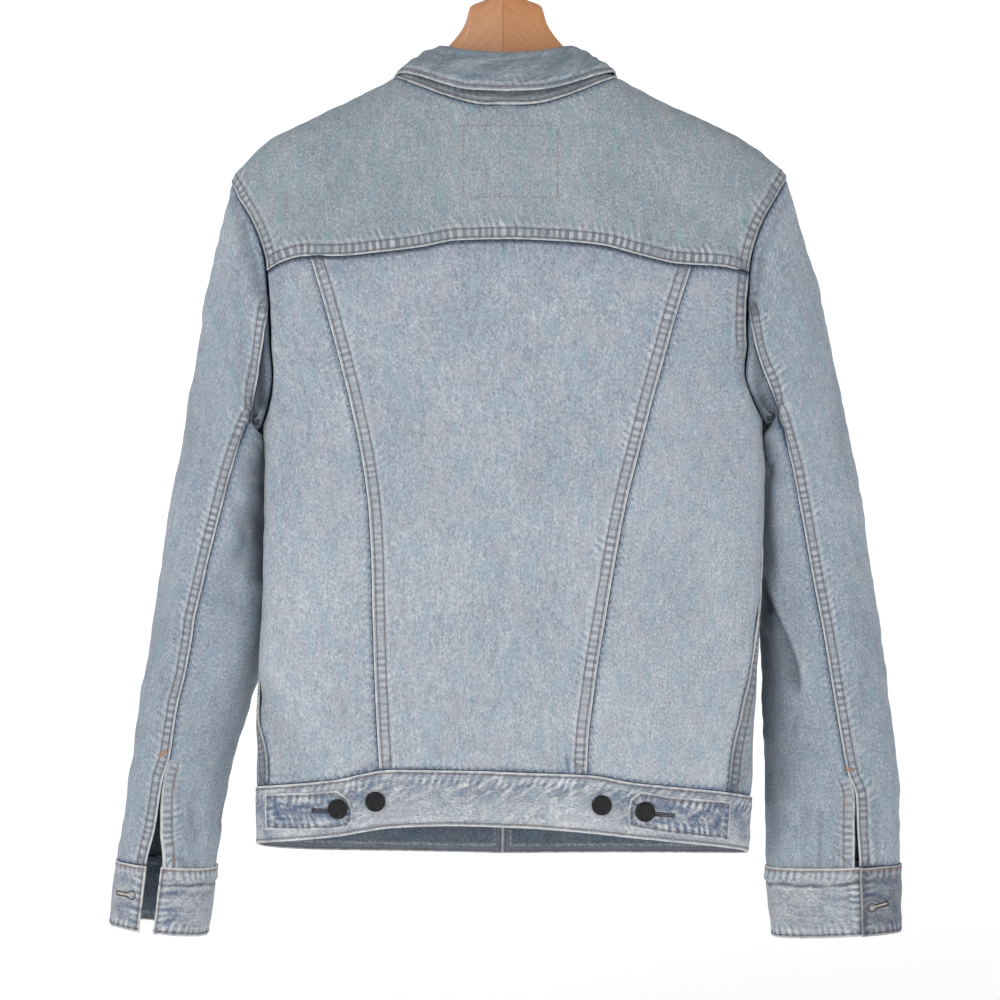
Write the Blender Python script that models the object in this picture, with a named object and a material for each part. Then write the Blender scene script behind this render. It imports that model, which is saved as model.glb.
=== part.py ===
"""Denim trucker jacket on a contoured wooden hanger, with its back facing -Y.

Metres, +Z up. The hanger's hook hangs from the origin, and +X is the wearer's right.
Each cloth panel is a wall laid over a formula: the body is a stack of rounded sections,
a sleeve is a fan of rings from the armhole to the wrist, and the collar is a set of rows
around the neck. Neighbouring panels share the points of their seam, GAP apart.
"""

import math

import bmesh
import bpy
import numpy as np
from mathutils import Matrix, Vector

# Driving sizes, metres
GAP = 0.0003
WALL = 0.0014
BAND_WALL = 0.0022
BAND_RAISE = 0.0008
STEEPEST_PULL = 0.2
COLLAR_WALL = 0.0015
TAB_WALL = 0.0016

NECK_HALF = 0.0945
NECK_BACK = 0.240
NECK_FRONT = 0.318
SHOULDER_SEAM = -0.0775
SHOULDER_SEAM_DROP = 0.0085

V_BAND = 0.012
ARM_BAND = 0.0095
YOKE_BAND = 0.011
SLEEVE_BAND = 0.009
SIDE_BAND = 0.010
BAND_STEP = 0.0025
PLACKET_HALF = 0.018

BACK_POWER = 2.6
FRONT_POWER = 2.4
ARMHOLE_POWER = 2.65
SLEEVE_POWER = 2.3

LEFT, RIGHT = -1, 1
SIDE_NAMES = {LEFT: "left", RIGHT: "right"}
QUARTER = math.pi / 2


def table(names, *rows):
    """Rows of numbers as one array for each named column."""
    return dict(zip(names.split(), np.array(rows, float).T))


# Body sections by height: where its edges stand, and how deep its back and front are.
BODY = table(
    "z left right back front",
    (-0.104, 0.0000, 0.0000, 0.0400, 0.034),
    (-0.114, -0.0500, 0.0500, 0.0420, 0.036),
    (-0.124, -0.0760, 0.0760, 0.0440, 0.038),
    (-0.134, -0.0930, 0.0935, 0.0460, 0.040),
    (-0.152, -0.1283, 0.1275, 0.0480, 0.043),
    (-0.169, -0.1641, 0.1641, 0.0500, 0.045),
    (-0.186, -0.1980, 0.1997, 0.0515, 0.047),
    (-0.203, -0.2184, 0.2235, 0.0530, 0.049),
    (-0.220, -0.2312, 0.2380, 0.0540, 0.051),
    (-0.245, -0.2375, 0.2445, 0.0555, 0.054),
    (-0.300, -0.2350, 0.2420, 0.0580, 0.060),
    (-0.360, -0.2295, 0.2365, 0.0590, 0.064),
    (-0.395, -0.2165, 0.2225, 0.0590, 0.065),
    (-0.430, -0.2066, 0.2178, 0.0580, 0.066),
    (-0.460, -0.2055, 0.2200, 0.0570, 0.066),
    (-0.500, -0.2055, 0.2190, 0.0560, 0.066),
    (-0.600, -0.2080, 0.2145, 0.0530, 0.062),
    (-0.660, -0.2110, 0.2120, 0.0500, 0.058),
    (-0.735, -0.2115, 0.2085, 0.0460, 0.053),
    (-0.800, -0.2105, 0.2045, 0.0430, 0.050),
)

# Armhole loops: top and bottom heights, and how far each reaches in from the side.
ARMHOLES = {
    LEFT: {"top": -0.2235, "bottom": -0.428, "back": 0.422, "front": 0.43},
    RIGHT: {"top": -0.2190, "bottom": -0.424, "back": 0.438, "front": 0.44},
}

# Lower edge of the back yoke.
YOKE_SEAM = table(
    "x z",
    (-0.205, -0.3030),
    (-0.187, -0.2930),
    (-0.168, -0.2888),
    (-0.138, -0.2890),
    (-0.105, -0.2861),
    (-0.072, -0.2822),
    (-0.038, -0.2764),
    (0.000, -0.2756),
    (0.045, -0.2772),
    (0.078, -0.2803),
    (0.111, -0.2884),
    (0.145, -0.2957),
    (0.179, -0.2972),
    (0.207, -0.3035),
)

# The two slanting back seams, from the yoke down to the waistband.
V_SEAMS = table(
    "z left right",
    (-0.285, -0.1645, 0.1585),
    (-0.326, -0.1523, 0.1450),
    (-0.377, -0.1382, 0.1305),
    (-0.417, -0.1284, 0.1196),
    (-0.455, -0.1205, 0.1097),
    (-0.496, -0.1149, 0.0995),
    (-0.534, -0.1124, 0.0922),
    (-0.585, -0.1112, 0.0835),
    (-0.646, -0.1095, 0.0739),
    (-0.700, -0.1066, 0.0681),
    (-0.740, -0.1050, 0.0668),
)

# Side seams: 1 is the side of the body, less is toward the centre of the back.
SIDE_SEAMS = table(
    "z left right",
    (-0.420, 1.00, 1.00),
    (-0.470, 1.05, 1.05),
    (-0.530, 1.07, 1.02),
    (-0.577, 1.07, 0.90),
    (-0.611, 1.06, 0.80),
    (-0.644, 1.02, 0.74),
    (-0.662, 0.98, 0.70),
    (-0.679, 0.87, 0.68),
    (-0.691, 0.78, 0.66),
    (-0.711, 0.72, 0.64),
    (-0.745, 0.71, 0.63),
)

# Upper and lower edges of the waistband around the body, from -2 to 2 at centre front.
WAISTBAND = table(
    "s top bottom",
    (-2.00, -0.7505, -0.7985),
    (-1.50, -0.7460, -0.7940),
    (-1.00, -0.7365, -0.7845),
    (-0.57, -0.7304, -0.7780),
    (-0.42, -0.7258, -0.7735),
    (-0.35, -0.7206, -0.7695),
    (-0.28, -0.7172, -0.7660),
    (-0.13, -0.7177, -0.7641),
    (0.04, -0.7196, -0.7657),
    (0.21, -0.7217, -0.7700),
    (0.32, -0.7282, -0.7743),
    (0.42, -0.7318, -0.7778),
    (0.55, -0.7357, -0.7819),
    (0.83, -0.7423, -0.7890),
    (1.50, -0.7490, -0.7965),
    (2.00, -0.7505, -0.7985),
)

# Sleeve rings by distance down the sleeve: outer and inner ends, middle, half depth.
# The seam columns are the angles of the back edges of the outer and the under piece.
SLEEVE_COLUMNS = "down outer_x outer_z inner_x inner_z mid_y deep seam under"
SLEEVES = {
    LEFT: table(
        SLEEVE_COLUMNS,
        (0.000, -0.2335, -0.2235, -0.2066, -0.4280, 0.000, 0.040, 93.1, 93.1),
        (0.020, -0.2386, -0.2430, -0.2074, -0.4293, 0.002, 0.043, 104.0, 104.0),
        (0.049, -0.2459, -0.2709, -0.2085, -0.4310, 0.006, 0.046, 119.5, 119.5),
        (0.084, -0.2529, -0.3048, -0.2095, -0.4340, 0.010, 0.049, 137.0, 137.0),
        (0.153, -0.2663, -0.3726, -0.2100, -0.4450, 0.022, 0.051, 128.0, 128.0),
        (0.222, -0.2781, -0.4408, -0.2080, -0.4720, 0.032, 0.050, 110.5, 110.5),
        (0.275, -0.2882, -0.4921, -0.2050, -0.5100, 0.037, 0.048, 97.0, 97.0),
        (0.336, -0.2991, -0.5523, -0.2020, -0.5620, 0.039, 0.045, 84.0, 84.0),
        (0.388, -0.3055, -0.6040, -0.2050, -0.6100, 0.038, 0.043, 77.5, 77.5),
        (0.449, -0.3149, -0.6642, -0.2205, -0.6680, 0.035, 0.041, 77.5, 77.5),
        (0.493, -0.3208, -0.7080, -0.2335, -0.7120, 0.031, 0.041, 80.0, 80.0),
        (0.514, -0.3235, -0.7288, -0.2385, -0.7330, 0.030, 0.040, 76.5, 78.0),
        (0.555, -0.3293, -0.7690, -0.2445, -0.7745, 0.030, 0.039, 75.5, 83.5),
        (0.586, -0.3339, -0.8002, -0.2490, -0.8060, 0.030, 0.037, 71.5, 92.0),
        (0.642, -0.3395, -0.8553, -0.2573, -0.8648, 0.030, 0.036, 71.5, 88.0),
    ),
    RIGHT: table(
        SLEEVE_COLUMNS,
        (0.000, 0.2385, -0.2190, 0.2170, -0.4240, 0.000, 0.040, 96.2, 96.2),
        (0.020, 0.2447, -0.2390, 0.2184, -0.4252, 0.002, 0.043, 108.0, 108.0),
        (0.052, 0.2544, -0.2709, 0.2205, -0.4270, 0.006, 0.046, 120.5, 120.5),
        (0.087, 0.2648, -0.3048, 0.2218, -0.4310, 0.010, 0.049, 135.0, 135.0),
        (0.157, 0.2808, -0.3726, 0.2225, -0.4430, 0.022, 0.050, 128.0, 128.0),
        (0.227, 0.2961, -0.4408, 0.2205, -0.4700, 0.032, 0.048, 115.5, 115.5),
        (0.279, 0.3063, -0.4921, 0.2170, -0.5080, 0.037, 0.045, 105.0, 105.0),
        (0.340, 0.3147, -0.5523, 0.2145, -0.5600, 0.039, 0.042, 95.0, 95.0),
        (0.392, 0.3228, -0.6040, 0.2165, -0.6100, 0.038, 0.039, 89.5, 89.5),
        (0.453, 0.3305, -0.6642, 0.2204, -0.6680, 0.035, 0.036, 85.5, 85.5),
        (0.511, 0.3375, -0.7220, 0.2219, -0.7260, 0.030, 0.033, 79.7, 79.7),
        (0.530, 0.3386, -0.7420, 0.2223, -0.7450, 0.030, 0.032, 73.5, 75.0),
        (0.563, 0.3392, -0.7750, 0.2230, -0.7780, 0.030, 0.031, 72.5, 76.0),
        (0.590, 0.3391, -0.8040, 0.2238, -0.8060, 0.030, 0.030, 70.5, 76.0),
        (0.648, 0.3391, -0.8622, 0.2299, -0.8665, 0.030, 0.028, 70.5, 74.0),
    ),
}
SLEEVE_LENGTH = {LEFT: 0.586, RIGHT: 0.590}
CUFF_BOTTOM = {LEFT: 0.642, RIGHT: 0.648}
ARMHOLE_FADE = 0.10
ARMHOLE_CLEAR = 0.0006
COLUMN_FADE = 0.05
UNDERARM_START = 0.0025
UNDERARM_LIFT = 0.005
UNDERARM_RISE = 0.016

# Cuff ends: angles of the outer and the inner end, and how far each stands off the ring.
CUFF_ENDS = {
    LEFT: {"outer": 72.5, "inner": 88.5, "lift": 0.0014, "dip": -0.0006},
    RIGHT: {"outer": 71.0, "inner": 67.0, "lift": 0.0018, "dip": -0.0016},
}
CUFF_LIFT_SPAN = 26.0

# Soft folds of the sleeves: a trough or ridge from one place to another, each place a
# distance down the sleeve and an angle around it, with half width and height in metres.
FOLD_COLUMNS = "down_a angle_a down_b angle_b width height"
SLEEVE_FOLDS = {
    LEFT: table(
        FOLD_COLUMNS,
        (0.055, 118.0, 0.075, 150.0, 0.028, -0.0080),
        (0.030, 30.0, 0.120, 62.0, 0.014, -0.0040),
        (0.025, -40.0, 0.120, -75.0, 0.015, -0.0050),
        (0.270, 150.0, 0.345, 110.0, 0.016, -0.0060),
        (0.240, 165.0, 0.300, 120.0, 0.014, 0.0035),
        (0.330, 20.0, 0.420, 50.0, 0.018, -0.0035),
        (0.400, 130.0, 0.470, 95.0, 0.015, 0.0030),
        (0.310, -60.0, 0.380, -120.0, 0.016, -0.0050),
        (0.520, 120.0, 0.580, 125.0, 0.007, -0.0025),
    ),
    RIGHT: table(
        FOLD_COLUMNS,
        (0.055, 118.0, 0.080, 150.0, 0.028, -0.0090),
        (0.030, 30.0, 0.120, 62.0, 0.014, -0.0040),
        (0.025, -40.0, 0.120, -75.0, 0.015, -0.0050),
        (0.230, 168.0, 0.320, 150.0, 0.015, -0.0080),
        (0.250, 140.0, 0.390, 128.0, 0.014, 0.0045),
        (0.390, 128.0, 0.560, 132.0, 0.013, 0.0045),
        (0.400, 155.0, 0.560, 158.0, 0.012, -0.0050),
        (0.310, -60.0, 0.380, -120.0, 0.016, -0.0050),
        (0.430, 40.0, 0.500, 20.0, 0.016, -0.0030),
    ),
}
SLEEVE_ROUND = 0.048

# Soft folds of the body, by x and z, on the back (-1) or the front (1).
BODY_FOLDS = table(
    "x_a z_a x_b z_b width height face",
    (-0.205, -0.660, -0.150, -0.710, 0.018, -0.0030, -1),
    (-0.190, -0.640, -0.120, -0.690, 0.020, 0.0015, -1),
    (0.060, -0.690, -0.020, -0.715, 0.016, -0.0020, -1),
    (0.195, -0.440, 0.150, -0.560, 0.022, -0.0025, -1),
    (-0.190, -0.440, -0.160, -0.560, 0.022, -0.0020, -1),
    (-0.150, -0.250, -0.060, -0.300, 0.030, -0.0020, 1),
    (0.150, -0.250, 0.060, -0.300, 0.030, -0.0020, 1),
    (-0.150, -0.600, -0.060, -0.700, 0.025, -0.0030, 1),
    (0.140, -0.580, 0.070, -0.690, 0.025, -0.0030, 1),
)

# Collar rows by angle around the neck: its fold line and the free edge of its fall.
COLLAR = table(
    "angle fold_x fold_y fold_z edge_x edge_y edge_z",
    (0, 0.0000, -0.0430, -0.1181, 0.0000, -0.0590, -0.1529),
    (20, 0.0200, -0.0415, -0.1172, 0.0330, -0.0572, -0.1505),
    (40, 0.0380, -0.0340, -0.1138, 0.0590, -0.0495, -0.1430),
    (60, 0.0505, -0.0215, -0.1095, 0.0788, -0.0345, -0.1346),
    (80, 0.0575, -0.0040, -0.1070, 0.0925, -0.0080, -0.1296),
    (100, 0.0590, 0.0140, -0.1100, 0.0955, 0.0200, -0.1345),
    (120, 0.0550, 0.0310, -0.1220, 0.0930, 0.0420, -0.1600),
    (140, 0.0440, 0.0430, -0.1410, 0.0850, 0.0560, -0.1880),
    (160, 0.0280, 0.0510, -0.1640, 0.0680, 0.0625, -0.2200),
    (180, 0.0040, 0.0545, -0.1850, 0.0480, 0.0650, -0.2460),
)
COLLAR_END = 176.0
FALL_BULGE = 0.004
FOLD_ROLL = 0.0018
STAND_BELOW_FOLD = 0.0035
STAND_BOW = 0.0040
STAND_FOOT_GAP = 0.0009

# Tabs on the waistband: their upper and lower edges from the fixed to the pointed end.
TABS = {
    "left": table(
        "s top bottom",
        (-0.720, -0.7398, -0.7695),
        (-0.490, -0.7368, -0.7683),
        (-0.424, -0.7347, -0.7670),
        (-0.392, -0.7413, -0.7650),
        (-0.380, -0.7488, -0.7604),
    ),
    "right": table(
        "s top bottom",
        (0.643, -0.7459, -0.7783),
        (0.500, -0.7420, -0.7740),
        (0.421, -0.7398, -0.7712),
        (0.340, -0.7354, -0.7668),
        (0.315, -0.7413, -0.7640),
        (0.311, -0.7490, -0.7570),
    ),
}

# Waistband buttons at the back: place along the waistband, height, and whether on a tab.
WAIST_BUTTONS = {
    "button_waist_left_tab": (-0.418, -0.7498, True),
    "button_waist_left": (-0.320, -0.7435, False),
    "button_waist_right_tab": (0.352, -0.7518, True),
    "button_waist_right": (0.243, -0.7463, False),
}
FRONT_BUTTON_HEIGHTS = (-0.235, -0.340, -0.445, -0.550, -0.655)
WAIST_FRONT_BUTTON_S, WAIST_FRONT_BUTTON_Z = 1.96, -0.7745
CUFF_BUTTON_ANGLE = -115.0

# Button profile: radius and height above the cloth, from the foot to the centre.
BUTTON = table(
    "radius height",
    (0.0040, 0.0000),
    (0.0040, 0.0012),
    (0.0078, 0.0014),
    (0.0084, 0.0024),
    (0.0072, 0.0036),
    (0.0050, 0.0031),
    (0.0022, 0.0036),
)
BUTTON_SIDES = 16

# Hanger: rows of its neck from the centre out, then of an arm under the shoulder.
HANGER_NECK = table(
    "x top bottom deep",
    (0.000, -0.0605, -0.1400, 0.0135),
    (0.010, -0.0632, -0.1400, 0.0130),
    (0.019, -0.0680, -0.1405, 0.0125),
    (0.030, -0.0730, -0.1420, 0.0120),
    (0.035, -0.0880, -0.1430, 0.0118),
    (0.042, -0.0990, -0.1445, 0.0118),
    (0.050, -0.1080, -0.1460, 0.0120),
    (0.065, -0.1240, -0.1500, 0.0125),
    (0.088, -0.1400, -0.1620, 0.0135),
)
HANGER_ARM = table(
    "x thick deep",
    (0.115, 0.022, 0.0160),
    (0.150, 0.021, 0.0170),
    (0.180, 0.020, 0.0170),
    (0.198, 0.018, 0.0150),
    (0.208, 0.014, 0.0110),
    (0.213, 0.007, 0.0060),
)
HANGER_REST = 0.0040
HANGER_POWER = 2.4
HANGER_SIDES = 16

# Hook: wire and ring radii, and the stem between the ring and the wood.
WIRE = 0.0018
HOOK_RADIUS = 0.021
STEM_FOOT = -0.0602
STEM_TOP = -0.0500
HOOK_END = 212.0

# Grid sizes: cells between the named edges of the panels.
SIDE_COLUMNS = 5
CENTRE_COLUMNS = 14
YOKE_ROW_SHARES = (0, 0.10, 0.19, 0.28, 0.37, 0.47, 0.61, 0.79, 0.955, 1)
ARMHOLE_ROWS = 6
SEAM_ROWS = 12
FRONT_ARM_ROWS = 8
SHOULDER_COLUMNS = 6
FRONT_NECK_COLUMNS = 4
SLEEVE_SEAM_START = 1
SLEEVE_FRONT_SEAM = 4
SLEEVE_ROW_STEPS = (
    0.0, 0.008, 0.018, 0.032, 0.049, 0.068, 0.09, 0.115, 0.14, 0.17, 0.2, 0.23,
    0.26, 0.29, 0.32, 0.35, 0.38, 0.41, 0.44, 0.47, 0.5, 0.53, 0.558, 1.0,
)
CUFF_COLUMNS = 20
CUFF_ROWS = 3
WAIST_ROWS = 3
TAB_ROWS = 2

COLOURS = {
    "yoke": (0.32, 0.36, 0.40),
    "panel": (0.38, 0.43, 0.48),
    "sleeve": (0.37, 0.41, 0.48),
    "band": (0.38, 0.41, 0.45),
    "collar": (0.22, 0.26, 0.30),
    "button": (0.02, 0.02, 0.022),
    "wood": (0.52, 0.27, 0.14),
    "steel": (0.70, 0.70, 0.72),
}


# ---------------------------------------------------------------- numbers
def along(rows, column, at):
    """A smooth curve through one column of a table, read at places in its first column."""
    places = next(iter(rows.values()))
    values = rows[column]
    if places[0] > places[-1]:
        places, values = places[::-1], values[::-1]
    span = np.diff(places)
    slope = np.diff(values) / span
    tangent = np.concatenate([slope[:1], np.zeros(len(slope) - 1), slope[-1:]])
    same = slope[:-1] * slope[1:] > 0
    first, second = 2 * span[1:] + span[:-1], span[1:] + 2 * span[:-1]
    safe_a = np.where(same, slope[:-1], 1)
    safe_b = np.where(same, slope[1:], 1)
    mean = (first + second) / (first / safe_a + second / safe_b)
    tangent[1:-1] = np.where(same, mean, 0)
    at = np.clip(np.asarray(at, float), places[0], places[-1])
    cell = np.clip(np.searchsorted(places, at, side="right") - 1, 0, len(span) - 1)
    t = (at - places[cell]) / span[cell]
    start = values[cell] * (2 * t**3 - 3 * t**2 + 1) + values[cell + 1] * (3 * t**2 - 2 * t**3)
    bend = tangent[cell] * (t**3 - 2 * t**2 + t) + tangent[cell + 1] * (t**3 - t**2)
    return start + span[cell] * bend


def smooth(value):
    """0 to 1 with flat ends."""
    value = np.clip(value, 0, 1)
    return value * value * (3 - 2 * value)


def unit(vectors):
    return vectors / np.linalg.norm(vectors, axis=-1, keepdims=True)


def trough(x, z, xa, za, xb, zb, width):
    """A soft furrow of height 1 along the line from a to b."""
    run, rise = xb - xa, zb - za
    part = np.clip(((x - xa) * run + (z - za) * rise) / (run**2 + rise**2), 0, 1)
    away = np.hypot(x - xa - part * run, z - za - part * rise)
    return np.exp(-((away / width) ** 2))


def normals_of(place, a, b, step_a, step_b):
    """Normals of a surface place(a, b), from differences along both directions."""
    da = place(a + step_a, b) - place(a - step_a, b)
    db = place(a, b + step_b) - place(a, b - step_b)
    return unit(np.cross(da, db))


# ---------------------------------------------------------------- body surface
def section(z):
    """Middle and half width of the body at a height."""
    left, right = along(BODY, "left", z), along(BODY, "right", z)
    return (left + right) / 2, (right - left) / 2


def body_base(s, z):
    """The body at s (0 centre back, 1 side, 2 centre front; negative left) and height z."""
    middle, half = section(z)
    turn = np.abs(s) * QUARTER
    sine, cosine = np.abs(np.sin(turn)), np.cos(turn)
    back = cosine >= 0
    power = np.where(back, BACK_POWER, FRONT_POWER)
    size = (sine**power + np.abs(cosine) ** power) ** (1 / power)
    depth = np.where(back, along(BODY, "back", z), along(BODY, "front", z))
    x = middle + np.sign(s) * half * sine / size
    return np.stack([x, -depth * cosine / size, z + 0 * s], axis=-1)


def body_normals(s, z):
    return normals_of(body_base, s, z, 0.01, 0.0015)


def body_fold(points):
    """Height of the soft folds over points of the body."""
    height = np.zeros(points.shape[:-1])
    for row in zip(*BODY_FOLDS.values()):
        on_face = smooth(0.5 + points[..., 1] * row[6] / 0.03)
        height += row[5] * on_face * trough(points[..., 0], points[..., 2], *row[:5])
    return height


def body(s, z, lift=0.0):
    """Points of the body with its folds, moved out by lift, and their normals."""
    base = body_base(s, z)
    normal = body_normals(s, z)
    height = body_fold(base) + lift
    return base + normal * height[..., None], normal


RIDGE_Z = np.linspace(-0.104, -0.245, 400)
RIDGE_X = {LEFT: -along(BODY, "left", RIDGE_Z), RIGHT: along(BODY, "right", RIDGE_Z)}


def ridge(x):
    """Height of the shoulder line over x."""
    left = np.interp(-x, RIDGE_X[LEFT], RIDGE_Z)
    return np.where(x < 0, left, np.interp(x, RIDGE_X[RIGHT], RIDGE_Z))


def side_of(x, z, front=False):
    """The s at which the body's section at height z passes x."""
    middle, half = section(z)
    share = np.clip(np.abs(x - middle) / half, 0, 1)
    power = np.where(front, FRONT_POWER, BACK_POWER)
    turn = np.arctan2(share, (1 - share**power) ** (1 / power))
    return np.sign(x - middle) * np.where(front, 2 - turn / QUARTER, turn / QUARTER)


def over_shoulder(x, w):
    """(s, z) of a place given by x and w: w squared is the drop below the shoulder line,
    and a negative w is in front of it."""
    z = ridge(x) - w * w
    return side_of(x, z, w < 0), z


def shoulder_place(s, z):
    """(x, w) of a place on the body: the inverse of over_shoulder."""
    x = body_base(s, z)[..., 0]
    drop = np.sqrt(np.maximum(ridge(x) - z, 0))
    return x, np.where(np.abs(s) > 1, -drop, drop)


# ---------------------------------------------------------------- seams
def armhole(side, degrees):
    """(s, z) of the armhole: 0 at the shoulder, 90 at the back, 180 under the arm."""
    hole = ARMHOLES[side]
    turn = np.radians(degrees)
    sine, cosine = np.sin(turn), np.cos(turn)
    power = ARMHOLE_POWER
    size = (np.abs(sine) ** power + np.abs(cosine) ** power) ** (1 / power)
    reach = np.where(sine >= 0, -hole["back"], hole["front"]) * np.abs(sine) / size
    middle, half = (hole["top"] + hole["bottom"]) / 2, (hole["top"] - hole["bottom"]) / 2
    return side * (1 + reach), middle + half * cosine / size


def armhole_angle(side, z):
    """Angle in degrees, from the top, at which the armhole passes height z."""
    hole = ARMHOLES[side]
    middle, half = (hole["top"] + hole["bottom"]) / 2, (hole["top"] - hole["bottom"]) / 2
    share = (z - middle) / half
    across = (1 - abs(share) ** ARMHOLE_POWER) ** (1 / ARMHOLE_POWER)
    return math.degrees(math.atan2(across, share))


def shoulder_angle(side):
    return -armhole_angle(side, ARMHOLES[side]["top"] - SHOULDER_SEAM_DROP)


def yoke_angle(side):
    """Where the yoke's seam meets the armhole, found by stepping toward it."""
    x = side * 0.2
    for _ in range(12):
        angle = armhole_angle(side, float(along(YOKE_SEAM, "z", x)))
        x = float(body_base(*armhole(side, angle))[0])
    return angle


def neckline(degrees):
    """(x, w) of the neckline: 0 at centre back, 90 on the shoulder line, 180 in front."""
    turn = np.radians(degrees)
    cosine = np.cos(turn)
    w = np.where(cosine >= 0, NECK_BACK, NECK_FRONT) * cosine
    return NECK_HALF * np.sin(turn), w


NECK_CORNER = 90 + math.degrees(math.asin(-SHOULDER_SEAM / NECK_FRONT))


def measured(curve, start, stop, marks, count):
    """Values from start to stop along a curve: the marks (metres from the start, then from
    the stop as negative numbers) and evenly spaced ones between, count + 1 in all."""
    fine = np.linspace(start, stop, 241)
    points = curve(fine)
    length = np.concatenate([[0], np.cumsum(np.linalg.norm(np.diff(points, axis=0), axis=1))])
    first = [m for m in marks if m > 0]
    last = [length[-1] + m for m in marks if m < 0]
    ends = [0, *first], [*last, length[-1]]
    inner = np.linspace(ends[0][-1], ends[1][0], count + 3 - len(ends[0]) - len(ends[1]))
    places = np.concatenate([ends[0][:-1], inner, ends[1][1:]])
    return np.interp(places, length, fine)


def coons(top, bottom, left, right):
    """A patch between four edges, each an array of points in the same flat coordinates."""
    rows, columns = len(left), len(top)
    v = arc(left)[:, None] * 0.5 + arc(right)[:, None] * 0.5
    u = (1 - v) * arc(top)[None, :] + v * arc(bottom)[None, :]
    v, u = np.broadcast_to(v, (rows, columns))[..., None], u[..., None]
    across = (1 - u) * left[:, None] + u * right[:, None]
    down = (1 - v) * top[None, :] + v * bottom[None, :]
    corners = (1 - v) * ((1 - u) * top[0] + u * top[-1])
    corners = corners + v * ((1 - u) * bottom[0] + u * bottom[-1])
    return across + down - corners


def arc(edge):
    """Share of the way along an edge at each of its points."""
    length = np.concatenate([[0], np.cumsum(np.linalg.norm(np.diff(edge, axis=0), axis=1))])
    return length / length[-1]


def pairs(a, b):
    return np.stack(np.broadcast_arrays(a, b), axis=-1)


def yoke_seam(x):
    """(s, z) along the yoke's lower edge."""
    z = along(YOKE_SEAM, "z", x)
    return side_of(x, z), z


def v_seam(side, z):
    x = along(V_SEAMS, SIDE_NAMES[side], z)
    return side_of(x, z), z


def side_seam(side, z):
    return side * along(SIDE_SEAMS, SIDE_NAMES[side], z), z


def v_top(side):
    """x at which a V seam leaves the yoke."""
    x = side * 0.16
    for _ in range(8):
        x = along(V_SEAMS, SIDE_NAMES[side], along(YOKE_SEAM, "z", x))
    return float(x)


def meets_waistband(seam, side):
    """Height at which a seam reaches the waistband's upper edge."""
    z = -0.73
    for _ in range(12):
        z = along(WAISTBAND, "top", seam(side, z)[0])
    return float(z)


# ---------------------------------------------------------------- sleeves
def sleeve_fold(side, down, degrees):
    height = np.zeros(np.broadcast(down, degrees).shape)
    for row in zip(*SLEEVE_FOLDS[side].values()):
        down_a, angle_a, down_b, angle_b, width, deep = row
        line = (down_a, math.radians(angle_a) * SLEEVE_ROUND)
        line += (down_b, math.radians(angle_b) * SLEEVE_ROUND)
        turn = (degrees - angle_a + 180) % 360 - 180 + angle_a
        height += deep * trough(down, np.radians(turn) * SLEEVE_ROUND, *line, width)
    return height


def ring(side, down, degrees):
    """The plain sleeve tube: 0 at its outer edge, 90 at the back, 180 at its inner edge."""
    rows = SLEEVES[side]
    turn = np.radians(degrees)
    sine, cosine = np.sin(turn), np.cos(turn)
    power = SLEEVE_POWER
    size = (np.abs(sine) ** power + np.abs(cosine) ** power) ** (1 / power)
    outer = pairs(along(rows, "outer_x", down), along(rows, "outer_z", down))
    inner = pairs(along(rows, "inner_x", down), along(rows, "inner_z", down))
    flat = (outer + inner) / 2 + (outer - inner) / 2 * (cosine / size)[..., None]
    y = along(rows, "mid_y", down) - along(rows, "deep", down) * sine / size
    return np.stack([flat[..., 0], y, flat[..., 1]], axis=-1)


def sleeve_base(side, down, degrees):
    """The sleeve tube, which starts on the armhole."""
    fade = 1 - smooth(down / ARMHOLE_FADE)
    s, z = armhole(side, degrees)
    shift = (body_base(s, z) - ring(side, 0 * down, degrees)) * fade[..., None]
    under = (1 - np.cos(np.radians(degrees))) / 2
    leave = (UNDERARM_START + UNDERARM_LIFT * smooth(down / UNDERARM_RISE)) * under * fade
    normal = body_normals(s, z)
    middle = (body_base(*armhole(side, 0.0)) + body_base(*armhole(side, 180.0))) / 2
    inward = middle - body_base(s, z)
    inward = unit(inward - normal * (inward * normal).sum(axis=-1, keepdims=True))
    clear = inward * ARMHOLE_CLEAR * fade[..., None]
    return ring(side, down, degrees) + shift + clear + normal * leave[..., None]


def sleeve(side, down, degrees, lift=0.0):
    """Points of the sleeve with its folds, moved out by lift, and their normals."""
    down, degrees = np.broadcast_arrays(np.asarray(down, float), np.asarray(degrees, float))
    near = np.maximum(down, 0.003)

    def place(a, b):
        return sleeve_base(side, a, b)

    normal = -side * normals_of(place, near, degrees, 0.002, 1.0)
    height = sleeve_fold(side, down, degrees) * smooth(down / 0.02) + lift
    return sleeve_base(side, down, degrees) + normal * height[..., None], normal


# ---------------------------------------------------------------- meshes
def material(name, kind):
    made = bpy.data.materials.new(name)
    made.use_nodes = True
    shader = made.node_tree.nodes["Principled BSDF"]
    shader.inputs["Base Color"].default_value = (*COLOURS[kind], 1)
    shader.inputs["Roughness"].default_value = {"wood": 0.4, "steel": 0.25}.get(kind, 0.9)
    shader.inputs["Metallic"].default_value = 1.0 if kind == "steel" else 0.0
    return made


def add_object(name, kind, points, faces):
    mesh = bpy.data.meshes.new(name)
    mesh.from_pydata([tuple(p) for p in points], [], faces)
    shape = bmesh.new()
    shape.from_mesh(mesh)
    bmesh.ops.recalc_face_normals(shape, faces=shape.faces)
    shape.to_mesh(mesh)
    shape.free()
    mesh.materials.append(material(name, kind))
    made = bpy.data.objects.new(name, mesh)
    bpy.context.scene.collection.objects.link(made)
    return made


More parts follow.
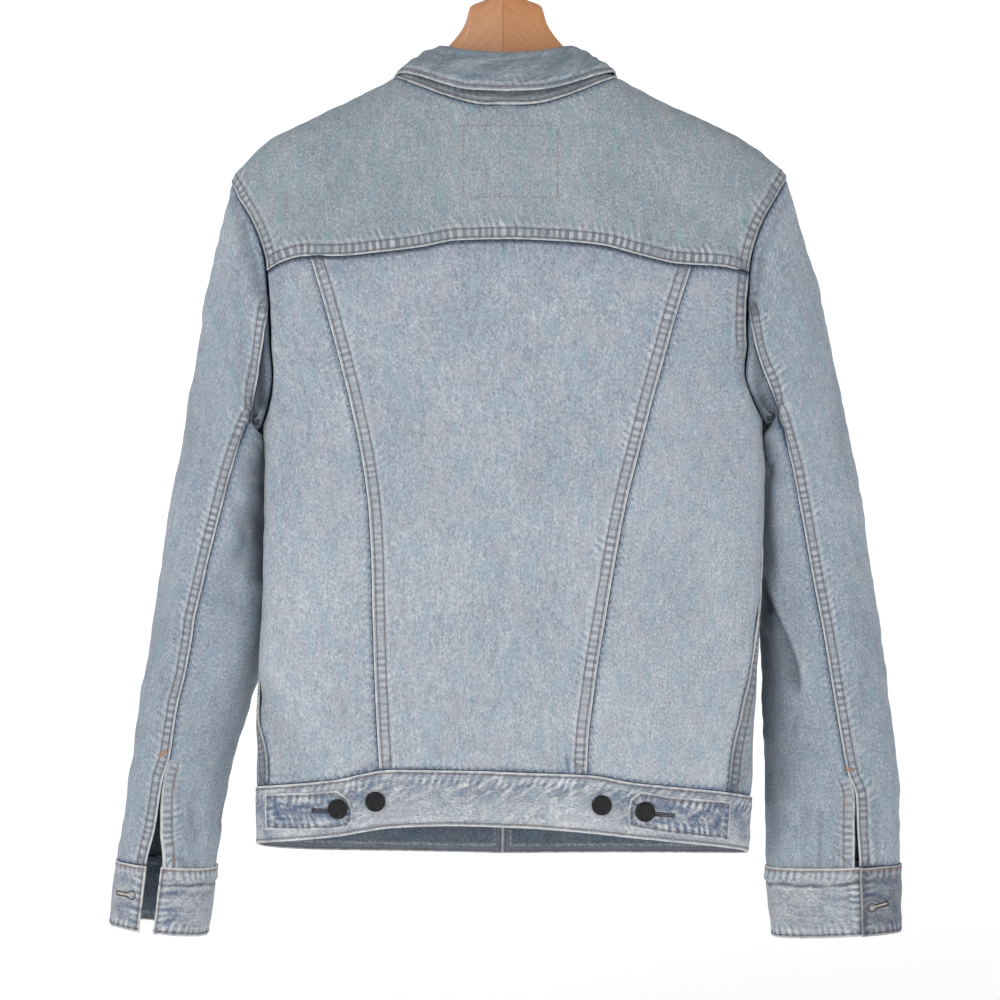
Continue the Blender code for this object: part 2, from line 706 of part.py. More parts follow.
def wall(name, kind, outer, inner):
    """A cloth wall between two grids of points, closed around its four edges."""
    rows, columns = outer.shape[:2]
    index = np.arange(rows * columns).reshape(rows, columns)
    under = index + rows * columns
    faces = []
    for i in range(rows - 1):
        for j in range(columns - 1):
            cell = [index[i, j], index[i, j + 1], index[i + 1, j + 1], index[i + 1, j]]
            faces.append(cell)
            faces.append([c + rows * columns for c in reversed(cell)])
    for line, below in (
        (index[0], under[0]),
        (index[-1], under[-1]),
        (index[:, 0], under[:, 0]),
        (index[:, -1], under[:, -1]),
    ):
        for k in range(len(line) - 1):
            faces.append([line[k], line[k + 1], below[k + 1], below[k]])
    points = np.concatenate([outer.reshape(-1, 3), inner.reshape(-1, 3)])
    return add_object(name, kind, points, [[int(c) for c in face] for face in faces])


def pulled(grid, distance=GAP / 2):
    """The grid with its four edges drawn in by a distance, measured square to each edge."""
    grid = grid.copy()
    edges = (grid, grid[::-1], grid.swapaxes(0, 1), grid[:, ::-1].swapaxes(0, 1))
    for edge in edges:
        toward = unit(edge[1] - edge[0])
        run = unit(np.gradient(edge[0], axis=0))
        square = np.linalg.norm(np.cross(toward, run), axis=-1, keepdims=True)
        edge[0] += toward * distance / np.maximum(square, STEEPEST_PULL)
    return grid


def band(distance, width):
    """Height of a folded seam over its panel, by distance from the seam."""
    return BAND_RAISE * (1 - smooth((distance - width) / BAND_STEP))


def edge_distance(points, line):
    """Distance from each point of a grid to the nearest point of a seam line."""
    return np.linalg.norm(points[:, :, None] - line[None, None], axis=-1).min(axis=-1)


def cloth(name, kind, sz, bands=(), thick=WALL):
    """A wall over the body at a grid of (s, z), raised near the given seams.
    It returns the outer points, for what lies on this panel."""
    base, normal = body(sz[..., 0], sz[..., 1])
    raise_by = np.zeros(base.shape[:2])
    for line, width in bands:
        seam = body(*line)[0]
        raise_by = np.maximum(raise_by, band(edge_distance(base, seam), width))
    outer = pulled(base + normal * raise_by[..., None])
    inner = pulled(base - normal * thick)
    wall(name, kind, outer, inner)
    return outer, normal


# ---------------------------------------------------------------- shared seam points
def body_curve(seam):
    """A seam as a function of one value that gives points in space."""
    return lambda value: body_base(*seam(value))


ARM_MARKS = (ARM_BAND, ARM_BAND + BAND_STEP)
V_MARKS = (V_BAND, V_BAND + BAND_STEP)


def yoke_angles(side):
    """Armhole angles of the yoke's rows, which stand closer together over the shoulder."""
    fine = np.linspace(shoulder_angle(side), yoke_angle(side), 400)
    w = shoulder_place(*armhole(side, fine))[1]
    return np.interp(w[0] + np.array(YOKE_ROW_SHARES) * (w[-1] - w[0]), w, fine)


def back_angles(side):
    return np.linspace(yoke_angle(side), 180, ARMHOLE_ROWS + 1)


def front_angles(side):
    return np.linspace(shoulder_angle(side), -180, FRONT_ARM_ROWS + 1)


def front_neck_angles():
    """Angles of the neckline's points in front, with one at the placket's edge."""
    edge = 180 - math.degrees(math.asin(PLACKET_HALF / NECK_HALF))
    return np.append(np.linspace(NECK_CORNER, edge, FRONT_NECK_COLUMNS)[1:], 180)


def yoke_seam_x():
    """x of the points of the yoke's seam: left side panel, centre panel, right one."""
    x_left = float(body_base(*armhole(LEFT, yoke_angle(LEFT)))[0])
    x_right = float(body_base(*armhole(RIGHT, yoke_angle(RIGHT)))[0])
    curve = body_curve(yoke_seam)
    ends = tuple(-m for m in reversed(V_MARKS))
    arm_ends = tuple(-m for m in reversed(ARM_MARKS))
    return (
        measured(curve, x_left, v_top(LEFT), ARM_MARKS, SIDE_COLUMNS),
        measured(curve, v_top(LEFT), v_top(RIGHT), V_MARKS + ends, CENTRE_COLUMNS),
        measured(curve, v_top(RIGHT), x_right, arm_ends, SIDE_COLUMNS),
    )


def waist_s():
    """s of the points of the waistband's upper edge, from centre front around to it."""
    def curve(s):
        return body_base(s, along(WAISTBAND, "top", s))

    side_l = side_seam(LEFT, meets_waistband(side_seam, LEFT))[0]
    side_r = side_seam(RIGHT, meets_waistband(side_seam, RIGHT))[0]
    v_l = v_seam(LEFT, meets_waistband(v_seam, LEFT))[0]
    v_r = v_seam(RIGHT, meets_waistband(v_seam, RIGHT))[0]
    ends = tuple(-m for m in reversed(V_MARKS))
    arm_ends = tuple(-m for m in reversed(ARM_MARKS))
    front = SHOULDER_COLUMNS + FRONT_NECK_COLUMNS
    side_marks = (SIDE_BAND, SIDE_BAND + BAND_STEP)
    side_ends = tuple(-m for m in reversed(side_marks))
    return (
        measured(curve, -2, side_l, (PLACKET_HALF, *side_ends), front),
        measured(curve, side_l, v_l, ARM_MARKS, SIDE_COLUMNS),
        measured(curve, v_l, v_r, V_MARKS + ends, CENTRE_COLUMNS),
        measured(curve, v_r, side_r, arm_ends, SIDE_COLUMNS),
        measured(curve, side_r, 2, (*side_marks, -PLACKET_HALF), front),
    )


def waist_top(s):
    return pairs(s, along(WAISTBAND, "top", s))


def seam_rows(side):
    """Heights of the points of a side seam."""
    bottom = meets_waistband(side_seam, side)
    return np.linspace(ARMHOLES[side]["bottom"], bottom, SEAM_ROWS + 1)


def v_rows(side):
    """Heights of the points of a V seam, as many as the side panel's outer edge has."""
    top = float(along(YOKE_SEAM, "z", v_top(side)))
    return np.linspace(top, meets_waistband(v_seam, side), ARMHOLE_ROWS + SEAM_ROWS + 1)


# ---------------------------------------------------------------- panels
def back_yoke():
    """The yoke, laid out over the shoulders in (x, w)."""
    left_top = pairs(*shoulder_place(*armhole(LEFT, shoulder_angle(LEFT))))
    right_top = pairs(*shoulder_place(*armhole(RIGHT, shoulder_angle(RIGHT))))
    neck_columns = 2 * SIDE_COLUMNS + CENTRE_COLUMNS - 2 * SHOULDER_COLUMNS
    turn = np.linspace(-NECK_CORNER, NECK_CORNER, neck_columns + 1)
    neck = pairs(*neckline(turn))
    share = np.linspace(0, 1, SHOULDER_COLUMNS + 1)[:, None]
    left_shoulder = left_top + share * (neck[0] - left_top)
    right_shoulder = neck[-1] + share * (right_top - neck[-1])
    top = np.concatenate([left_shoulder, neck[1:-1], right_shoulder])
    seam_x = np.concatenate([part[:-1] for part in yoke_seam_x()[:2]] + [yoke_seam_x()[2]])
    bottom = pairs(*shoulder_place(*yoke_seam(seam_x)))
    left = pairs(*shoulder_place(*armhole(LEFT, yoke_angles(LEFT))))
    right = pairs(*shoulder_place(*armhole(RIGHT, yoke_angles(RIGHT))))
    top[0], top[-1] = left[0], right[0]
    bottom[0], bottom[-1] = left[-1], right[-1]
    patch = coons(top, bottom, left, right)
    sz = pairs(*over_shoulder(patch[..., 0], patch[..., 1]))
    bands = [
        (yoke_seam(np.linspace(seam_x[0], seam_x[-1], 160)), YOKE_BAND),
        (armhole(LEFT, np.linspace(-30, 90, 80)), ARM_BAND),
        (armhole(RIGHT, np.linspace(-30, 90, 80)), ARM_BAND),
    ]
    cloth("back_yoke", "yoke", sz, bands)


def back_centre():
    x = yoke_seam_x()[1]
    top = pairs(*yoke_seam(x))
    bottom = waist_top(waist_s()[2])
    left = pairs(*v_seam(LEFT, v_rows(LEFT)))
    right = pairs(*v_seam(RIGHT, v_rows(RIGHT)))
    bands = [(v_seam(side, np.linspace(-0.28, -0.74, 240)), V_BAND) for side in (LEFT, RIGHT)]
    cloth("back_centre", "panel", coons(top, bottom, left, right), bands)


def back_side(side):
    """A back panel between a V seam, the armhole and the side seam."""
    place = 0 if side == LEFT else 2
    top = pairs(*yoke_seam(yoke_seam_x()[place]))
    bottom = waist_top(waist_s()[place + 1])
    arm = pairs(*armhole(side, back_angles(side)))
    seam = pairs(*side_seam(side, seam_rows(side)))
    seam[0] = arm[-1]
    outside = np.concatenate([arm, seam[1:]])
    inside = pairs(*v_seam(side, v_rows(side)))
    left, right = (outside, inside) if side == LEFT else (inside, outside)
    bands = [(armhole(side, np.linspace(60, 180, 120)), ARM_BAND)]
    cloth(f"back_side_{SIDE_NAMES[side]}", "panel", coons(top, bottom, left, right), bands)


def front(side):
    """A front panel from the shoulder seam and neckline to the waistband. It returns its
    two columns beside the centre front, for the placket."""
    arm_start = pairs(*shoulder_place(*armhole(side, shoulder_angle(side))))
    corner = pairs(*neckline(side * NECK_CORNER))
    share = np.linspace(0, 1, SHOULDER_COLUMNS + 1)[:, None]
    shoulder = arm_start + share * (corner - arm_start)
    neck = pairs(*neckline(side * front_neck_angles()))
    flat = np.concatenate([shoulder, neck])
    top = pairs(*over_shoulder(flat[:, 0], flat[:, 1]))
    top[-1] = (side * 2, ridge(0.0) - NECK_FRONT**2)
    arm = pairs(*armhole(side, front_angles(side)))
    seam = pairs(*side_seam(side, seam_rows(side)))
    arm[-1] = seam[0] = (side, ARMHOLES[side]["bottom"])
    outside = np.concatenate([arm, seam[1:]])
    top[0] = outside[0]
    centre = pairs(side * 2.0, np.linspace(top[-1, 1], WAISTBAND["top"][0], len(outside)))
    if side == LEFT:
        patch = coons(top[::-1], waist_top(waist_s()[0]), centre, outside)
    else:
        patch = coons(top, waist_top(waist_s()[4]), outside, centre)
    bands = [(side_seam(side, np.linspace(-0.43, -0.74, 200)), SIDE_BAND)]
    outer, normal = cloth(f"front_{SIDE_NAMES[side]}", "panel", patch, bands)
    beside = slice(0, 2) if side == LEFT else slice(-2, None)
    return outer[:, beside], normal[:, beside]


def sleeve_rows(side):
    """Distances down the sleeve at which its rings of points stand."""
    return np.minimum(np.array(SLEEVE_ROW_STEPS), SLEEVE_LENGTH[side])


def sleeve_piece(side, kind):
    """One of a sleeve's two pieces. At the armhole its columns stand at the points of the
    body's panels, and further down they are spread evenly around it."""
    back, yoke, chest = back_angles(side), yoke_angles(side), front_angles(side)
    front_angle = chest[SLEEVE_FRONT_SEAM]
    if kind == "outer":
        start = [*back[SLEEVE_SEAM_START:0:-1], *yoke[::-1], *chest[1 : SLEEVE_FRONT_SEAM + 1]]
        last = front_angle
    else:
        start = [*back[SLEEVE_SEAM_START:], *(chest[-2 : SLEEVE_FRONT_SEAM - 1 : -1] + 360)]
        last = front_angle + 360
    start = np.array(start)
    down = sleeve_rows(side)
    column = "seam" if kind == "outer" else "under"
    first = along(SLEEVES[side], column, down)
    first[0] = back[SLEEVE_SEAM_START]
    count = len(start)
    marks = np.array([0, SLEEVE_BAND, SLEEVE_BAND + BAND_STEP]) if kind == "outer" else np.zeros(1)
    step = np.degrees(marks / SLEEVE_ROUND) * (-1 if kind == "outer" else 1)
    grid = np.empty((len(down), count))
    for i, angle in enumerate(first):
        begun = angle + step
        rest = np.linspace(begun[-1], last, count - len(step) + 1)[1:]
        spread = np.concatenate([begun, rest])
        turned = angle + (start - start[0]) * (last - angle) / (last - start[0])
        share = smooth(down[i] / COLUMN_FADE)
        grid[i] = (1 - share) * turned + share * spread
    down = np.broadcast_to(down[:, None], grid.shape).copy()
    base, normal = sleeve(side, down, grid)
    raise_by = np.zeros(grid.shape)
    if kind == "outer":
        fine = np.linspace(0, SLEEVE_LENGTH[side], 240)
        line = sleeve(side, fine, along(SLEEVES[side], "seam", fine))[0]
        raise_by = band(edge_distance(base, line), SLEEVE_BAND)
    outer = pulled(base + normal * raise_by[..., None])
    inner = pulled(base - normal * WALL)
    wall(f"sleeve_{kind}_{SIDE_NAMES[side]}", "sleeve", outer, inner)


def cuff(side):
    """An unbuttoned cuff: a strip around the wrist with one end lifted past the other."""
    ends = CUFF_ENDS[side]
    degrees = np.linspace(ends["outer"], ends["inner"] - 360, CUFF_COLUMNS + 1)
    down = np.linspace(SLEEVE_LENGTH[side] + GAP, CUFF_BOTTOM[side], CUFF_ROWS + 1)
    down, degrees = np.meshgrid(down, degrees, indexing="ij")
    near_outer = smooth(1 - (ends["outer"] - degrees) / CUFF_LIFT_SPAN)
    near_inner = smooth(1 - (degrees - ends["inner"] + 360) / CUFF_LIFT_SPAN)
    lift = ends["lift"] * near_outer + ends["dip"] * near_inner
    points, normal = sleeve(side, down, degrees, BAND_WALL / 2 + lift)
    outer, inner = pulled(points), pulled(points - normal * BAND_WALL)
    wall(f"cuff_{SIDE_NAMES[side]}", "band", outer, inner)


def waistband():
    """The band around the hem, open at centre front. It returns its outer points and
    normals, and the s of its columns, for the tabs and buttons on it."""
    parts = waist_s()
    s = np.concatenate([part[:-1] for part in parts[:-1]] + [parts[-1]])
    share = np.linspace(0, 1, WAIST_ROWS + 1)[:, None]
    z = (1 - share) * along(WAISTBAND, "top", s) + share * along(WAISTBAND, "bottom", s)
    s = np.broadcast_to(s, z.shape).copy()
    points, normal = body(s, z, BAND_WALL / 2)
    outer, inner = pulled(points), pulled(points - normal * BAND_WALL)
    wall("waistband", "band", outer, inner)
    return outer, normal, s[0]


def on_grid(grid, row, column):
    """A value between a grid's points, at fractional row and column numbers."""
    i = np.clip(np.floor(row).astype(int), 0, grid.shape[0] - 2)
    j = np.clip(np.floor(column).astype(int), 0, grid.shape[1] - 2)
    v, u = (row - i)[..., None], (column - j)[..., None]
    upper = grid[i, j] * (1 - u) + grid[i, j + 1] * u
    lower = grid[i + 1, j] * (1 - u) + grid[i + 1, j + 1] * u
    return upper * (1 - v) + lower * v


def waist_row(s, z):
    """Fractional row of a height in the waistband's grid."""
    top, bottom = along(WAISTBAND, "top", s), along(WAISTBAND, "bottom", s)
    return (top - z) / (top - bottom) * WAIST_ROWS


def tab(side, band_points, band_normals, band_s):
    """A pointed tab on the waistband: the band's own points, moved out."""
    rows = TABS[SIDE_NAMES[side]]
    order = np.argsort(rows["s"])
    inside = band_s[(band_s > rows["s"].min()) & (band_s < rows["s"].max())]
    s = np.unique(np.concatenate([rows["s"], inside]))
    top = np.interp(s, rows["s"][order], rows["top"][order])
    bottom = np.interp(s, rows["s"][order], rows["bottom"][order])
    column = np.interp(s, band_s, np.arange(len(band_s)))
    share = np.linspace(0, 1, TAB_ROWS + 1)[:, None]
    row = waist_row(s, (1 - share) * top + share * bottom)
    column = np.broadcast_to(column, row.shape)
    points = on_grid(band_points, row, column)
    normal = unit(on_grid(band_normals, row, column))
    outer = points + normal * (GAP + TAB_WALL)
    wall(f"tab_{SIDE_NAMES[side]}", "band", outer, points + normal * GAP)


def placket(left, right):
    """The strip over the front edges: the front panels' points, moved out."""
    points = np.concatenate([right[0], left[0][:, 1:]], axis=1)
    normal = np.concatenate([right[1], left[1][:, 1:]], axis=1)
    points[:, 1] = (right[0][:, 1] + left[0][:, 0]) / 2
    outer = points + normal * (GAP + TAB_WALL)
    wall("placket", "band", pulled(outer), pulled(points + normal * GAP))


def collar_rows():
    """Angles around the neck of the collar's rows, at the points of the neckline."""
    columns = 2 * SIDE_COLUMNS + CENTRE_COLUMNS - 2 * SHOULDER_COLUMNS
    back = np.linspace(-NECK_CORNER, NECK_CORNER, columns + 1)
    chest = front_neck_angles()
    chest[-1] = COLLAR_END
    return np.concatenate([-chest[::-1], back, chest])


def collar_line(which, degrees):
    """Points of the collar's fold line or of its free edge."""
    size = np.abs(degrees)
    x = np.sign(degrees) * along(COLLAR, which + "_x", size)
    y, z = (along(COLLAR, which + axis, size) for axis in ("_y", "_z"))
    return np.stack([x, y, z], axis=-1)


def neck_points(degrees):
    x, w = neckline(degrees)
    return body_base(*over_shoulder(x, w))


def grid_normals(points, outward):
    """Normals of a grid of points, on the side of the given directions."""
    down = np.gradient(points, axis=0)
    across = np.gradient(points, axis=1)
    normal = unit(np.cross(across, down))
    return normal * np.sign((normal * outward).sum(axis=-1, keepdims=True))


def collar():
    """The collar's stand up from the neckline, and its fall turned down over it."""
    degrees = collar_rows()
    turn = np.radians(degrees)
    out = np.stack([np.sin(turn), -np.cos(turn), 0 * turn], axis=-1)
    up = np.array([0, 0, 1.0])
    fold, edge, foot = (
        collar_line("fold", degrees),
        collar_line("edge", degrees),
        neck_points(degrees),
    )
    head = fold - up * STAND_BELOW_FOLD - out * COLLAR_WALL * 0.7
    rise = unit(head - foot)
    share = np.linspace(0, 1, 4)[:, None, None]
    bow = (out * 0.6 + up * 0.8) * STAND_BOW * 4 * share * (1 - share)
    stand = (1 - share) * (foot + rise * STAND_FOOT_GAP) + share * head - bow
    normal = grid_normals(stand, np.broadcast_to(out, stand.shape))
    half = normal * COLLAR_WALL / 2
    wall("collar_stand", "collar", stand + half, stand - half)

    roll = [fold - (out + up * 0.4) * FOLD_ROLL, fold, fold + (out - up * 0.4) * FOLD_ROLL]
    for v in (0.2, 0.6, 1.0):
        bulge = out * (FALL_BULGE * 4 * v * (1 - v))
        roll.append((1 - v) * fold + v * edge + bulge)
    fall = np.stack(roll)
    side = np.broadcast_to(out + up, fall.shape)
    normal = grid_normals(fall, side)
    wall("collar_fall", "collar", fall, fall - normal * COLLAR_WALL)


# ---------------------------------------------------------------- hard pieces
def button(name, place, normal):
    """A shank button turned about its axis, standing on the cloth."""
    turn = np.linspace(0, 2 * math.pi, BUTTON_SIDES, endpoint=False)
    rim = np.stack([np.cos(turn), np.sin(turn)], axis=-1)
    rings = [
        np.concatenate([rim * radius, np.full((BUTTON_SIDES, 1), height)], axis=1)
        for radius, height in zip(*BUTTON.values())
    ]
    points, faces = skin(rings)
    made = add_object(name, "button", points, faces)
    facing = Vector(normal).to_track_quat("Z", "Y").to_matrix().to_4x4()
    made.matrix_world = Matrix.Translation(Vector(place + normal * GAP)) @ facing


def skin(rings):
    """Points and faces of a solid through closed rings, capped at both ends."""
    count = len(rings[0])
    faces = [list(range(count - 1, -1, -1))]
    for i in range(len(rings) - 1):
        for j in range(count):
            k = (j + 1) % count
            faces.append([i * count + j, i * count + k, (i + 1) * count + k, (i + 1) * count + j])
    faces.append([(len(rings) - 1) * count + j for j in range(count)])
    return np.concatenate(rings), faces


def buttons(band_points, band_normals, band_s, front_points, front_normals):
    def on_band(s, z, lift):
        column = np.interp(s, band_s, np.arange(len(band_s)))
        row = waist_row(s, z)
        place = on_grid(band_points, row, np.array(column))
        normal = unit(on_grid(band_normals, row, np.array(column)))
        return place + normal * lift, normal

    for name, (s, z, on_tab) in WAIST_BUTTONS.items():
        button(name, *on_band(s, z, GAP + TAB_WALL if on_tab else 0))
    button("button_front_waist", *on_band(WAIST_FRONT_BUTTON_S, WAIST_FRONT_BUTTON_Z, 0))
    for number, z in enumerate(FRONT_BUTTON_HEIGHTS, 1):
        row = np.interp(-z, -front_points[:, 1, 2], np.arange(len(front_points)))
        place = on_grid(front_points, np.array(row), np.array(1.0))
        normal = unit(on_grid(front_normals, np.array(row), np.array(1.0)))
        button(f"button_front_{number}", place + normal * (GAP + TAB_WALL), normal)
    for side in (LEFT, RIGHT):
        down = (SLEEVE_LENGTH[side] + CUFF_BOTTOM[side]) / 2
        place, normal = sleeve(side, down, CUFF_BUTTON_ANGLE, BAND_WALL / 2)
        button(f"button_cuff_{SIDE_NAMES[side]}", place, normal)


def hanger():
    """The wooden hanger: sections from one arm's end to the other."""
    neck = list(zip(*HANGER_NECK.values()))
    halves = {}
    for side in (LEFT, RIGHT):
        rows = [(side * x, top, bottom, deep) for x, top, bottom, deep in neck]
        for x, thick, deep in zip(*HANGER_ARM.values()):
            top = float(ridge(side * x)) - HANGER_REST
            rows.append((side * x, top, top - thick, deep))
        halves[side] = rows
    rows = halves[LEFT][:0:-1] + halves[RIGHT]
    turn = np.linspace(0, 2 * math.pi, HANGER_SIDES, endpoint=False)
    sine, cosine = np.sin(turn), np.cos(turn)
    size = (np.abs(sine) ** HANGER_POWER + np.abs(cosine) ** HANGER_POWER) ** (1 / HANGER_POWER)
    rings = []
    for x, top, bottom, deep in rows:
        z = (top + bottom) / 2 + (top - bottom) / 2 * cosine / size
        rings.append(np.stack([np.full(HANGER_SIDES, x), deep * sine / size, z], axis=-1))
    add_object("hanger", "wood", *skin(rings))


def hook():
    """A wire hook: a stem, a bend out to one side, and a ring over the hang point."""
    centre = -(HOOK_RADIUS - WIRE)
    turn = np.radians(np.linspace(-40, HOOK_END, 30))
    ring_points = [(HOOK_RADIUS * math.cos(a), centre + HOOK_RADIUS * math.sin(a)) for a in turn]
    start, join = (0.0, STEM_TOP), ring_points[0]
    tangent = (math.sin(math.radians(40)), math.cos(math.radians(40)))
    near = (0.0, STEM_TOP + 0.008)
    far = (join[0] - tangent[0] * 0.010, join[1] - tangent[1] * 0.010)
    bend = []
    for t in np.linspace(0, 1, 9)[:-1]:
        weights = ((1 - t) ** 3, 3 * t * (1 - t) ** 2, 3 * t * t * (1 - t), t**3)
        bend.append([sum(w * p[k] for w, p in zip(weights, (start, near, far, join))) for k in (0, 1)])
    path = [(0.0, STEM_FOOT), *bend, *ring_points]
    curve = bpy.data.curves.new("hook", "CURVE")
    curve.dimensions = "3D"
    curve.bevel_depth = WIRE
    curve.bevel_resolution = 2
    curve.use_fill_caps = True
    line = curve.splines.new("POLY")
    line.points.add(len(path) - 1)
    for point, (x, z) in zip(line.points, path):
        point.co = (x, 0, z, 1)
    curve.materials.append(material("hook", "steel"))
    bpy.context.scene.collection.objects.link(bpy.data.objects.new("hook", curve))


def main():
    for old in list(bpy.data.objects):
        bpy.data.objects.remove(old, do_unlink=True)
    back_yoke()
    back_centre()
    fronts = {}
    for side in (LEFT, RIGHT):
        back_side(side)
        fronts[side] = front(side)
        sleeve_piece(side, "outer")
        sleeve_piece(side, "under")
        cuff(side)
    band_points, band_normals, band_s = waistband()
    for side in (LEFT, RIGHT):
        tab(side, band_points, band_normals, band_s)
    placket(fronts[LEFT], fronts[RIGHT])
    collar()
    buttons(band_points, band_normals, band_s, *fronts[RIGHT])
    hanger()
    hook()


main()
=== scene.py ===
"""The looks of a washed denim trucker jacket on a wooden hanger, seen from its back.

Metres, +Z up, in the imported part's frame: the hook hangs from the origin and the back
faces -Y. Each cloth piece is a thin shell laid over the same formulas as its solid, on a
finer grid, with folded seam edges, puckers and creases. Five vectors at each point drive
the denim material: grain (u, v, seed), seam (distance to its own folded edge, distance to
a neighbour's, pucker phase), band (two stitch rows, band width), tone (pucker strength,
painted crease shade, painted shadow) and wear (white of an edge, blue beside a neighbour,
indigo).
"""

import math

import bmesh
import bpy
import numpy as np
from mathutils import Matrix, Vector


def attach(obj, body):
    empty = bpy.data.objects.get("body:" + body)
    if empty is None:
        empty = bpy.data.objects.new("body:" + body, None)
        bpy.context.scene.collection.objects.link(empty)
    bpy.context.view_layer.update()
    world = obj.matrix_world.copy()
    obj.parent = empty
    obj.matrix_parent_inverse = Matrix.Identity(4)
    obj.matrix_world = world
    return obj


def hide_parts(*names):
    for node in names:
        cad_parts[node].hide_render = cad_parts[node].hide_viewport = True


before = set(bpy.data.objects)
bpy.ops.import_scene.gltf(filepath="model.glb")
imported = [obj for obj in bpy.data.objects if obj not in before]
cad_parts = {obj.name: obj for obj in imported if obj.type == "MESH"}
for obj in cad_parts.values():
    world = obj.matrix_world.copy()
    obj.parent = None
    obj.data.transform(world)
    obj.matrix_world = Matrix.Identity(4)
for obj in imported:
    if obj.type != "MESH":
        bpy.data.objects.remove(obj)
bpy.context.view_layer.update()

GAP = 0.0003
BAND_WALL = 0.0022
COLLAR_WALL = 0.0015
TAB_WALL = 0.0016

NECK_HALF = 0.0945
NECK_BACK = 0.240
NECK_FRONT = 0.318
SHOULDER_SEAM = -0.0775
SHOULDER_SEAM_DROP = 0.0085

# Widths of the folded bands at the seams, and where their two rows of stitches run.
V_BAND, V_ROWS = 0.0104, (0.0032, 0.0100)
ARM_BAND, ARM_ROWS = 0.0095, (0.0030, 0.0085)
YOKE_BAND, YOKE_ROWS = 0.0098, (0.0022, 0.0092)
SLEEVE_BAND, SLEEVE_ROWS = 0.009, (0.0024, 0.0080)
SIDE_BAND, SIDE_ROWS = 0.010, (0.0028, 0.0092)
SHOULDER_BAND, SHOULDER_ROWS = 0.009, (0.002, 0.008)
NO_ROW = 1.0
PLACKET_HALF = 0.018

BACK_POWER = 2.6
FRONT_POWER = 2.4
ARMHOLE_POWER = 2.65
SLEEVE_POWER = 2.3

LEFT, RIGHT = -1, 1
SIDE_NAMES = {LEFT: "left", RIGHT: "right"}
QUARTER = math.pi / 2


def table(names, *rows):
    """Rows of numbers as one array for each named column."""
    return dict(zip(names.split(), np.array(rows, float).T))


# Body sections by height: where its edges stand, and how deep its back and front are.
BODY = table(
    "z left right back front",
    (-0.104, 0.0000, 0.0000, 0.0400, 0.034),
    (-0.114, -0.0500, 0.0500, 0.0420, 0.036),
    (-0.124, -0.0760, 0.0760, 0.0440, 0.038),
    (-0.134, -0.0930, 0.0935, 0.0460, 0.040),
    (-0.152, -0.1283, 0.1275, 0.0480, 0.043),
    (-0.169, -0.1641, 0.1641, 0.0500, 0.045),
    (-0.186, -0.1980, 0.1997, 0.0515, 0.047),
    (-0.203, -0.2184, 0.2235, 0.0530, 0.049),
    (-0.220, -0.2312, 0.2380, 0.0540, 0.051),
    (-0.245, -0.2375, 0.2445, 0.0555, 0.054),
    (-0.300, -0.2350, 0.2420, 0.0580, 0.060),
    (-0.360, -0.2295, 0.2365, 0.0590, 0.064),
    (-0.395, -0.2165, 0.2225, 0.0590, 0.065),
    (-0.430, -0.2066, 0.2178, 0.0580, 0.066),
    (-0.460, -0.2055, 0.2200, 0.0570, 0.066),
    (-0.500, -0.2055, 0.2190, 0.0560, 0.066),
    (-0.600, -0.2080, 0.2145, 0.0530, 0.062),
    (-0.660, -0.2110, 0.2120, 0.0500, 0.058),
    (-0.735, -0.2115, 0.2085, 0.0460, 0.053),
    (-0.800, -0.2105, 0.2045, 0.0430, 0.050),
)

# Armhole loops: top and bottom heights, and how far each reaches in from the side.
ARMHOLES = {
    LEFT: {"top": -0.2235, "bottom": -0.428, "back": 0.422, "front": 0.43},
    RIGHT: {"top": -0.2190, "bottom": -0.424, "back": 0.438, "front": 0.44},
}

# Lower edge of the back yoke.
YOKE_SEAM = table(
    "x z",
    (-0.205, -0.3030),
    (-0.187, -0.2930),
    (-0.168, -0.2888),
    (-0.138, -0.2890),
    (-0.105, -0.2861),
    (-0.072, -0.2822),
    (-0.038, -0.2764),
    (0.000, -0.2756),
    (0.045, -0.2772),
    (0.078, -0.2803),
    (0.111, -0.2884),
    (0.145, -0.2957),
    (0.179, -0.2972),
    (0.207, -0.3035),
)

# The two slanting back seams, from the yoke down to the waistband.
V_SEAMS = table(
    "z left right",
    (-0.285, -0.1645, 0.1585),
    (-0.326, -0.1523, 0.1450),
    (-0.377, -0.1382, 0.1305),
    (-0.417, -0.1284, 0.1196),
    (-0.455, -0.1205, 0.1097),
    (-0.496, -0.1149, 0.0995),
    (-0.534, -0.1124, 0.0922),
    (-0.585, -0.1112, 0.0835),
    (-0.646, -0.1095, 0.0739),
    (-0.700, -0.1066, 0.0681),
    (-0.740, -0.1050, 0.0668),
)

# Side seams: 1 is the side of the body, less is toward the centre of the back.
SIDE_SEAMS = table(
    "z left right",
    (-0.420, 1.00, 1.00),
    (-0.470, 1.05, 1.05),
    (-0.530, 1.07, 1.02),
    (-0.577, 1.07, 0.90),
    (-0.611, 1.06, 0.80),
    (-0.644, 1.02, 0.74),
    (-0.662, 0.98, 0.70),
    (-0.679, 0.87, 0.68),
    (-0.691, 0.78, 0.66),
    (-0.711, 0.72, 0.64),
    (-0.745, 0.71, 0.63),
)

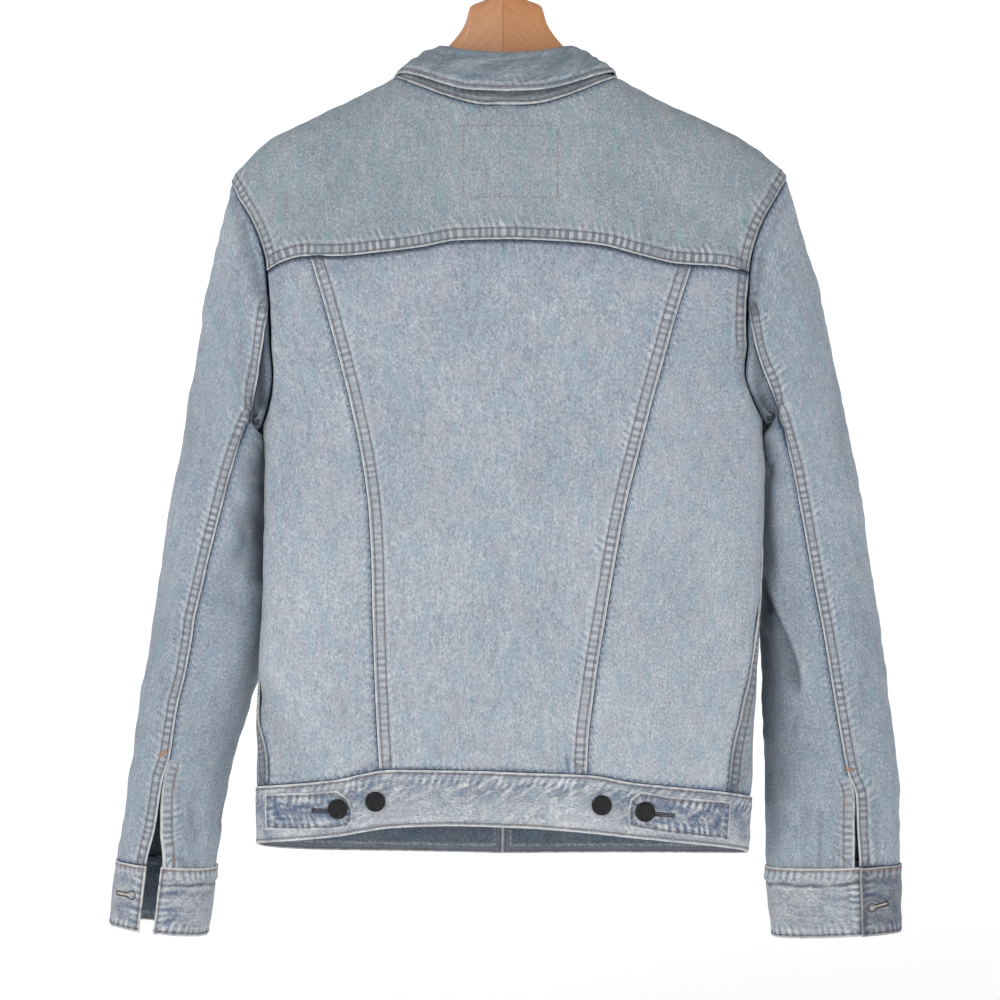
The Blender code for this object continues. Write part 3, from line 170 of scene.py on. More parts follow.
# Upper and lower edges of the waistband around the body, from -2 to 2 at centre front.
WAISTBAND = table(
    "s top bottom",
    (-2.00, -0.7505, -0.7985),
    (-1.50, -0.7460, -0.7940),
    (-1.00, -0.7365, -0.7845),
    (-0.57, -0.7304, -0.7780),
    (-0.42, -0.7258, -0.7735),
    (-0.35, -0.7206, -0.7695),
    (-0.28, -0.7172, -0.7660),
    (-0.13, -0.7177, -0.7641),
    (0.04, -0.7196, -0.7657),
    (0.21, -0.7217, -0.7700),
    (0.32, -0.7282, -0.7743),
    (0.42, -0.7318, -0.7778),
    (0.55, -0.7357, -0.7819),
    (0.83, -0.7423, -0.7890),
    (1.50, -0.7490, -0.7965),
    (2.00, -0.7505, -0.7985),
)

# Sleeve rings by distance down the sleeve: outer and inner ends, middle, half depth.
# The seam columns are the angles of the back edges of the outer and the under piece.
SLEEVE_COLUMNS = "down outer_x outer_z inner_x inner_z mid_y deep seam under"
SLEEVES = {
    LEFT: table(
        SLEEVE_COLUMNS,
        (0.000, -0.2335, -0.2235, -0.2066, -0.4280, 0.000, 0.040, 93.1, 93.1),
        (0.020, -0.2386, -0.2430, -0.2074, -0.4293, 0.002, 0.043, 104.0, 104.0),
        (0.049, -0.2459, -0.2709, -0.2085, -0.4310, 0.006, 0.046, 119.5, 119.5),
        (0.084, -0.2529, -0.3048, -0.2095, -0.4340, 0.010, 0.049, 137.0, 137.0),
        (0.153, -0.2663, -0.3726, -0.2100, -0.4450, 0.022, 0.051, 128.0, 128.0),
        (0.222, -0.2781, -0.4408, -0.2080, -0.4720, 0.032, 0.050, 110.5, 110.5),
        (0.275, -0.2882, -0.4921, -0.2050, -0.5100, 0.037, 0.048, 97.0, 97.0),
        (0.336, -0.2991, -0.5523, -0.2020, -0.5620, 0.039, 0.045, 84.0, 84.0),
        (0.388, -0.3055, -0.6040, -0.2050, -0.6100, 0.038, 0.043, 77.5, 77.5),
        (0.449, -0.3149, -0.6642, -0.2205, -0.6680, 0.035, 0.041, 77.5, 77.5),
        (0.493, -0.3208, -0.7080, -0.2335, -0.7120, 0.031, 0.041, 80.0, 80.0),
        (0.514, -0.3235, -0.7288, -0.2385, -0.7330, 0.030, 0.040, 76.5, 78.0),
        (0.555, -0.3293, -0.7690, -0.2445, -0.7745, 0.030, 0.039, 75.5, 83.5),
        (0.586, -0.3339, -0.8002, -0.2490, -0.8060, 0.030, 0.037, 71.5, 92.0),
        (0.642, -0.3395, -0.8553, -0.2573, -0.8648, 0.030, 0.036, 71.5, 88.0),
    ),
    RIGHT: table(
        SLEEVE_COLUMNS,
        (0.000, 0.2385, -0.2190, 0.2170, -0.4240, 0.000, 0.040, 96.2, 96.2),
        (0.020, 0.2447, -0.2390, 0.2184, -0.4252, 0.002, 0.043, 108.0, 108.0),
        (0.052, 0.2544, -0.2709, 0.2205, -0.4270, 0.006, 0.046, 120.5, 120.5),
        (0.087, 0.2648, -0.3048, 0.2218, -0.4310, 0.010, 0.049, 135.0, 135.0),
        (0.157, 0.2808, -0.3726, 0.2225, -0.4430, 0.022, 0.050, 128.0, 128.0),
        (0.227, 0.2961, -0.4408, 0.2205, -0.4700, 0.032, 0.048, 115.5, 115.5),
        (0.279, 0.3063, -0.4921, 0.2170, -0.5080, 0.037, 0.045, 105.0, 105.0),
        (0.340, 0.3147, -0.5523, 0.2145, -0.5600, 0.039, 0.042, 95.0, 95.0),
        (0.392, 0.3228, -0.6040, 0.2165, -0.6100, 0.038, 0.039, 89.5, 89.5),
        (0.453, 0.3305, -0.6642, 0.2204, -0.6680, 0.035, 0.036, 85.5, 85.5),
        (0.511, 0.3375, -0.7220, 0.2219, -0.7260, 0.030, 0.033, 79.7, 79.7),
        (0.530, 0.3386, -0.7420, 0.2223, -0.7450, 0.030, 0.032, 73.5, 75.0),
        (0.563, 0.3392, -0.7750, 0.2230, -0.7780, 0.030, 0.031, 72.5, 76.0),
        (0.590, 0.3391, -0.8040, 0.2238, -0.8060, 0.030, 0.030, 70.5, 76.0),
        (0.648, 0.3391, -0.8622, 0.2299, -0.8665, 0.030, 0.028, 70.5, 74.0),
    ),
}
SLEEVE_LENGTH = {LEFT: 0.586, RIGHT: 0.590}
CUFF_BOTTOM = {LEFT: 0.642, RIGHT: 0.648}
ARMHOLE_FADE = 0.10
ARMHOLE_CLEAR = 0.0006
UNDERARM_START = 0.0025
UNDERARM_LIFT = 0.005
UNDERARM_RISE = 0.016

# Cuff ends: angles of the outer and the inner end, and how far each stands off the ring.
CUFF_ENDS = {
    LEFT: {"outer": 72.5, "inner": 88.5, "lift": 0.0014, "dip": -0.0006},
    RIGHT: {"outer": 71.0, "inner": 67.0, "lift": 0.0018, "dip": -0.0016},
}
CUFF_LIFT_SPAN = 26.0

# Soft folds of the sleeves: a trough or ridge from one place to another, each place a
# distance down the sleeve and an angle around it, with half width and height in metres.
FOLD_COLUMNS = "down_a angle_a down_b angle_b width height"
SLEEVE_FOLDS = {
    LEFT: table(
        FOLD_COLUMNS,
        (0.055, 118.0, 0.075, 150.0, 0.028, -0.0080),
        (0.030, 30.0, 0.120, 62.0, 0.014, -0.0040),
        (0.025, -40.0, 0.120, -75.0, 0.015, -0.0050),
        (0.270, 150.0, 0.345, 110.0, 0.016, -0.0060),
        (0.240, 165.0, 0.300, 120.0, 0.014, 0.0035),
        (0.330, 20.0, 0.420, 50.0, 0.018, -0.0035),
        (0.400, 130.0, 0.470, 95.0, 0.015, 0.0030),
        (0.310, -60.0, 0.380, -120.0, 0.016, -0.0050),
        (0.520, 120.0, 0.580, 125.0, 0.007, -0.0025),
    ),
    RIGHT: table(
        FOLD_COLUMNS,
        (0.055, 118.0, 0.080, 150.0, 0.028, -0.0090),
        (0.030, 30.0, 0.120, 62.0, 0.014, -0.0040),
        (0.025, -40.0, 0.120, -75.0, 0.015, -0.0050),
        (0.230, 168.0, 0.320, 150.0, 0.015, -0.0080),
        (0.250, 140.0, 0.390, 128.0, 0.014, 0.0045),
        (0.390, 128.0, 0.560, 132.0, 0.013, 0.0045),
        (0.400, 155.0, 0.560, 158.0, 0.012, -0.0050),
        (0.310, -60.0, 0.380, -120.0, 0.016, -0.0050),
        (0.430, 40.0, 0.500, 20.0, 0.016, -0.0030),
    ),
}
SLEEVE_ROUND = 0.048

# Soft folds of the body, by x and z, on the back (-1) or the front (1).
BODY_FOLDS = table(
    "x_a z_a x_b z_b width height face",
    (-0.205, -0.660, -0.150, -0.710, 0.018, -0.0030, -1),
    (-0.190, -0.640, -0.120, -0.690, 0.020, 0.0015, -1),
    (0.060, -0.690, -0.020, -0.715, 0.016, -0.0020, -1),
    (0.195, -0.440, 0.150, -0.560, 0.022, -0.0025, -1),
    (-0.190, -0.440, -0.160, -0.560, 0.022, -0.0020, -1),
    (-0.150, -0.250, -0.060, -0.300, 0.030, -0.0020, 1),
    (0.150, -0.250, 0.060, -0.300, 0.030, -0.0020, 1),
    (-0.150, -0.600, -0.060, -0.700, 0.025, -0.0030, 1),
    (0.140, -0.580, 0.070, -0.690, 0.025, -0.0030, 1),
)

# Collar rows by angle around the neck: its fold line and the free edge of its fall.
COLLAR = table(
    "angle fold_x fold_y fold_z edge_x edge_y edge_z",
    (0, 0.0000, -0.0430, -0.1181, 0.0000, -0.0590, -0.1529),
    (20, 0.0200, -0.0415, -0.1172, 0.0330, -0.0572, -0.1505),
    (40, 0.0380, -0.0340, -0.1138, 0.0590, -0.0495, -0.1430),
    (60, 0.0505, -0.0215, -0.1095, 0.0788, -0.0345, -0.1346),
    (80, 0.0575, -0.0040, -0.1070, 0.0925, -0.0080, -0.1296),
    (100, 0.0590, 0.0140, -0.1100, 0.0955, 0.0200, -0.1345),
    (120, 0.0550, 0.0310, -0.1220, 0.0930, 0.0420, -0.1600),
    (140, 0.0440, 0.0430, -0.1410, 0.0850, 0.0560, -0.1880),
    (160, 0.0280, 0.0510, -0.1640, 0.0680, 0.0625, -0.2200),
    (180, 0.0040, 0.0545, -0.1850, 0.0480, 0.0650, -0.2460),
)
COLLAR_END = 176.0
FALL_BULGE = 0.004
FOLD_ROLL = 0.0018
STAND_BELOW_FOLD = 0.0035
STAND_BOW = 0.0040
STAND_FOOT_GAP = 0.0009

# Tabs on the waistband: their upper and lower edges from the fixed to the pointed end.
TABS = {
    "left": table(
        "s top bottom",
        (-0.720, -0.7398, -0.7695),
        (-0.490, -0.7368, -0.7683),
        (-0.424, -0.7347, -0.7670),
        (-0.392, -0.7413, -0.7650),
        (-0.380, -0.7488, -0.7604),
    ),
    "right": table(
        "s top bottom",
        (0.643, -0.7459, -0.7783),
        (0.500, -0.7420, -0.7740),
        (0.421, -0.7398, -0.7712),
        (0.340, -0.7354, -0.7668),
        (0.315, -0.7413, -0.7640),
        (0.311, -0.7490, -0.7570),
    ),
}

# Waistband buttons at the back: place along the waistband, height, and whether on a tab.
WAIST_BUTTONS = {
    "button_waist_left_tab": (-0.418, -0.7498, True),
    "button_waist_left": (-0.320, -0.7435, False),
    "button_waist_right_tab": (0.352, -0.7518, True),
    "button_waist_right": (0.243, -0.7463, False),
}
FRONT_BUTTON_HEIGHTS = (-0.235, -0.340, -0.445, -0.550, -0.655)
WAIST_FRONT_BUTTON_S, WAIST_FRONT_BUTTON_Z = 1.96, -0.7745
CUFF_BUTTON_ANGLE = -115.0

# Hanger: rows of its neck from the centre out, then of an arm under the shoulder.
HANGER_NECK = table(
    "x top bottom deep",
    (0.000, -0.0605, -0.1400, 0.0135),
    (0.010, -0.0632, -0.1400, 0.0130),
    (0.019, -0.0680, -0.1405, 0.0125),
    (0.030, -0.0730, -0.1420, 0.0120),
    (0.035, -0.0880, -0.1430, 0.0118),
    (0.042, -0.0990, -0.1445, 0.0118),
    (0.050, -0.1080, -0.1460, 0.0120),
    (0.065, -0.1240, -0.1500, 0.0125),
    (0.088, -0.1400, -0.1620, 0.0135),
)
HANGER_ARM = table(
    "x thick deep",
    (0.115, 0.022, 0.0160),
    (0.150, 0.021, 0.0170),
    (0.180, 0.020, 0.0170),
    (0.198, 0.018, 0.0150),
    (0.208, 0.014, 0.0110),
    (0.213, 0.007, 0.0060),
)
HANGER_REST = 0.0040
HANGER_POWER = 3.2
HANGER_SIDES = 48

# Hook: wire and ring radii, and the stem between the ring and the wood.
WIRE = 0.0018
HOOK_RADIUS = 0.021
STEM_FOOT = -0.0602
STEM_TOP = -0.0500
HOOK_START, HOOK_END = -40.0, 212.0
HOOK_SIDES = 16

FRONT_ARM_ROWS = 8
SLEEVE_FRONT_SEAM = 4


# ---------------------------------------------------------------- numbers
def along(rows, column, at):
    """A smooth curve through one column of a table, read at places in its first column."""
    places = next(iter(rows.values()))
    values = rows[column]
    if places[0] > places[-1]:
        places, values = places[::-1], values[::-1]
    span = np.diff(places)
    slope = np.diff(values) / span
    tangent = np.concatenate([slope[:1], np.zeros(len(slope) - 1), slope[-1:]])
    same = slope[:-1] * slope[1:] > 0
    first, second = 2 * span[1:] + span[:-1], span[1:] + 2 * span[:-1]
    safe_a = np.where(same, slope[:-1], 1)
    safe_b = np.where(same, slope[1:], 1)
    mean = (first + second) / (first / safe_a + second / safe_b)
    tangent[1:-1] = np.where(same, mean, 0)
    at = np.clip(np.asarray(at, float), places[0], places[-1])
    cell = np.clip(np.searchsorted(places, at, side="right") - 1, 0, len(span) - 1)
    t = (at - places[cell]) / span[cell]
    leave, arrive = span[cell] * tangent[cell], span[cell] * tangent[cell + 1]
    return hermite(t, values[cell], values[cell + 1], leave, arrive)


def hermite(t, start, stop, leave, arrive):
    """A cubic from start to stop as t goes from 0 to 1, with given slopes at its ends."""
    place = start * (2 * t**3 - 3 * t**2 + 1) + stop * (3 * t**2 - 2 * t**3)
    return place + leave * (t**3 - 2 * t**2 + t) + arrive * (t**3 - t**2)


def smooth(value):
    """0 to 1 with flat ends."""
    value = np.clip(value, 0, 1)
    return value * value * (3 - 2 * value)


def unit(vectors):
    return vectors / np.linalg.norm(vectors, axis=-1, keepdims=True)


def trough(x, z, xa, za, xb, zb, width):
    """A soft furrow of height 1 along the line from a to b."""
    run, rise = xb - xa, zb - za
    part = np.clip(((x - xa) * run + (z - za) * rise) / (run**2 + rise**2), 0, 1)
    away = np.hypot(x - xa - part * run, z - za - part * rise)
    return np.exp(-((away / width) ** 2))


def hump(value, half):
    """1 at zero, and falling off like a bell past a half width."""
    return np.exp(-((value / half) ** 2))


def box_size(sine, cosine, power):
    """What a direction is divided by to reach the edge of a rounded box of half size 1."""
    return (np.abs(sine) ** power + np.abs(cosine) ** power) ** (1 / power)


def read_along(at, run, values):
    """Columns of values read at places along a run."""
    return np.stack([np.interp(at, run, column) for column in values.T], axis=-1)


def line_length(points):
    """Distance along a line at each of its points."""
    return np.concatenate([[0], np.cumsum(np.linalg.norm(np.diff(points, axis=0), axis=1))])


def arc(edge):
    """Share of the way along an edge at each of its points."""
    length = line_length(edge)
    return length / length[-1]


def pairs(a, b):
    return np.stack(np.broadcast_arrays(a, b), axis=-1)


def normals_of(place, a, b, step_a, step_b):
    """Normals of a surface place(a, b), from differences along both directions."""
    da = place(a + step_a, b) - place(a - step_a, b)
    db = place(a, b + step_b) - place(a, b - step_b)
    return unit(np.cross(da, db))


# ---------------------------------------------------------------- body surface
def section(z):
    """Middle and half width of the body at a height."""
    left, right = along(BODY, "left", z), along(BODY, "right", z)
    return (left + right) / 2, (right - left) / 2


def body_base(s, z):
    """The body at s (0 centre back, 1 side, 2 centre front; negative left) and height z."""
    middle, half = section(z)
    turn = np.abs(s) * QUARTER
    sine, cosine = np.abs(np.sin(turn)), np.cos(turn)
    back = cosine >= 0
    power = np.where(back, BACK_POWER, FRONT_POWER)
    size = box_size(sine, cosine, power)
    depth = np.where(back, along(BODY, "back", z), along(BODY, "front", z))
    x = middle + np.sign(s) * half * sine / size
    return np.stack([x, -depth * cosine / size, z + 0 * s], axis=-1)


def body_normals(s, z):
    return normals_of(body_base, s, z, 0.01, 0.0015)


def body_fold(points):
    """Height of the soft folds over points of the body."""
    height = np.zeros(points.shape[:-1])
    for row in zip(*BODY_FOLDS.values()):
        on_face = smooth(0.5 + points[..., 1] * row[6] / 0.03)
        height += row[5] * on_face * trough(points[..., 0], points[..., 2], *row[:5])
    return height


def body(s, z, lift=0.0):
    """Points of the body with its folds, moved out by lift, and their normals."""
    base = body_base(s, z)
    normal = body_normals(s, z)
    height = body_fold(base) + lift
    return base + normal * height[..., None], normal


RIDGE_Z = np.linspace(-0.104, -0.245, 400)
RIDGE_X = {LEFT: -along(BODY, "left", RIDGE_Z), RIGHT: along(BODY, "right", RIDGE_Z)}


def ridge(x):
    """Height of the shoulder line over x."""
    left = np.interp(-x, RIDGE_X[LEFT], RIDGE_Z)
    return np.where(x < 0, left, np.interp(x, RIDGE_X[RIGHT], RIDGE_Z))


def side_of(x, z, front=False):
    """The s at which the body's section at height z passes x."""
    middle, half = section(z)
    share = np.clip(np.abs(x - middle) / half, 0, 1)
    power = np.where(front, FRONT_POWER, BACK_POWER)
    turn = np.arctan2(share, (1 - share**power) ** (1 / power))
    return np.sign(x - middle) * np.where(front, 2 - turn / QUARTER, turn / QUARTER)


def over_shoulder(x, w):
    """(s, z) of a place given by x and w: w squared is the drop below the shoulder line,
    and a negative w is in front of it."""
    z = ridge(x) - w * w
    return side_of(x, z, w < 0), z


def shoulder_place(s, z):
    """(x, w) of a place on the body: the inverse of over_shoulder."""
    x = body_base(s, z)[..., 0]
    drop = np.sqrt(np.maximum(ridge(x) - z, 0))
    return x, np.where(np.abs(s) > 1, -drop, drop)


# ---------------------------------------------------------------- seams
def armhole_middle(side):
    """Height of an armhole's middle, and half its own height."""
    top, bottom = ARMHOLES[side]["top"], ARMHOLES[side]["bottom"]
    return (top + bottom) / 2, (top - bottom) / 2


def armhole(side, degrees):
    """(s, z) of the armhole: 0 at the shoulder, 90 at the back, 180 under the arm."""
    hole = ARMHOLES[side]
    turn = np.radians(degrees)
    sine, cosine = np.sin(turn), np.cos(turn)
    size = box_size(sine, cosine, ARMHOLE_POWER)
    reach = np.where(sine >= 0, -hole["back"], hole["front"]) * np.abs(sine) / size
    middle, half = armhole_middle(side)
    return side * (1 + reach), middle + half * cosine / size


def armhole_angle(side, z):
    """Angle in degrees, from the top, at which the armhole passes height z."""
    middle, half = armhole_middle(side)
    share = (z - middle) / half
    across = (1 - abs(share) ** ARMHOLE_POWER) ** (1 / ARMHOLE_POWER)
    return math.degrees(math.atan2(across, share))


def shoulder_angle(side):
    return -armhole_angle(side, ARMHOLES[side]["top"] - SHOULDER_SEAM_DROP)


def yoke_angle(side):
    """Where the yoke's seam meets the armhole, found by stepping toward it."""
    x = side * 0.2
    for _ in range(12):
        angle = armhole_angle(side, float(along(YOKE_SEAM, "z", x)))
        x = float(body_base(*armhole(side, angle))[0])
    return angle


def neckline(degrees):
    """(x, w) of the neckline: 0 at centre back, 90 on the shoulder line, 180 in front."""
    turn = np.radians(degrees)
    cosine = np.cos(turn)
    w = np.where(cosine >= 0, NECK_BACK, NECK_FRONT) * cosine
    return NECK_HALF * np.sin(turn), w


NECK_CORNER = 90 + math.degrees(math.asin(-SHOULDER_SEAM / NECK_FRONT))


def yoke_seam(x):
    """(s, z) along the yoke's lower edge."""
    z = along(YOKE_SEAM, "z", x)
    return side_of(x, z), z


def v_seam(side, z):
    x = along(V_SEAMS, SIDE_NAMES[side], z)
    return side_of(x, z), z


def side_seam(side, z):
    return side * along(SIDE_SEAMS, SIDE_NAMES[side], z), z


def v_top(side):
    """x at which a V seam leaves the yoke."""
    x = side * 0.16
    for _ in range(8):
        x = along(V_SEAMS, SIDE_NAMES[side], along(YOKE_SEAM, "z", x))
    return float(x)


def meets_waistband(seam, side):
    """Height at which a seam reaches the waistband's upper edge."""
    z = -0.73
    for _ in range(12):
        z = along(WAISTBAND, "top", seam(side, z)[0])
    return float(z)


# ---------------------------------------------------------------- sleeves
def sleeve_trough(row, down, degrees):
    """Height of one fold of a sleeve, given as (down, angle, down, angle, width, height)."""
    down_a, angle_a, down_b, angle_b, width, deep = row
    a, b = math.radians(angle_a) * SLEEVE_ROUND, math.radians(angle_b) * SLEEVE_ROUND
    turn = np.radians((degrees - angle_a + 180) % 360 - 180 + angle_a) * SLEEVE_ROUND
    return deep * trough(down, turn, down_a, a, down_b, b, width)


def sleeve_fold(side, down, degrees):
    height = np.zeros(np.broadcast(down, degrees).shape)
    for row in zip(*SLEEVE_FOLDS[side].values()):
        height += sleeve_trough(row, down, degrees)
    return height


def ring(side, down, degrees):
    """The plain sleeve tube: 0 at its outer edge, 90 at the back, 180 at its inner edge."""
    rows = SLEEVES[side]
    turn = np.radians(degrees)
    sine, cosine = np.sin(turn), np.cos(turn)
    size = box_size(sine, cosine, SLEEVE_POWER)
    outer = pairs(along(rows, "outer_x", down), along(rows, "outer_z", down))
    inner = pairs(along(rows, "inner_x", down), along(rows, "inner_z", down))
    flat = (outer + inner) / 2 + (outer - inner) / 2 * (cosine / size)[..., None]
    y = along(rows, "mid_y", down) - along(rows, "deep", down) * sine / size
    return np.stack([flat[..., 0], y, flat[..., 1]], axis=-1)


def sleeve_base(side, down, degrees):
    """The sleeve tube, which starts on the armhole."""
    fade = 1 - smooth(down / ARMHOLE_FADE)
    s, z = armhole(side, degrees)
    shift = (body_base(s, z) - ring(side, 0 * down, degrees)) * fade[..., None]
    under = (1 - np.cos(np.radians(degrees))) / 2
    leave = (UNDERARM_START + UNDERARM_LIFT * smooth(down / UNDERARM_RISE)) * under * fade
    normal = body_normals(s, z)
    middle = (body_base(*armhole(side, 0.0)) + body_base(*armhole(side, 180.0))) / 2
    inward = middle - body_base(s, z)
    inward = unit(inward - normal * (inward * normal).sum(axis=-1, keepdims=True))
    clear = inward * ARMHOLE_CLEAR * fade[..., None]
    return ring(side, down, degrees) + shift + clear + normal * leave[..., None]


def sleeve(side, down, degrees, lift=0.0):
    """Points of the sleeve with its folds, moved out by lift, and their normals."""
    down, degrees = np.broadcast_arrays(np.asarray(down, float), np.asarray(degrees, float))
    near = np.maximum(down, 0.003)

    def place(a, b):
        return sleeve_base(side, a, b)

    normal = -side * normals_of(place, near, degrees, 0.002, 1.0)
    height = sleeve_fold(side, down, degrees) * smooth(down / 0.02) + lift
    return sleeve_base(side, down, degrees) + normal * height[..., None], normal


# ---------------------------------------------------------------- fine grids
# Grid lines near an edge, by distance from it: a folded edge, and one under a neighbour.
MM = 0.001
FOLDED = MM * np.array(
    [0, 0.3, 0.7, 1.3, 2.2, 3.2, 4.4, 5.6, 6.8, 8, 9.2, 10.4, 11.6, 13, 14.8, 17.2]
)
TUCKED = MM * np.array([0, 1.0, 2.2, 3.6, 5.4, 7.6, 10.0, 12.6])
# Grid steps across and down each kind of piece.
YOKE_STEPS = (0.0028, 0.0026)
BACK_STEPS = (0.0030, 0.0026)
FRONT_STEPS = (0.0042, 0.0042)
SLEEVE_STEPS = (0.0033, 0.0028)
CUFF_STEPS = (0.0028, 0.0015)
LAYOUT_LINES = 61
NEAR_CHUNK = 4000
FAR_AWAY = 9.0

SHELL = 0.0011
TUCK = 0.0016
TUCK_DROP = 0.0007
PUCKER = 0.0062
FULL_TURN = 2 * math.pi


def wobble(t, seed, length):
    """A smooth uneven wave between about -1 and 1."""
    t = np.asarray(t) * FULL_TURN / length
    slow = np.sin(t + seed) + 0.6 * np.sin(1.73 * t + 2.1 * seed)
    return (slow + 0.4 * np.sin(2.91 * t + 3.7 * seed)) / 2


def crinkle(u, v, length, seed, flat=1.0):
    """A smooth uneven surface between about -1 and 1, its bumps stretched by flat along u."""
    draw = np.random.default_rng(seed)
    total = 0
    for _ in range(11):
        angle, size = draw.uniform(0, FULL_TURN), draw.uniform(0.6, 1.5)
        phase = draw.uniform(0, 7)
        k = FULL_TURN / length * size
        total = total + np.sin(k * (u * math.cos(angle) / flat + v * math.sin(angle)) + phase)
    return total / 4.5


def same(s, z):
    return s, z


class Edge:
    """A panel's edge: flat places, and shares of its flat length, by share of its length."""

    def __init__(self, flat, to_sz=same):
        self.flat = flat
        self.share = arc(body_base(*to_sz(flat[:, 0], flat[:, 1])))
        self.flat_share = arc(flat)

    def at(self, share):
        return read_along(share, self.share, self.flat)

    def weight(self, share):
        return np.interp(share, self.share, self.flat_share)


def patch(edges, u, v):
    """Flat places inside four edges at shares u across and v down."""
    top, bottom, left, right = edges
    down = ((left.weight(v) + right.weight(v)) / 2)[..., None]
    across = (1 - down) * top.weight(u)[..., None] + down * bottom.weight(u)[..., None]
    between = (1 - across) * left.at(v) + across * right.at(v)
    between += (1 - down) * top.at(u) + down * bottom.at(u)
    ends = (1 - across) * top.flat[0] + across * top.flat[-1]
    feet = (1 - across) * bottom.flat[0] + across * bottom.flat[-1]
    return between - (1 - down) * ends - down * feet


def spread_out(lengths, lead, tail, step):
    """Shares along each row: the lead, even steps, and the tail from the far end."""
    lengths = np.atleast_1d(lengths)
    count = max(int(round((lengths.max() - lead[-1] - tail[-1]) / step)), 2)
    rows = []
    for length in lengths:
        squeeze = min(1, 0.85 * length / (lead[-1] + tail[-1] + 1e-9))
        first, last = lead * squeeze, length - tail[::-1] * squeeze
        middle = np.linspace(first[-1], last[0], count + 1)[1:-1]
        rows.append(np.concatenate([first, middle, last]) / length)
    return np.array(rows)


def band_shares(length, folded, step):
    """Shares across or along a band, with the given number of lines at both folded edges."""
    return spread_out(length, FOLDED[:folded], FOLDED[:folded], step)[0]


def layout(edges, leads, steps, to_sz=same):
    """(s, z) of a panel's fine grid. The leads are those of its top, bottom, left and right."""
    def surface(u, v):
        flat = patch(edges, u, v)
        return body_base(*to_sz(flat[..., 0], flat[..., 1]))

    many = np.linspace(0, 1, LAYOUT_LINES)
    tall = [line_length(surface(np.full_like(many, side), many))[-1] for side in (0.0, 1.0)]
    v = spread_out(sum(tall) / 2, leads[0], leads[1], steps[1])[0][:, None]
    u = np.broadcast_to(many, (len(v), LAYOUT_LINES))
    points = surface(u, np.broadcast_to(v, u.shape))
    wide = np.linalg.norm(np.diff(points, axis=1), axis=-1).sum(axis=1)
    u = spread_out(wide, leads[2], leads[3], steps[0])
    flat = patch(edges, u, np.broadcast_to(v, u.shape))
    return pairs(*to_sz(flat[..., 0], flat[..., 1]))


def seam_field(points, line):
    """Distance from each point of a grid to a line, and how far along the line that is."""
    flat, length = points.reshape(-1, 3), line_length(line)
    near = np.empty(len(flat), int)
    for start in range(0, len(flat), NEAR_CHUNK):
        part = slice(start, start + NEAR_CHUNK)
        near[part] = ((flat[part, None] - line[None]) ** 2).sum(axis=-1).argmin(axis=1)
    best, run = np.full(len(flat), FAR_AWAY), np.zeros(len(flat))
    for first in (near - 1, near):
        first = np.clip(first, 0, len(line) - 2)
        step = line[first + 1] - line[first]
        t = np.clip(((flat - line[first]) * step).sum(axis=1) / (step**2).sum(axis=1), 0, 1)
        away = np.linalg.norm(flat - line[first] - t[:, None] * step, axis=1)
        closer = away < best
        best = np.where(closer, away, best)
        run = np.where(closer, length[first] + t * np.linalg.norm(step, axis=1), run)
    shape = points.shape[:-1]
    return best.reshape(shape), run.reshape(shape)


FOLD_HIGH = 0.0009
FOLD_SLOPE = 0.0022
RIDGE_BESIDE, RIDGE_HALF = 0.0030, 0.0016
EDGE_ROLL, EDGE_ROLL_WIDTH = 0.0006, 0.0012
SEAM_DIP, SEAM_DIP_WIDTH = 0.0006, 0.004
NEXT_PUCKER, NEXT_PUCKER_REACH = 0.0003, 0.006


class Fold:
    """A seam's folded edge on the piece that owns it: its line, band width, stitch rows."""

    def __init__(self, line, width, rows, seed, high=FOLD_HIGH, pucker=0.00026, ridge=0.0003,
                 power=1.0):
        self.line, self.width, self.rows, self.seed = line, width, rows, seed
        self.high, self.pucker, self.ridge, self.power = high, pucker, ridge, power


def phase_of(run, seed):
    """Turns of the puckers along a seam, a little unevenly spaced."""
    return run / PUCKER + 0.32 * wobble(run, seed, 0.052)


def strength(run, seed):
    """How strong the puckers are along a seam."""
    return np.clip(0.66 + 0.5 * wobble(run, seed + 5, 0.09), 0.1, 1.35)


def puckering(run, seed):
    return np.sin(FULL_TURN * phase_of(run, seed)) * strength(run, seed)


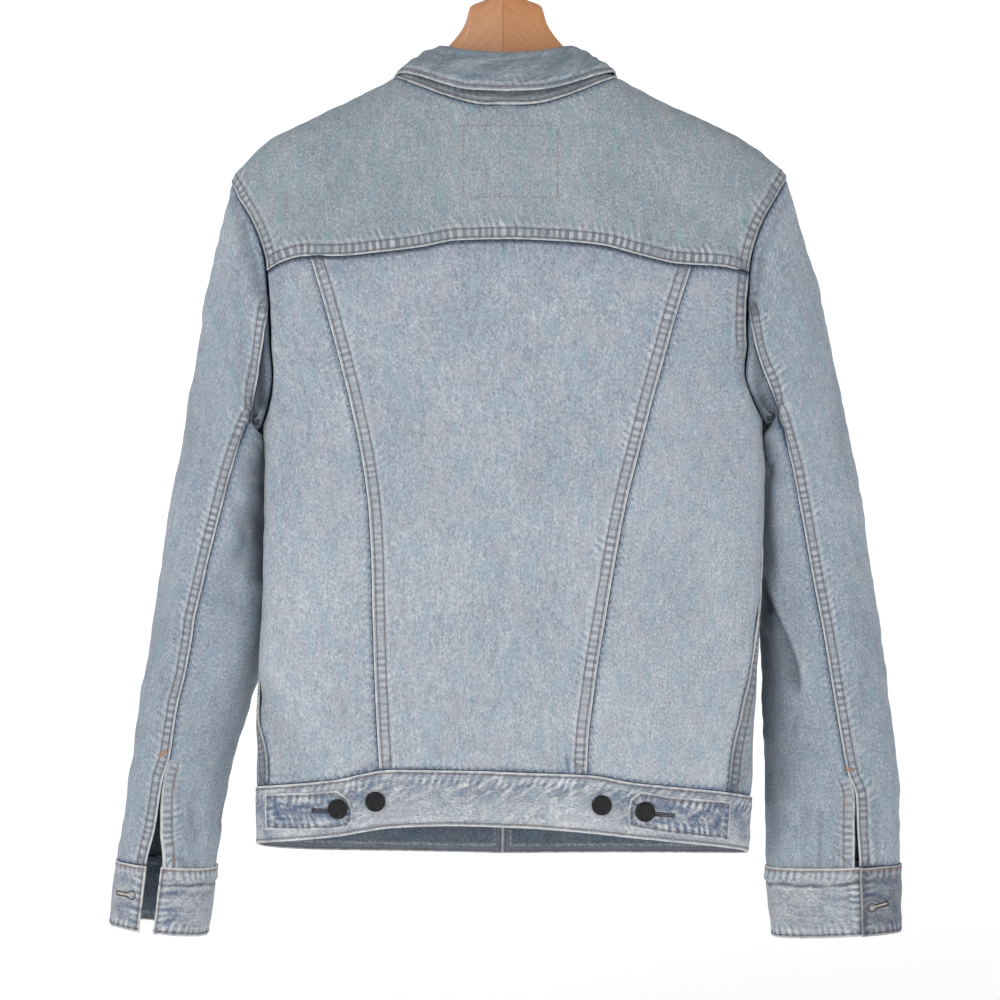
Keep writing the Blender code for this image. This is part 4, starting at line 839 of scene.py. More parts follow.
class Dress:
    """Heights and material values of a piece's points, from its own and its neighbours'
    folded edges."""

    def __init__(self, points, folds=(), nexts=(), grain=None, seed=0.0):
        shape = points.shape[:-1]
        self.own, self.next = np.full(shape, 1.0), np.full(shape, 1.0)
        self.phase, self.power = np.zeros(shape), np.zeros(shape)
        self.rows, self.width = np.full((*shape, 2), NO_ROW), np.zeros(shape)
        self.height, self.shade, self.shadow = np.zeros(shape), np.zeros(shape), np.zeros(shape)
        self.worn, self.blue, self.indigo = np.ones(shape), np.ones(shape), np.zeros(shape)
        self.grain, self.seed = grain, seed
        self.fields, self.near = [], []
        closest = np.full(shape, 1.0)
        puckers = np.zeros(shape)
        for fold in folds:
            d, run = seam_field(points, fold.line)
            self.add_fold(d, run, fold, closest, puckers)
        for line, line_seed in nexts:
            d, run = seam_field(points, line)
            self.add_next(d, run, line_seed, closest, puckers)
        self.height += puckers

    def add_fold(self, d, run, fold, closest, puckers):
        self.fields.append(d)
        mine = d < self.own
        self.own = np.where(mine, d, self.own)
        self.rows[mine] = fold.rows
        self.width = np.where(mine, fold.width, self.width)
        high = fold.high * (1 - smooth((d - fold.width) / FOLD_SLOPE))
        self.height = np.maximum(self.height, high)
        self.height -= EDGE_ROLL * (1 - smooth(d / EDGE_ROLL_WIDTH))
        self.height += fold.ridge * hump(d - fold.width - RIDGE_BESIDE, RIDGE_HALF)
        self.carry(d, run, fold.seed, closest, fold.power)
        reach = hump(d - fold.width * 0.5, fold.width * 0.6)
        puckers += fold.pucker * puckering(run, fold.seed) * reach

    def add_next(self, d, run, seed, closest, puckers):
        self.near.append(d)
        self.next = np.minimum(self.next, d)
        self.height -= SEAM_DIP * (1 - smooth(d / SEAM_DIP_WIDTH))
        self.carry(d, run, seed, closest)
        puckers += NEXT_PUCKER * puckering(run, seed) * np.exp(-d / NEXT_PUCKER_REACH)

    def carry(self, d, run, seed, closest, power=1.0):
        """Keep the phase of whichever edge is nearest."""
        near = d < closest
        closest[near] = d[near]
        self.phase[near] = phase_of(run, seed)[near]
        self.power[near] = power * strength(run, seed)[near]

    # Painted shade: a crease also paints the cloth darker where it sinks and lighter where it
    # rises.
    def crease(self, height, shade=30.0):
        self.height += height
        self.shade += height * shade

    def creases(self, x, z, rows):
        """Creases along lines, given as (x, z, x, z, width, height)."""
        for row in rows:
            self.crease(row[5] * trough(x, z, *row[:5]))

    # Painted shadow: how much of the dark shadow tone is laid over the cloth's colour.
    def paint_shadow(self, amount):
        self.shadow = np.maximum(self.shadow, amount)

    def stain(self, amount):
        self.indigo = np.maximum(self.indigo, amount)

    def fade(self, share):
        """Keep only a share of the folded edge's wear, puckers and stitch rows."""
        self.worn, self.power = self.worn * share, self.power * share
        self.rows[share < 0.5] = NO_ROW

    def values(self):
        grain = np.concatenate([self.grain, np.full((*self.own.shape, 1), self.seed)], axis=-1)
        seam = np.stack([self.own, self.next, self.phase], axis=-1)
        band = np.concatenate([self.rows, self.width[..., None]], axis=-1)
        tone = np.stack([self.power, self.shade, self.shadow], axis=-1)
        wear = np.stack([self.worn, self.blue, self.indigo], axis=-1)
        return {"grain": grain, "seam": seam, "band": band, "tone": tone, "wear": wear}


def arc_grain(points):
    """Grain places of a grid from its arc lengths across and down."""
    across = np.linalg.norm(np.diff(points, axis=1, prepend=points[:, :1]), axis=-1).cumsum(axis=1)
    down = np.linalg.norm(np.diff(points, axis=0, prepend=points[:1]), axis=-1).cumsum(axis=0)
    return np.stack([across, down], axis=-1)


# ---------------------------------------------------------------- shells
def add_object(name, data):
    made = bpy.data.objects.new(name, data)
    bpy.context.scene.collection.objects.link(made)
    return made


def tucked(grid, edges, drop=None):
    """The grid with one more line past each given edge, for what lies under a neighbour."""
    for edge in edges:
        turn = edge in ("left", "right")
        work = grid.swapaxes(0, 1) if turn else grid
        work = work[::-1] if edge in ("bottom", "right") else work
        first = work[0].copy()
        if drop is not None:
            lower = drop.swapaxes(0, 1) if turn else drop
            lower = lower[::-1] if edge in ("bottom", "right") else lower
            first += unit(work[0] - work[1]) * TUCK - lower[0] * TUCK_DROP
        work = np.concatenate([first[None], work])
        work = work[::-1] if edge in ("bottom", "right") else work
        grid = work.swapaxes(0, 1) if turn else work
        if drop is not None:
            drop = tucked(drop, [edge])
    return grid


def shell(node, base, normal, dress, kind, thick=SHELL, under=()):
    """A thin closed cloth piece over a grid, in the place of a node. It returns its outer
    points, for stitches."""
    outer = base + normal * dress.height[..., None]
    smooth_height = np.minimum(dress.height, FOLD_HIGH)
    inner = base + normal * (smooth_height - thick)[..., None]
    values = {key: tucked(value, under) for key, value in dress.values().items()}
    full_outer, full_inner = tucked(outer, under, normal), tucked(inner, under, normal)
    rows, columns = full_outer.shape[:2]
    count = rows * columns
    index = np.arange(count).reshape(rows, columns)
    a, b, c, d = index[:-1, :-1], index[:-1, 1:], index[1:, 1:], index[1:, :-1]
    i, j = rows // 2, columns // 2
    middle = full_outer[i, j]
    face = np.cross(full_outer[i, j + 1] - middle, full_outer[i + 1, j] - middle)
    order = slice(None, None, -1 if face @ (middle - full_inner[i, j]) < 0 else 1)
    front = np.stack([a, b, c, d], axis=-1).reshape(-1, 4)[:, order]
    back = front[:, ::-1] + count
    rim = []
    for line in (index[0], index[-1, ::-1], index[::-1, 0], index[:, -1]):
        rim.append(np.stack([line[:-1], line[:-1] + count, line[1:] + count, line[1:]], axis=-1))
    rim = np.concatenate(rim)[:, order]
    faces = np.concatenate([front, rim, back])
    points = np.concatenate([full_outer.reshape(-1, 3), full_inner.reshape(-1, 3)])
    mesh = make_mesh(node, points, faces)
    inside = np.zeros(len(faces), np.int32)
    inside[len(front) + len(rim) :] = 1
    mesh.polygons.foreach_set("material_index", inside)
    for key, value in values.items():
        both = np.concatenate([value.reshape(-1, 3)] * 2).astype(np.float32)
        mesh.attributes.new(key, "FLOAT_VECTOR", "POINT").data.foreach_set("vector", both.ravel())
    mesh.materials.append(denim(kind))
    mesh.materials.append(denim("inside"))
    piece = add_object(f"{node}_cloth", mesh)
    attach(piece, "root")
    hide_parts(node)
    return outer


def side_steps(x, z, points, width, reach):
    """Height of a fold's low side, 1 at its deepest: to the left of a line of points, with
    a rise as wide as width at the line, and fading away over the reach."""
    points = np.array(points)
    best, share = np.full(x.shape, FAR_AWAY), np.zeros(x.shape)
    length = line_length(points)
    for k, (a, b) in enumerate(zip(points, points[1:])):
        run = b - a
        t = ((x - a[0]) * run[0] + (z - a[1]) * run[1]) / (run @ run)
        inside = np.clip(t, 0, 1)
        away_x, away_z = x - a[0] - inside * run[0], z - a[1] - inside * run[1]
        away = np.hypot(away_x, away_z)
        left = run[0] * away_z - run[1] * away_x > 0
        signed = np.where(left, away, -away)
        closer = away < np.abs(best)
        best = np.where(closer, signed, best)
        share = np.where(closer, (length[k] + inside * np.linalg.norm(run)) / length[-1], share)
    ends = smooth(share / 0.2) * smooth((1 - share) / 0.2)
    return smooth(best / width) * np.exp(-np.maximum(best, 0) / reach) * ends


def make_mesh(name, points, faces):
    mesh = bpy.data.meshes.new(name)
    mesh.vertices.add(len(points))
    mesh.vertices.foreach_set("co", points.astype(np.float32).ravel())
    size = faces.shape[1]
    mesh.loops.add(len(faces) * size)
    mesh.loops.foreach_set("vertex_index", faces.astype(np.int32).ravel())
    mesh.polygons.add(len(faces))
    mesh.polygons.foreach_set("loop_start", np.arange(0, len(faces) * size, size, dtype=np.int32))
    mesh.polygons.foreach_set("use_smooth", np.ones(len(faces), bool))
    mesh.update()
    mesh.validate()
    mesh.set_sharp_from_angle(angle=math.radians(60))
    return mesh


# ---------------------------------------------------------------- stitches
THREADS = {
    "tonal": (112, 101, 105),
    "tan": (176, 134, 98),
    "cream": (216, 208, 190),
    "dark": (58, 46, 44),
    "label": (154, 124, 100),
    "brown": (60, 47, 42),
    # hole: near-black stitches in a buttonhole's slit, painted shade of the opening.
    "hole": (24, 24, 28),
}
STITCHES = {thread: [] for thread in THREADS}
STITCH_PITCH = 0.0031
STITCH_LENGTH = 0.0023
STITCH_WIDTH = 0.00058
STITCH_LIFT = 0.00012
BEAD_SIDES = 5
BEAD_RINGS = ((-0.34, 0.46), (0.34, 0.46))
HEADING_STEP = 0.0012


def contour(points, normal, field, value, along="rows", far=False):
    """Points and normals where a distance field passes a value, one on each grid line."""
    if along == "columns":
        points, normal, field = points.swapaxes(0, 1), normal.swapaxes(0, 1), field.T
    if far:
        points, normal, field = points[:, ::-1], normal[:, ::-1], field[:, ::-1]
    over = field - value
    crossing = (over[:, :-1] <= 0) & (over[:, 1:] > 0)
    lines = np.nonzero(crossing.any(axis=1))[0]
    j = crossing[lines].argmax(axis=1)
    t = (-over[lines, j] / (over[lines, j + 1] - over[lines, j]))[:, None]
    where = points[lines, j] * (1 - t) + points[lines, j + 1] * t
    return where, unit(normal[lines, j] * (1 - t) + normal[lines, j + 1] * t)


def sew(thread, line, pitch=STITCH_PITCH, length=STITCH_LENGTH, width=STITCH_WIDTH, trim=(0, 0)):
    """Stitches along a line of points with normals."""
    points, normals = line
    if len(points) < 2:
        return
    run = line_length(points)
    at = np.arange(trim[0] + pitch / 2, run[-1] - trim[1], pitch)
    if not len(at):
        return
    where = read_along(at, run, points)
    ahead = read_along(at + HEADING_STEP, run, points)
    behind = read_along(at - HEADING_STEP, run, points)
    facing = unit(read_along(at, run, normals))
    size = np.broadcast_to(np.array([length, width]), (len(at), 2))
    STITCHES[thread].append((where, unit(ahead - behind + 1e-9), facing, size))


def stitch_objects():
    """One joined mesh for each thread: a small rounded bead for every stitch."""
    turn = np.linspace(0, FULL_TURN, BEAD_SIDES, endpoint=False)
    template = [(-0.5, 0.0, 0.0)]
    for x, r in BEAD_RINGS:
        template += [(x, r * c, r * s) for c, s in zip(np.cos(turn), np.sin(turn))]
    template = np.array([*template, (0.5, 0.0, 0.0)])
    tip, faces = len(template) - 1, []
    for k in range(BEAD_SIDES):
        a, b = 1 + k, 1 + (k + 1) % BEAD_SIDES
        c, d = a + BEAD_SIDES, b + BEAD_SIDES
        faces += [(0, b, a), (a, b, c), (b, d, c), (c, d, tip)]
    faces = np.array(faces)
    for thread, groups in STITCHES.items():
        if not groups:
            continue
        where, run, facing, size = (np.concatenate(part) for part in zip(*groups))
        aside = unit(np.cross(facing, run))
        facing = np.cross(run, aside)
        length, width = size[:, 0][:, None, None], size[:, 1][:, None, None]
        points = where[:, None] + facing[:, None] * STITCH_LIFT
        points = points + run[:, None] * template[None, :, 0, None] * length
        points = points + aside[:, None] * template[None, :, 1, None] * width
        points = points + facing[:, None] * template[None, :, 2, None] * width
        starts = np.arange(len(where))[:, None, None] * len(template)
        all_faces = (faces[None] + starts).reshape(-1, 3)
        mesh = make_mesh(f"stitches_{thread}", points.reshape(-1, 3), all_faces)
        mesh.materials.append(thread_material(thread))
        piece = add_object(f"stitches_{thread}", mesh)
        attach(piece, "root")


# ---------------------------------------------------------------- materials
def srgb(*values):
    """A colour given as sRGB from 0 to 255, for a material."""
    linear = (((v / 255 + 0.055) / 1.055) ** 2.4 if v > 10 else v / 255 / 12.92 for v in values)
    return (*linear, 1.0)


class Graph:
    """Short words for building one material's nodes."""

    def __init__(self, name):
        self.material = bpy.data.materials.new(name)
        self.material.use_nodes = True
        self.tree = self.material.node_tree
        self.shader = self.tree.nodes["Principled BSDF"]

    def put(self, kind, inputs=(), **settings):
        node = self.tree.nodes.new("ShaderNode" + kind)
        for key, value in settings.items():
            setattr(node, key, value)
        for key, value in dict(inputs).items():
            self.feed(node.inputs[key], value)
        return node

    def feed(self, socket, value):
        if isinstance(value, bpy.types.NodeSocket):
            self.tree.links.new(value, socket)
        else:
            socket.default_value = value

    def math(self, operation, *values):
        return self.put("Math", dict(enumerate(values)), operation=operation).outputs[0]

    def chain(self, operation, values):
        total = values[0]
        for value in values[1:]:
            total = self.math(operation, total, value)
        return total

    def add(self, *values):
        return self.chain("ADD", values)

    def times(self, *values):
        return self.chain("MULTIPLY", values)

    def less(self, a, b):
        return self.math("SUBTRACT", a, b)

    def sine(self, turns):
        return self.math("SINE", self.times(turns, FULL_TURN))

    def smooth(self, value, low, high, start=0.0, stop=1.0):
        """From start to stop with flat ends, as value goes from low to high."""
        names = ("Value", "From Min", "From Max", "To Min", "To Max")
        inputs = dict(zip(names, (value, low, high, start, stop)))
        return self.put("MapRange", inputs, interpolation_type="SMOOTHSTEP").outputs["Result"]

    def split(self, attribute):
        vector = self.put("Attribute", attribute_name=attribute).outputs["Vector"]
        parts = self.put("SeparateXYZ", {0: vector})
        return [parts.outputs[k] for k in range(3)]

    def join(self, x, y, z):
        return self.put("CombineXYZ", {0: x, 1: y, 2: z}).outputs[0]

    def position(self, scale):
        """The place of a point, times a scale."""
        place = self.put("NewGeometry").outputs["Position"]
        inputs = {0: place, 1: (scale,) * 3}
        return self.put("VectorMath", inputs, operation="MULTIPLY").outputs[0]

    def noise(self, vector, detail=2.0, rough=0.5):
        inputs = {"Vector": vector, "Scale": 1.0, "Detail": detail, "Roughness": rough}
        return self.put("TexNoise", inputs).outputs["Fac"]

    def mix(self, factor, a, b):
        node = self.put("Mix", {0: factor, 6: a, 7: b}, data_type="RGBA")
        return node.outputs[2]

    def hill(self, value, centre, half):
        """1 at a centre value, 0 past half a width from it."""
        away = self.math("ABSOLUTE", self.less(value, centre))
        return self.smooth(away, half * 0.25, half, 1.0, 0.0)

    def look(self, inputs):
        """Feed the shader's own inputs, and hand back the material."""
        for key, value in inputs.items():
            self.feed(self.shader.inputs[key], value)
        return self.material


# Mean, dark and light colours of each kind of denim, as sRGB, and how mottled it is.
DENIMS = {
    "yoke": ((141, 150, 157), (98, 109, 122), (186, 192, 197), 0.9),
    "panel": ((156, 164, 174), (110, 122, 138), (200, 205, 210), 0.9),
    "sleeve": ((144, 154, 165), (98, 112, 129), (190, 196, 203), 0.9),
    "band": ((158, 163, 170), (100, 114, 136), (208, 210, 212), 1.25),
    "tab": ((124, 133, 147), (68, 86, 114), (200, 203, 205), 1.2),
    "cuff": ((152, 157, 164), (92, 108, 132), (202, 205, 207), 0.9),
    "collar": ((125, 135, 144), (80, 93, 108), (168, 176, 182), 1.0),
    "inside": ((98, 109, 122), (66, 78, 92), (134, 144, 154), 0.8),
}
ROPED = ("band",)
# Rungs along a band's edges: distances where they start, are full, fade and end, and their
# slant and amount.
EDGE_RUNGS = {
    "band": (0.0030, 0.0060, 0.0095, 0.0155, 62.0, 0.46),
    "tab": (0.0010, 0.0028, 0.0060, 0.0115, 24.0, 0.44),
    "cuff": (0.0012, 0.0028, 0.0080, 0.0120, 10.0, 0.34),
}
# Colours laid over the weave, as sRGB.
TONES = {
    "band": (164, 162, 165),
    "ridge": (198, 203, 207),
    "row": (100, 92, 98),
    "worn": (214, 214, 211),
    "beside": (80, 98, 120),
    "seam": (43, 54, 70),
    "indigo": (66, 84, 116),
    "shadow": (26, 33, 47),
    "blotch": (74, 94, 126),
    "bare": (208, 210, 210),
}
BLOTCH_SHARE = {"tab": 0.50, "cuff": 0.14}
ROW_HALF = 0.0013
LEAN = 75.0
MADE = {}


def denim(kind):
    """Washed denim: fine slubby weave, white worn edges, indigo in the hollows, painted shade and
    shadow.
    """
    if kind in MADE:
        return MADE[kind]
    mean, dark, light, mottled = DENIMS[kind]
    g = Graph(f"denim_{kind}")
    u, v, seed = g.split("grain")
    own, neighbour, phase = g.split("seam")
    row_a, row_b, width = g.split("band")
    power, shade, shadow = g.split("tone")
    worn_here, blue_here, indigo = g.split("wear")
    u = g.add(u, g.times(seed, 0.37))

    def scaled(a, b, shear=0.0):
        across = g.add(g.times(u, a), g.times(v, shear))
        return g.join(across, g.times(v, b), seed)

    streak = g.noise(scaled(1100, 520), 2.0, 0.6)
    fleck = g.noise(scaled(760, 400, 240), 3.0, 0.75)
    slub = g.noise(scaled(480, 60), 2.0, 0.55)
    patchy = g.noise(scaled(150, 70), 2.0, 0.6)
    cloud = g.noise(scaled(14, 9), 3.0, 0.55)
    value = 0.5
    for texture, amount in (
        (streak, 0.85),
        (fleck, 1.8),
        (slub, 0.40),
        (patchy, 0.34 * mottled),
        (cloud, 0.42 * mottled),
    ):
        value = g.add(value, g.times(g.less(texture, 0.5), amount))

    def between(distance, start, full, fading, end):
        """1 from full to fading, and 0 before start and past end."""
        return g.times(g.smooth(distance, start, full), g.smooth(distance, fading, end, 1.0, 0.0))

    past = g.less(own, width)
    wave = g.sine(phase)
    lean = g.sine(g.add(phase, g.times(past, LEAN)))
    lean_next = g.sine(g.add(phase, g.times(neighbour, -LEAN)))
    on_band = g.times(g.smooth(own, 0.0008, 0.0030), g.smooth(past, -0.0010, 0.0006, 1.0, 0.0))
    outside = between(past, -0.0004, 0.0010, 0.002, 0.013)
    outside = g.times(outside, g.smooth(patchy, 0.38, 0.60))
    beside = between(neighbour, 0.0005, 0.0022, 0.002, 0.011)
    uneven = g.smooth(patchy, 0.34, 0.60, 0.45, 1.20)
    rungs = g.times(g.smooth(wave, -0.75, 0.45, -0.85, 0.50), on_band, uneven)
    pucker = g.add(
        g.times(rungs, power),
        g.times(lean, outside, power, 0.40),
        g.times(lean_next, beside, power, 0.34),
    )
    # The puckers, and the painted crease shade from the tone.
    value = g.add(value, g.times(pucker, 0.78), shade)

    rope = None
    if kind in EDGE_RUNGS:
        *reach, slant, amount = EDGE_RUNGS[kind]
        edge_rungs = g.sine(g.add(phase, g.times(own, slant)))
        value = g.add(value, g.times(edge_rungs, between(own, *reach), power, amount))
    if kind in ROPED:
        rising = g.add(u, g.times(v, -0.52))
        twist = g.noise(g.join(g.times(rising, 215.0), g.times(v, 78.0), seed), 3.0, 0.5)
        rope = g.times(g.smooth(twist, 0.40, 0.68, -0.75, 1.0), blue_here)
        value = g.add(value, g.times(rope, 0.27 * mottled))

    ramp = g.put("ValToRGB", {0: value})
    stops = ramp.color_ramp.elements
    stops[0].position, stops[0].color = 0.0, srgb(*dark)
    stops[1].position, stops[1].color = 1.0, srgb(*light)
    stops.new(0.5).color = srgb(*mean)
    colour = ramp.outputs["Color"]

    def laid(factor, tone):
        """The colour so far, with one of the tones over it."""
        return g.mix(factor, colour, srgb(*TONES[tone]))

    tint = g.noise(scaled(75, 55), 2.0, 0.5)
    for stop, change in ((0.70, (12, 4, 2)), (0.32, (-12, 1, 4))):
        tinted = srgb(*[c + more for c, more in zip(mean, change)])
        colour = g.mix(g.smooth(tint, 0.50, stop, 0.0, 0.40), colour, tinted)
    if kind in BLOTCH_SHARE:
        blotch, share = g.noise(scaled(170, 100, 60), 2.0, 0.55), BLOTCH_SHARE[kind]
        colour = laid(g.smooth(blotch, 0.54, 0.66, 0.0, share), "blotch")
        colour = laid(g.smooth(blotch, 0.45, 0.34, 0.0, share), "bare")
    rough_edge = g.noise(scaled(420, 420), 2.0, 0.6)
    along_edge = g.noise(g.join(g.times(phase, 0.8), g.times(own, 60.0), seed), 2.0, 0.6)
    colour = laid(g.times(on_band, 0.30, worn_here), "band")
    uneven = g.smooth(rough_edge, 0.35, 0.65, 0.05, 0.45)
    colour = laid(g.times(g.hill(past, 0.0022, 0.0020), uneven, worn_here), "ridge")
    rows = [g.hill(g.less(own, row), 0.0, ROW_HALF) for row in (row_a, row_b)]
    for row in rows:
        colour = laid(g.times(row, 0.47), "row")
    uneven = g.smooth(along_edge, 0.30, 0.62, 0.35, 0.85)
    colour = laid(g.times(g.smooth(own, 0.0004, 0.0017, 1.0, 0.0), uneven, worn_here), "worn")
    leaning = g.add(neighbour, g.times(lean_next, power, -0.0020))
    uneven = g.smooth(rough_edge, 0.28, 0.62, 0.30, 0.85)
    blue = g.smooth(leaning, 0.0008, 0.0042, 1.0, 0.0)
    colour = laid(g.times(blue, uneven, blue_here), "beside")
    colour = laid(g.times(g.smooth(neighbour, 0.0002, 0.0014, 0.8, 0.0), blue_here), "seam")
    colour = laid(g.times(indigo, g.smooth(rough_edge, 0.30, 0.60, 0.25, 1.0)), "indigo")
    # Painted shadow, laid over all the rest.
    colour = laid(shadow, "shadow")

    weave = g.add(g.times(fleck, 0.35), g.times(streak, 0.35))
    height = g.add(weave, g.times(pucker, 1.1), g.times(g.add(*rows), -0.6))
    if rope is not None:
        height = g.add(height, g.times(rope, 0.5))
    bump = g.put("Bump", {"Height": height, "Strength": 0.7, "Distance": 0.0004})
    MADE[kind] = g.look({
        "Base Color": colour,
        "Normal": bump.outputs["Normal"],
        "Roughness": 0.92,
        "Specular IOR Level": 0.12,
        "Sheen Weight": 0.05,
        "Sheen Roughness": 0.5,
    })
    return MADE[kind]


def thread_material(thread):
    g = Graph(f"thread_{thread}")
    fade = g.noise(g.position(240.0), 2.0, 0.6)
    light = [min(255, int(c * 1.14)) for c in THREADS[thread]]
    dim = [int(c * 0.82) for c in THREADS[thread]]
    colour = g.mix(g.smooth(fade, 0.3, 0.7), srgb(*dim), srgb(*light))
    return g.look({"Base Color": colour, "Roughness": 0.8})


# ---------------------------------------------------------------- body panels
AROUND_S = np.linspace(-2, 2, 801)
AROUND_Z = -0.5
AROUND = line_length(body_base(AROUND_S, np.full_like(AROUND_S, AROUND_Z)))


def body_grain(sz):
    """Grain places of a body panel: the way around the body, and the height."""
    return pairs(np.interp(sz[..., 0], AROUND_S, AROUND), sz[..., 1])


def seam_line(seam):
    return body(*seam)[0]


def arm_line(side):
    return seam_line(armhole(side, np.linspace(-180, 180, 300)))


def v_heights(side, count, past=0.0):
    """Heights down a V seam, past the yoke's edge and the waistband's at its ends."""
    top = float(along(YOKE_SEAM, "z", v_top(side)))
    return np.linspace(top + past, meets_waistband(v_seam, side) - past, count)


def v_line(side):
    return seam_line(v_seam(side, v_heights(side, 300, 0.004)))


def side_edge(side, count, past=0.0):
    """(s, z) down a side seam, from the armhole to the waistband or past it."""
    bottom = meets_waistband(side_seam, side) - past
    return side_seam(side, np.linspace(ARMHOLES[side]["bottom"], bottom, count))


def side_line(side):
    return seam_line(side_edge(side, 240, 0.003))


def yoke_line():
    return seam_line(yoke_seam(np.linspace(-0.207, 0.209, 400)))


def waist_line():
    s = np.linspace(-2, 2, 700)
    return seam_line((s, along(WAISTBAND, "top", s)))


def waist_edge(start, stop, count):
    """(s, z) along the waistband's upper edge."""
    s = np.linspace(start, stop, count)
    return pairs(s, along(WAISTBAND, "top", s))


def shoulder_flat(side):
    """The shoulder seam's straight line in (x, w), from the armhole to the neck."""
    start = pairs(*shoulder_place(*armhole(side, shoulder_angle(side))))
    corner = pairs(*neckline(side * NECK_CORNER))
    return start + np.linspace(0, 1, 60)[:, None] * (corner - start)


def shoulder_line(side):
    flat = shoulder_flat(side)
    return seam_line(over_shoulder(flat[:, 0], flat[:, 1]))


def neck_line(start, stop):
    return seam_line(over_shoulder(*neckline(np.linspace(start, stop, 200))))


SEEDS = {
    "yoke": 1.3, "v": 2.1, "arm": 3.4, "side": 4.2, "waist": 5.6, "neck": 6.1, "shoulder": 7.0,
}
RIGHT_SEED = 9.0


def side_seed(name, side):
    return SEEDS[name] + (RIGHT_SEED if side == RIGHT else 0.0)


def sewn_rows(points, normal, field, rows, lines, far=False, thread="tonal", trim=(0.0, 0.0)):
    """Stitches wherever a distance field passes one of the rows."""
    for row in rows:
        sew(thread, contour(points, normal, field, row, lines, far), trim=trim)


def panel_layout(side, top, bottom, first, last, leads, steps):
    """(s, z) of a side panel's fine grid, whose columns run the same way on both sides."""
    if side == LEFT:
        top, bottom, first, last, leads = top[::-1], bottom[::-1], last, first, leads[::-1]
    edges = [Edge(edge) for edge in (top, bottom, first, last)]
    return layout(edges, (TUCKED, TUCKED, *leads), steps)


def yoke_end(side):
    """x at which the yoke's seam meets the armhole."""
    return float(body_base(*armhole(side, yoke_angle(side)))[0])


def back_yoke():
    top = np.concatenate([
        shoulder_flat(LEFT),
        pairs(*neckline(np.linspace(-NECK_CORNER, NECK_CORNER, 160)))[1:-1],
        shoulder_flat(RIGHT)[::-1],
    ])
    arms = {}
    for side in (LEFT, RIGHT):
        turn = np.linspace(shoulder_angle(side), yoke_angle(side), 200)
        arms[side] = pairs(*shoulder_place(*armhole(side, turn)))
    foot = [yoke_end(side) for side in (LEFT, RIGHT)]
    bottom = pairs(*shoulder_place(*yoke_seam(np.linspace(*foot, 300))))
    bottom[0], bottom[-1] = arms[LEFT][-1], arms[RIGHT][-1]
    top[0], top[-1] = arms[LEFT][0], arms[RIGHT][0]
    edges = [Edge(edge, over_shoulder) for edge in (top, bottom, arms[LEFT], arms[RIGHT])]
    sz = layout(edges, (TUCKED, FOLDED, FOLDED, FOLDED), YOKE_STEPS, over_shoulder)
    base, normal = body(sz[..., 0], sz[..., 1])
    steps = np.linalg.norm(np.diff(base[::-1], axis=0, prepend=base[-1:]), axis=-1)
    grain = pairs(base[..., 0], -steps.cumsum(axis=0)[::-1])
    folds = [Fold(yoke_line(), YOKE_BAND, YOKE_ROWS, SEEDS["yoke"], power=1.7)]
    for side in (LEFT, RIGHT):
        folds.append(Fold(arm_line(side), ARM_BAND, ARM_ROWS, side_seed("arm", side)))
    for side in (LEFT, RIGHT):
        line = shoulder_line(side)
        folds.append(Fold(line, SHOULDER_BAND, SHOULDER_ROWS, SEEDS["shoulder"]))
    nexts = [(neck_line(-NECK_CORNER, NECK_CORNER), SEEDS["neck"])]
    dress = Dress(base, folds, nexts, grain, 0.13)
    x, z = base[..., 0], base[..., 2]
    dress.crease(0.0005 * crinkle(x, z, 0.045, 11))
    dress.crease(0.0004 * crinkle(x, z, 0.018, 12))
    dress.creases(x, z, YOKE_CREASES)
    stains(dress, x, z, PANEL_STAINS["yoke"], to_back(normal))
    dress.worn *= 0.8
    dress.shade -= 0.13 * (1 - smooth((dress.fields[0] - 0.0085) / 0.001))
    outer = shell("back_yoke", base, normal, dress, "yoke",
                  under=("top",))
    sewn_rows(outer, normal, dress.fields[0], YOKE_ROWS, "columns", far=True)
    sewn_rows(outer, normal, dress.fields[1], ARM_ROWS, "rows")
    sewn_rows(outer, normal, dress.fields[2], ARM_ROWS, "rows", far=True)
    corners = np.array(LABEL_CORNERS)
    for a, b in zip(corners, np.roll(corners, -1, axis=0)):
        line = a + np.linspace(0, 1, 40)[:, None] * (b - a)
        place, facing = on_back(line, outer, normal)
        sew("label", (place + facing * 0.0002, facing), pitch=0.0034, length=0.0021, width=0.00052)


def to_back(normal):
    """1 where the cloth faces the back, and 0 where it faces forward."""
    return smooth(-normal[..., 1] / 0.3)


def under_yoke(dress):
    """Painted shadow in a thin line below the yoke's edge, and the bluer cloth beside it."""
    dress.paint_shadow(0.6 * hump(np.maximum(dress.near[0] - 0.0016, 0), 0.0018))
    dress.stain(0.24 * hump(dress.near[0], 0.014))


def painted_light_toward_hem(dress, z):
    """Painted light: the body's cloth is painted a little lighter toward its hem."""
    dress.shade -= 0.42 * (z + 0.47)


DARKEST_OUTSIDE = 0.43


def painted_shadow_troughs(dress, x, z, rows, facing, deep):
    """Soft troughs (x, z, x, z, width, depth, darkness) with painted shadow in them, where
    the cloth faces the back. The darkest shadows lie on the under sleeve only."""
    for row in rows:
        if row[6] > DARKEST_OUTSIDE and not deep:
            continue
        share = trough(x, z, *row[:5]) * facing
        dress.crease(row[5] * share, 0.0)
        dress.paint_shadow(row[6] * share)


def stains(dress, x, z, rows, facing=1.0):
    """Patches of darker indigo (x, z, x, z, width, amount), where the cloth faces the back."""
    for row in rows:
        dress.stain(row[5] * trough(x, z, *row[:5]) * facing)


# The stitched rectangle of what is sewn on inside the yoke.
LABEL_CORNERS = ((-0.0358, -0.1807), (0.0431, -0.1807), (0.0431, -0.2405), (-0.0358, -0.2405))
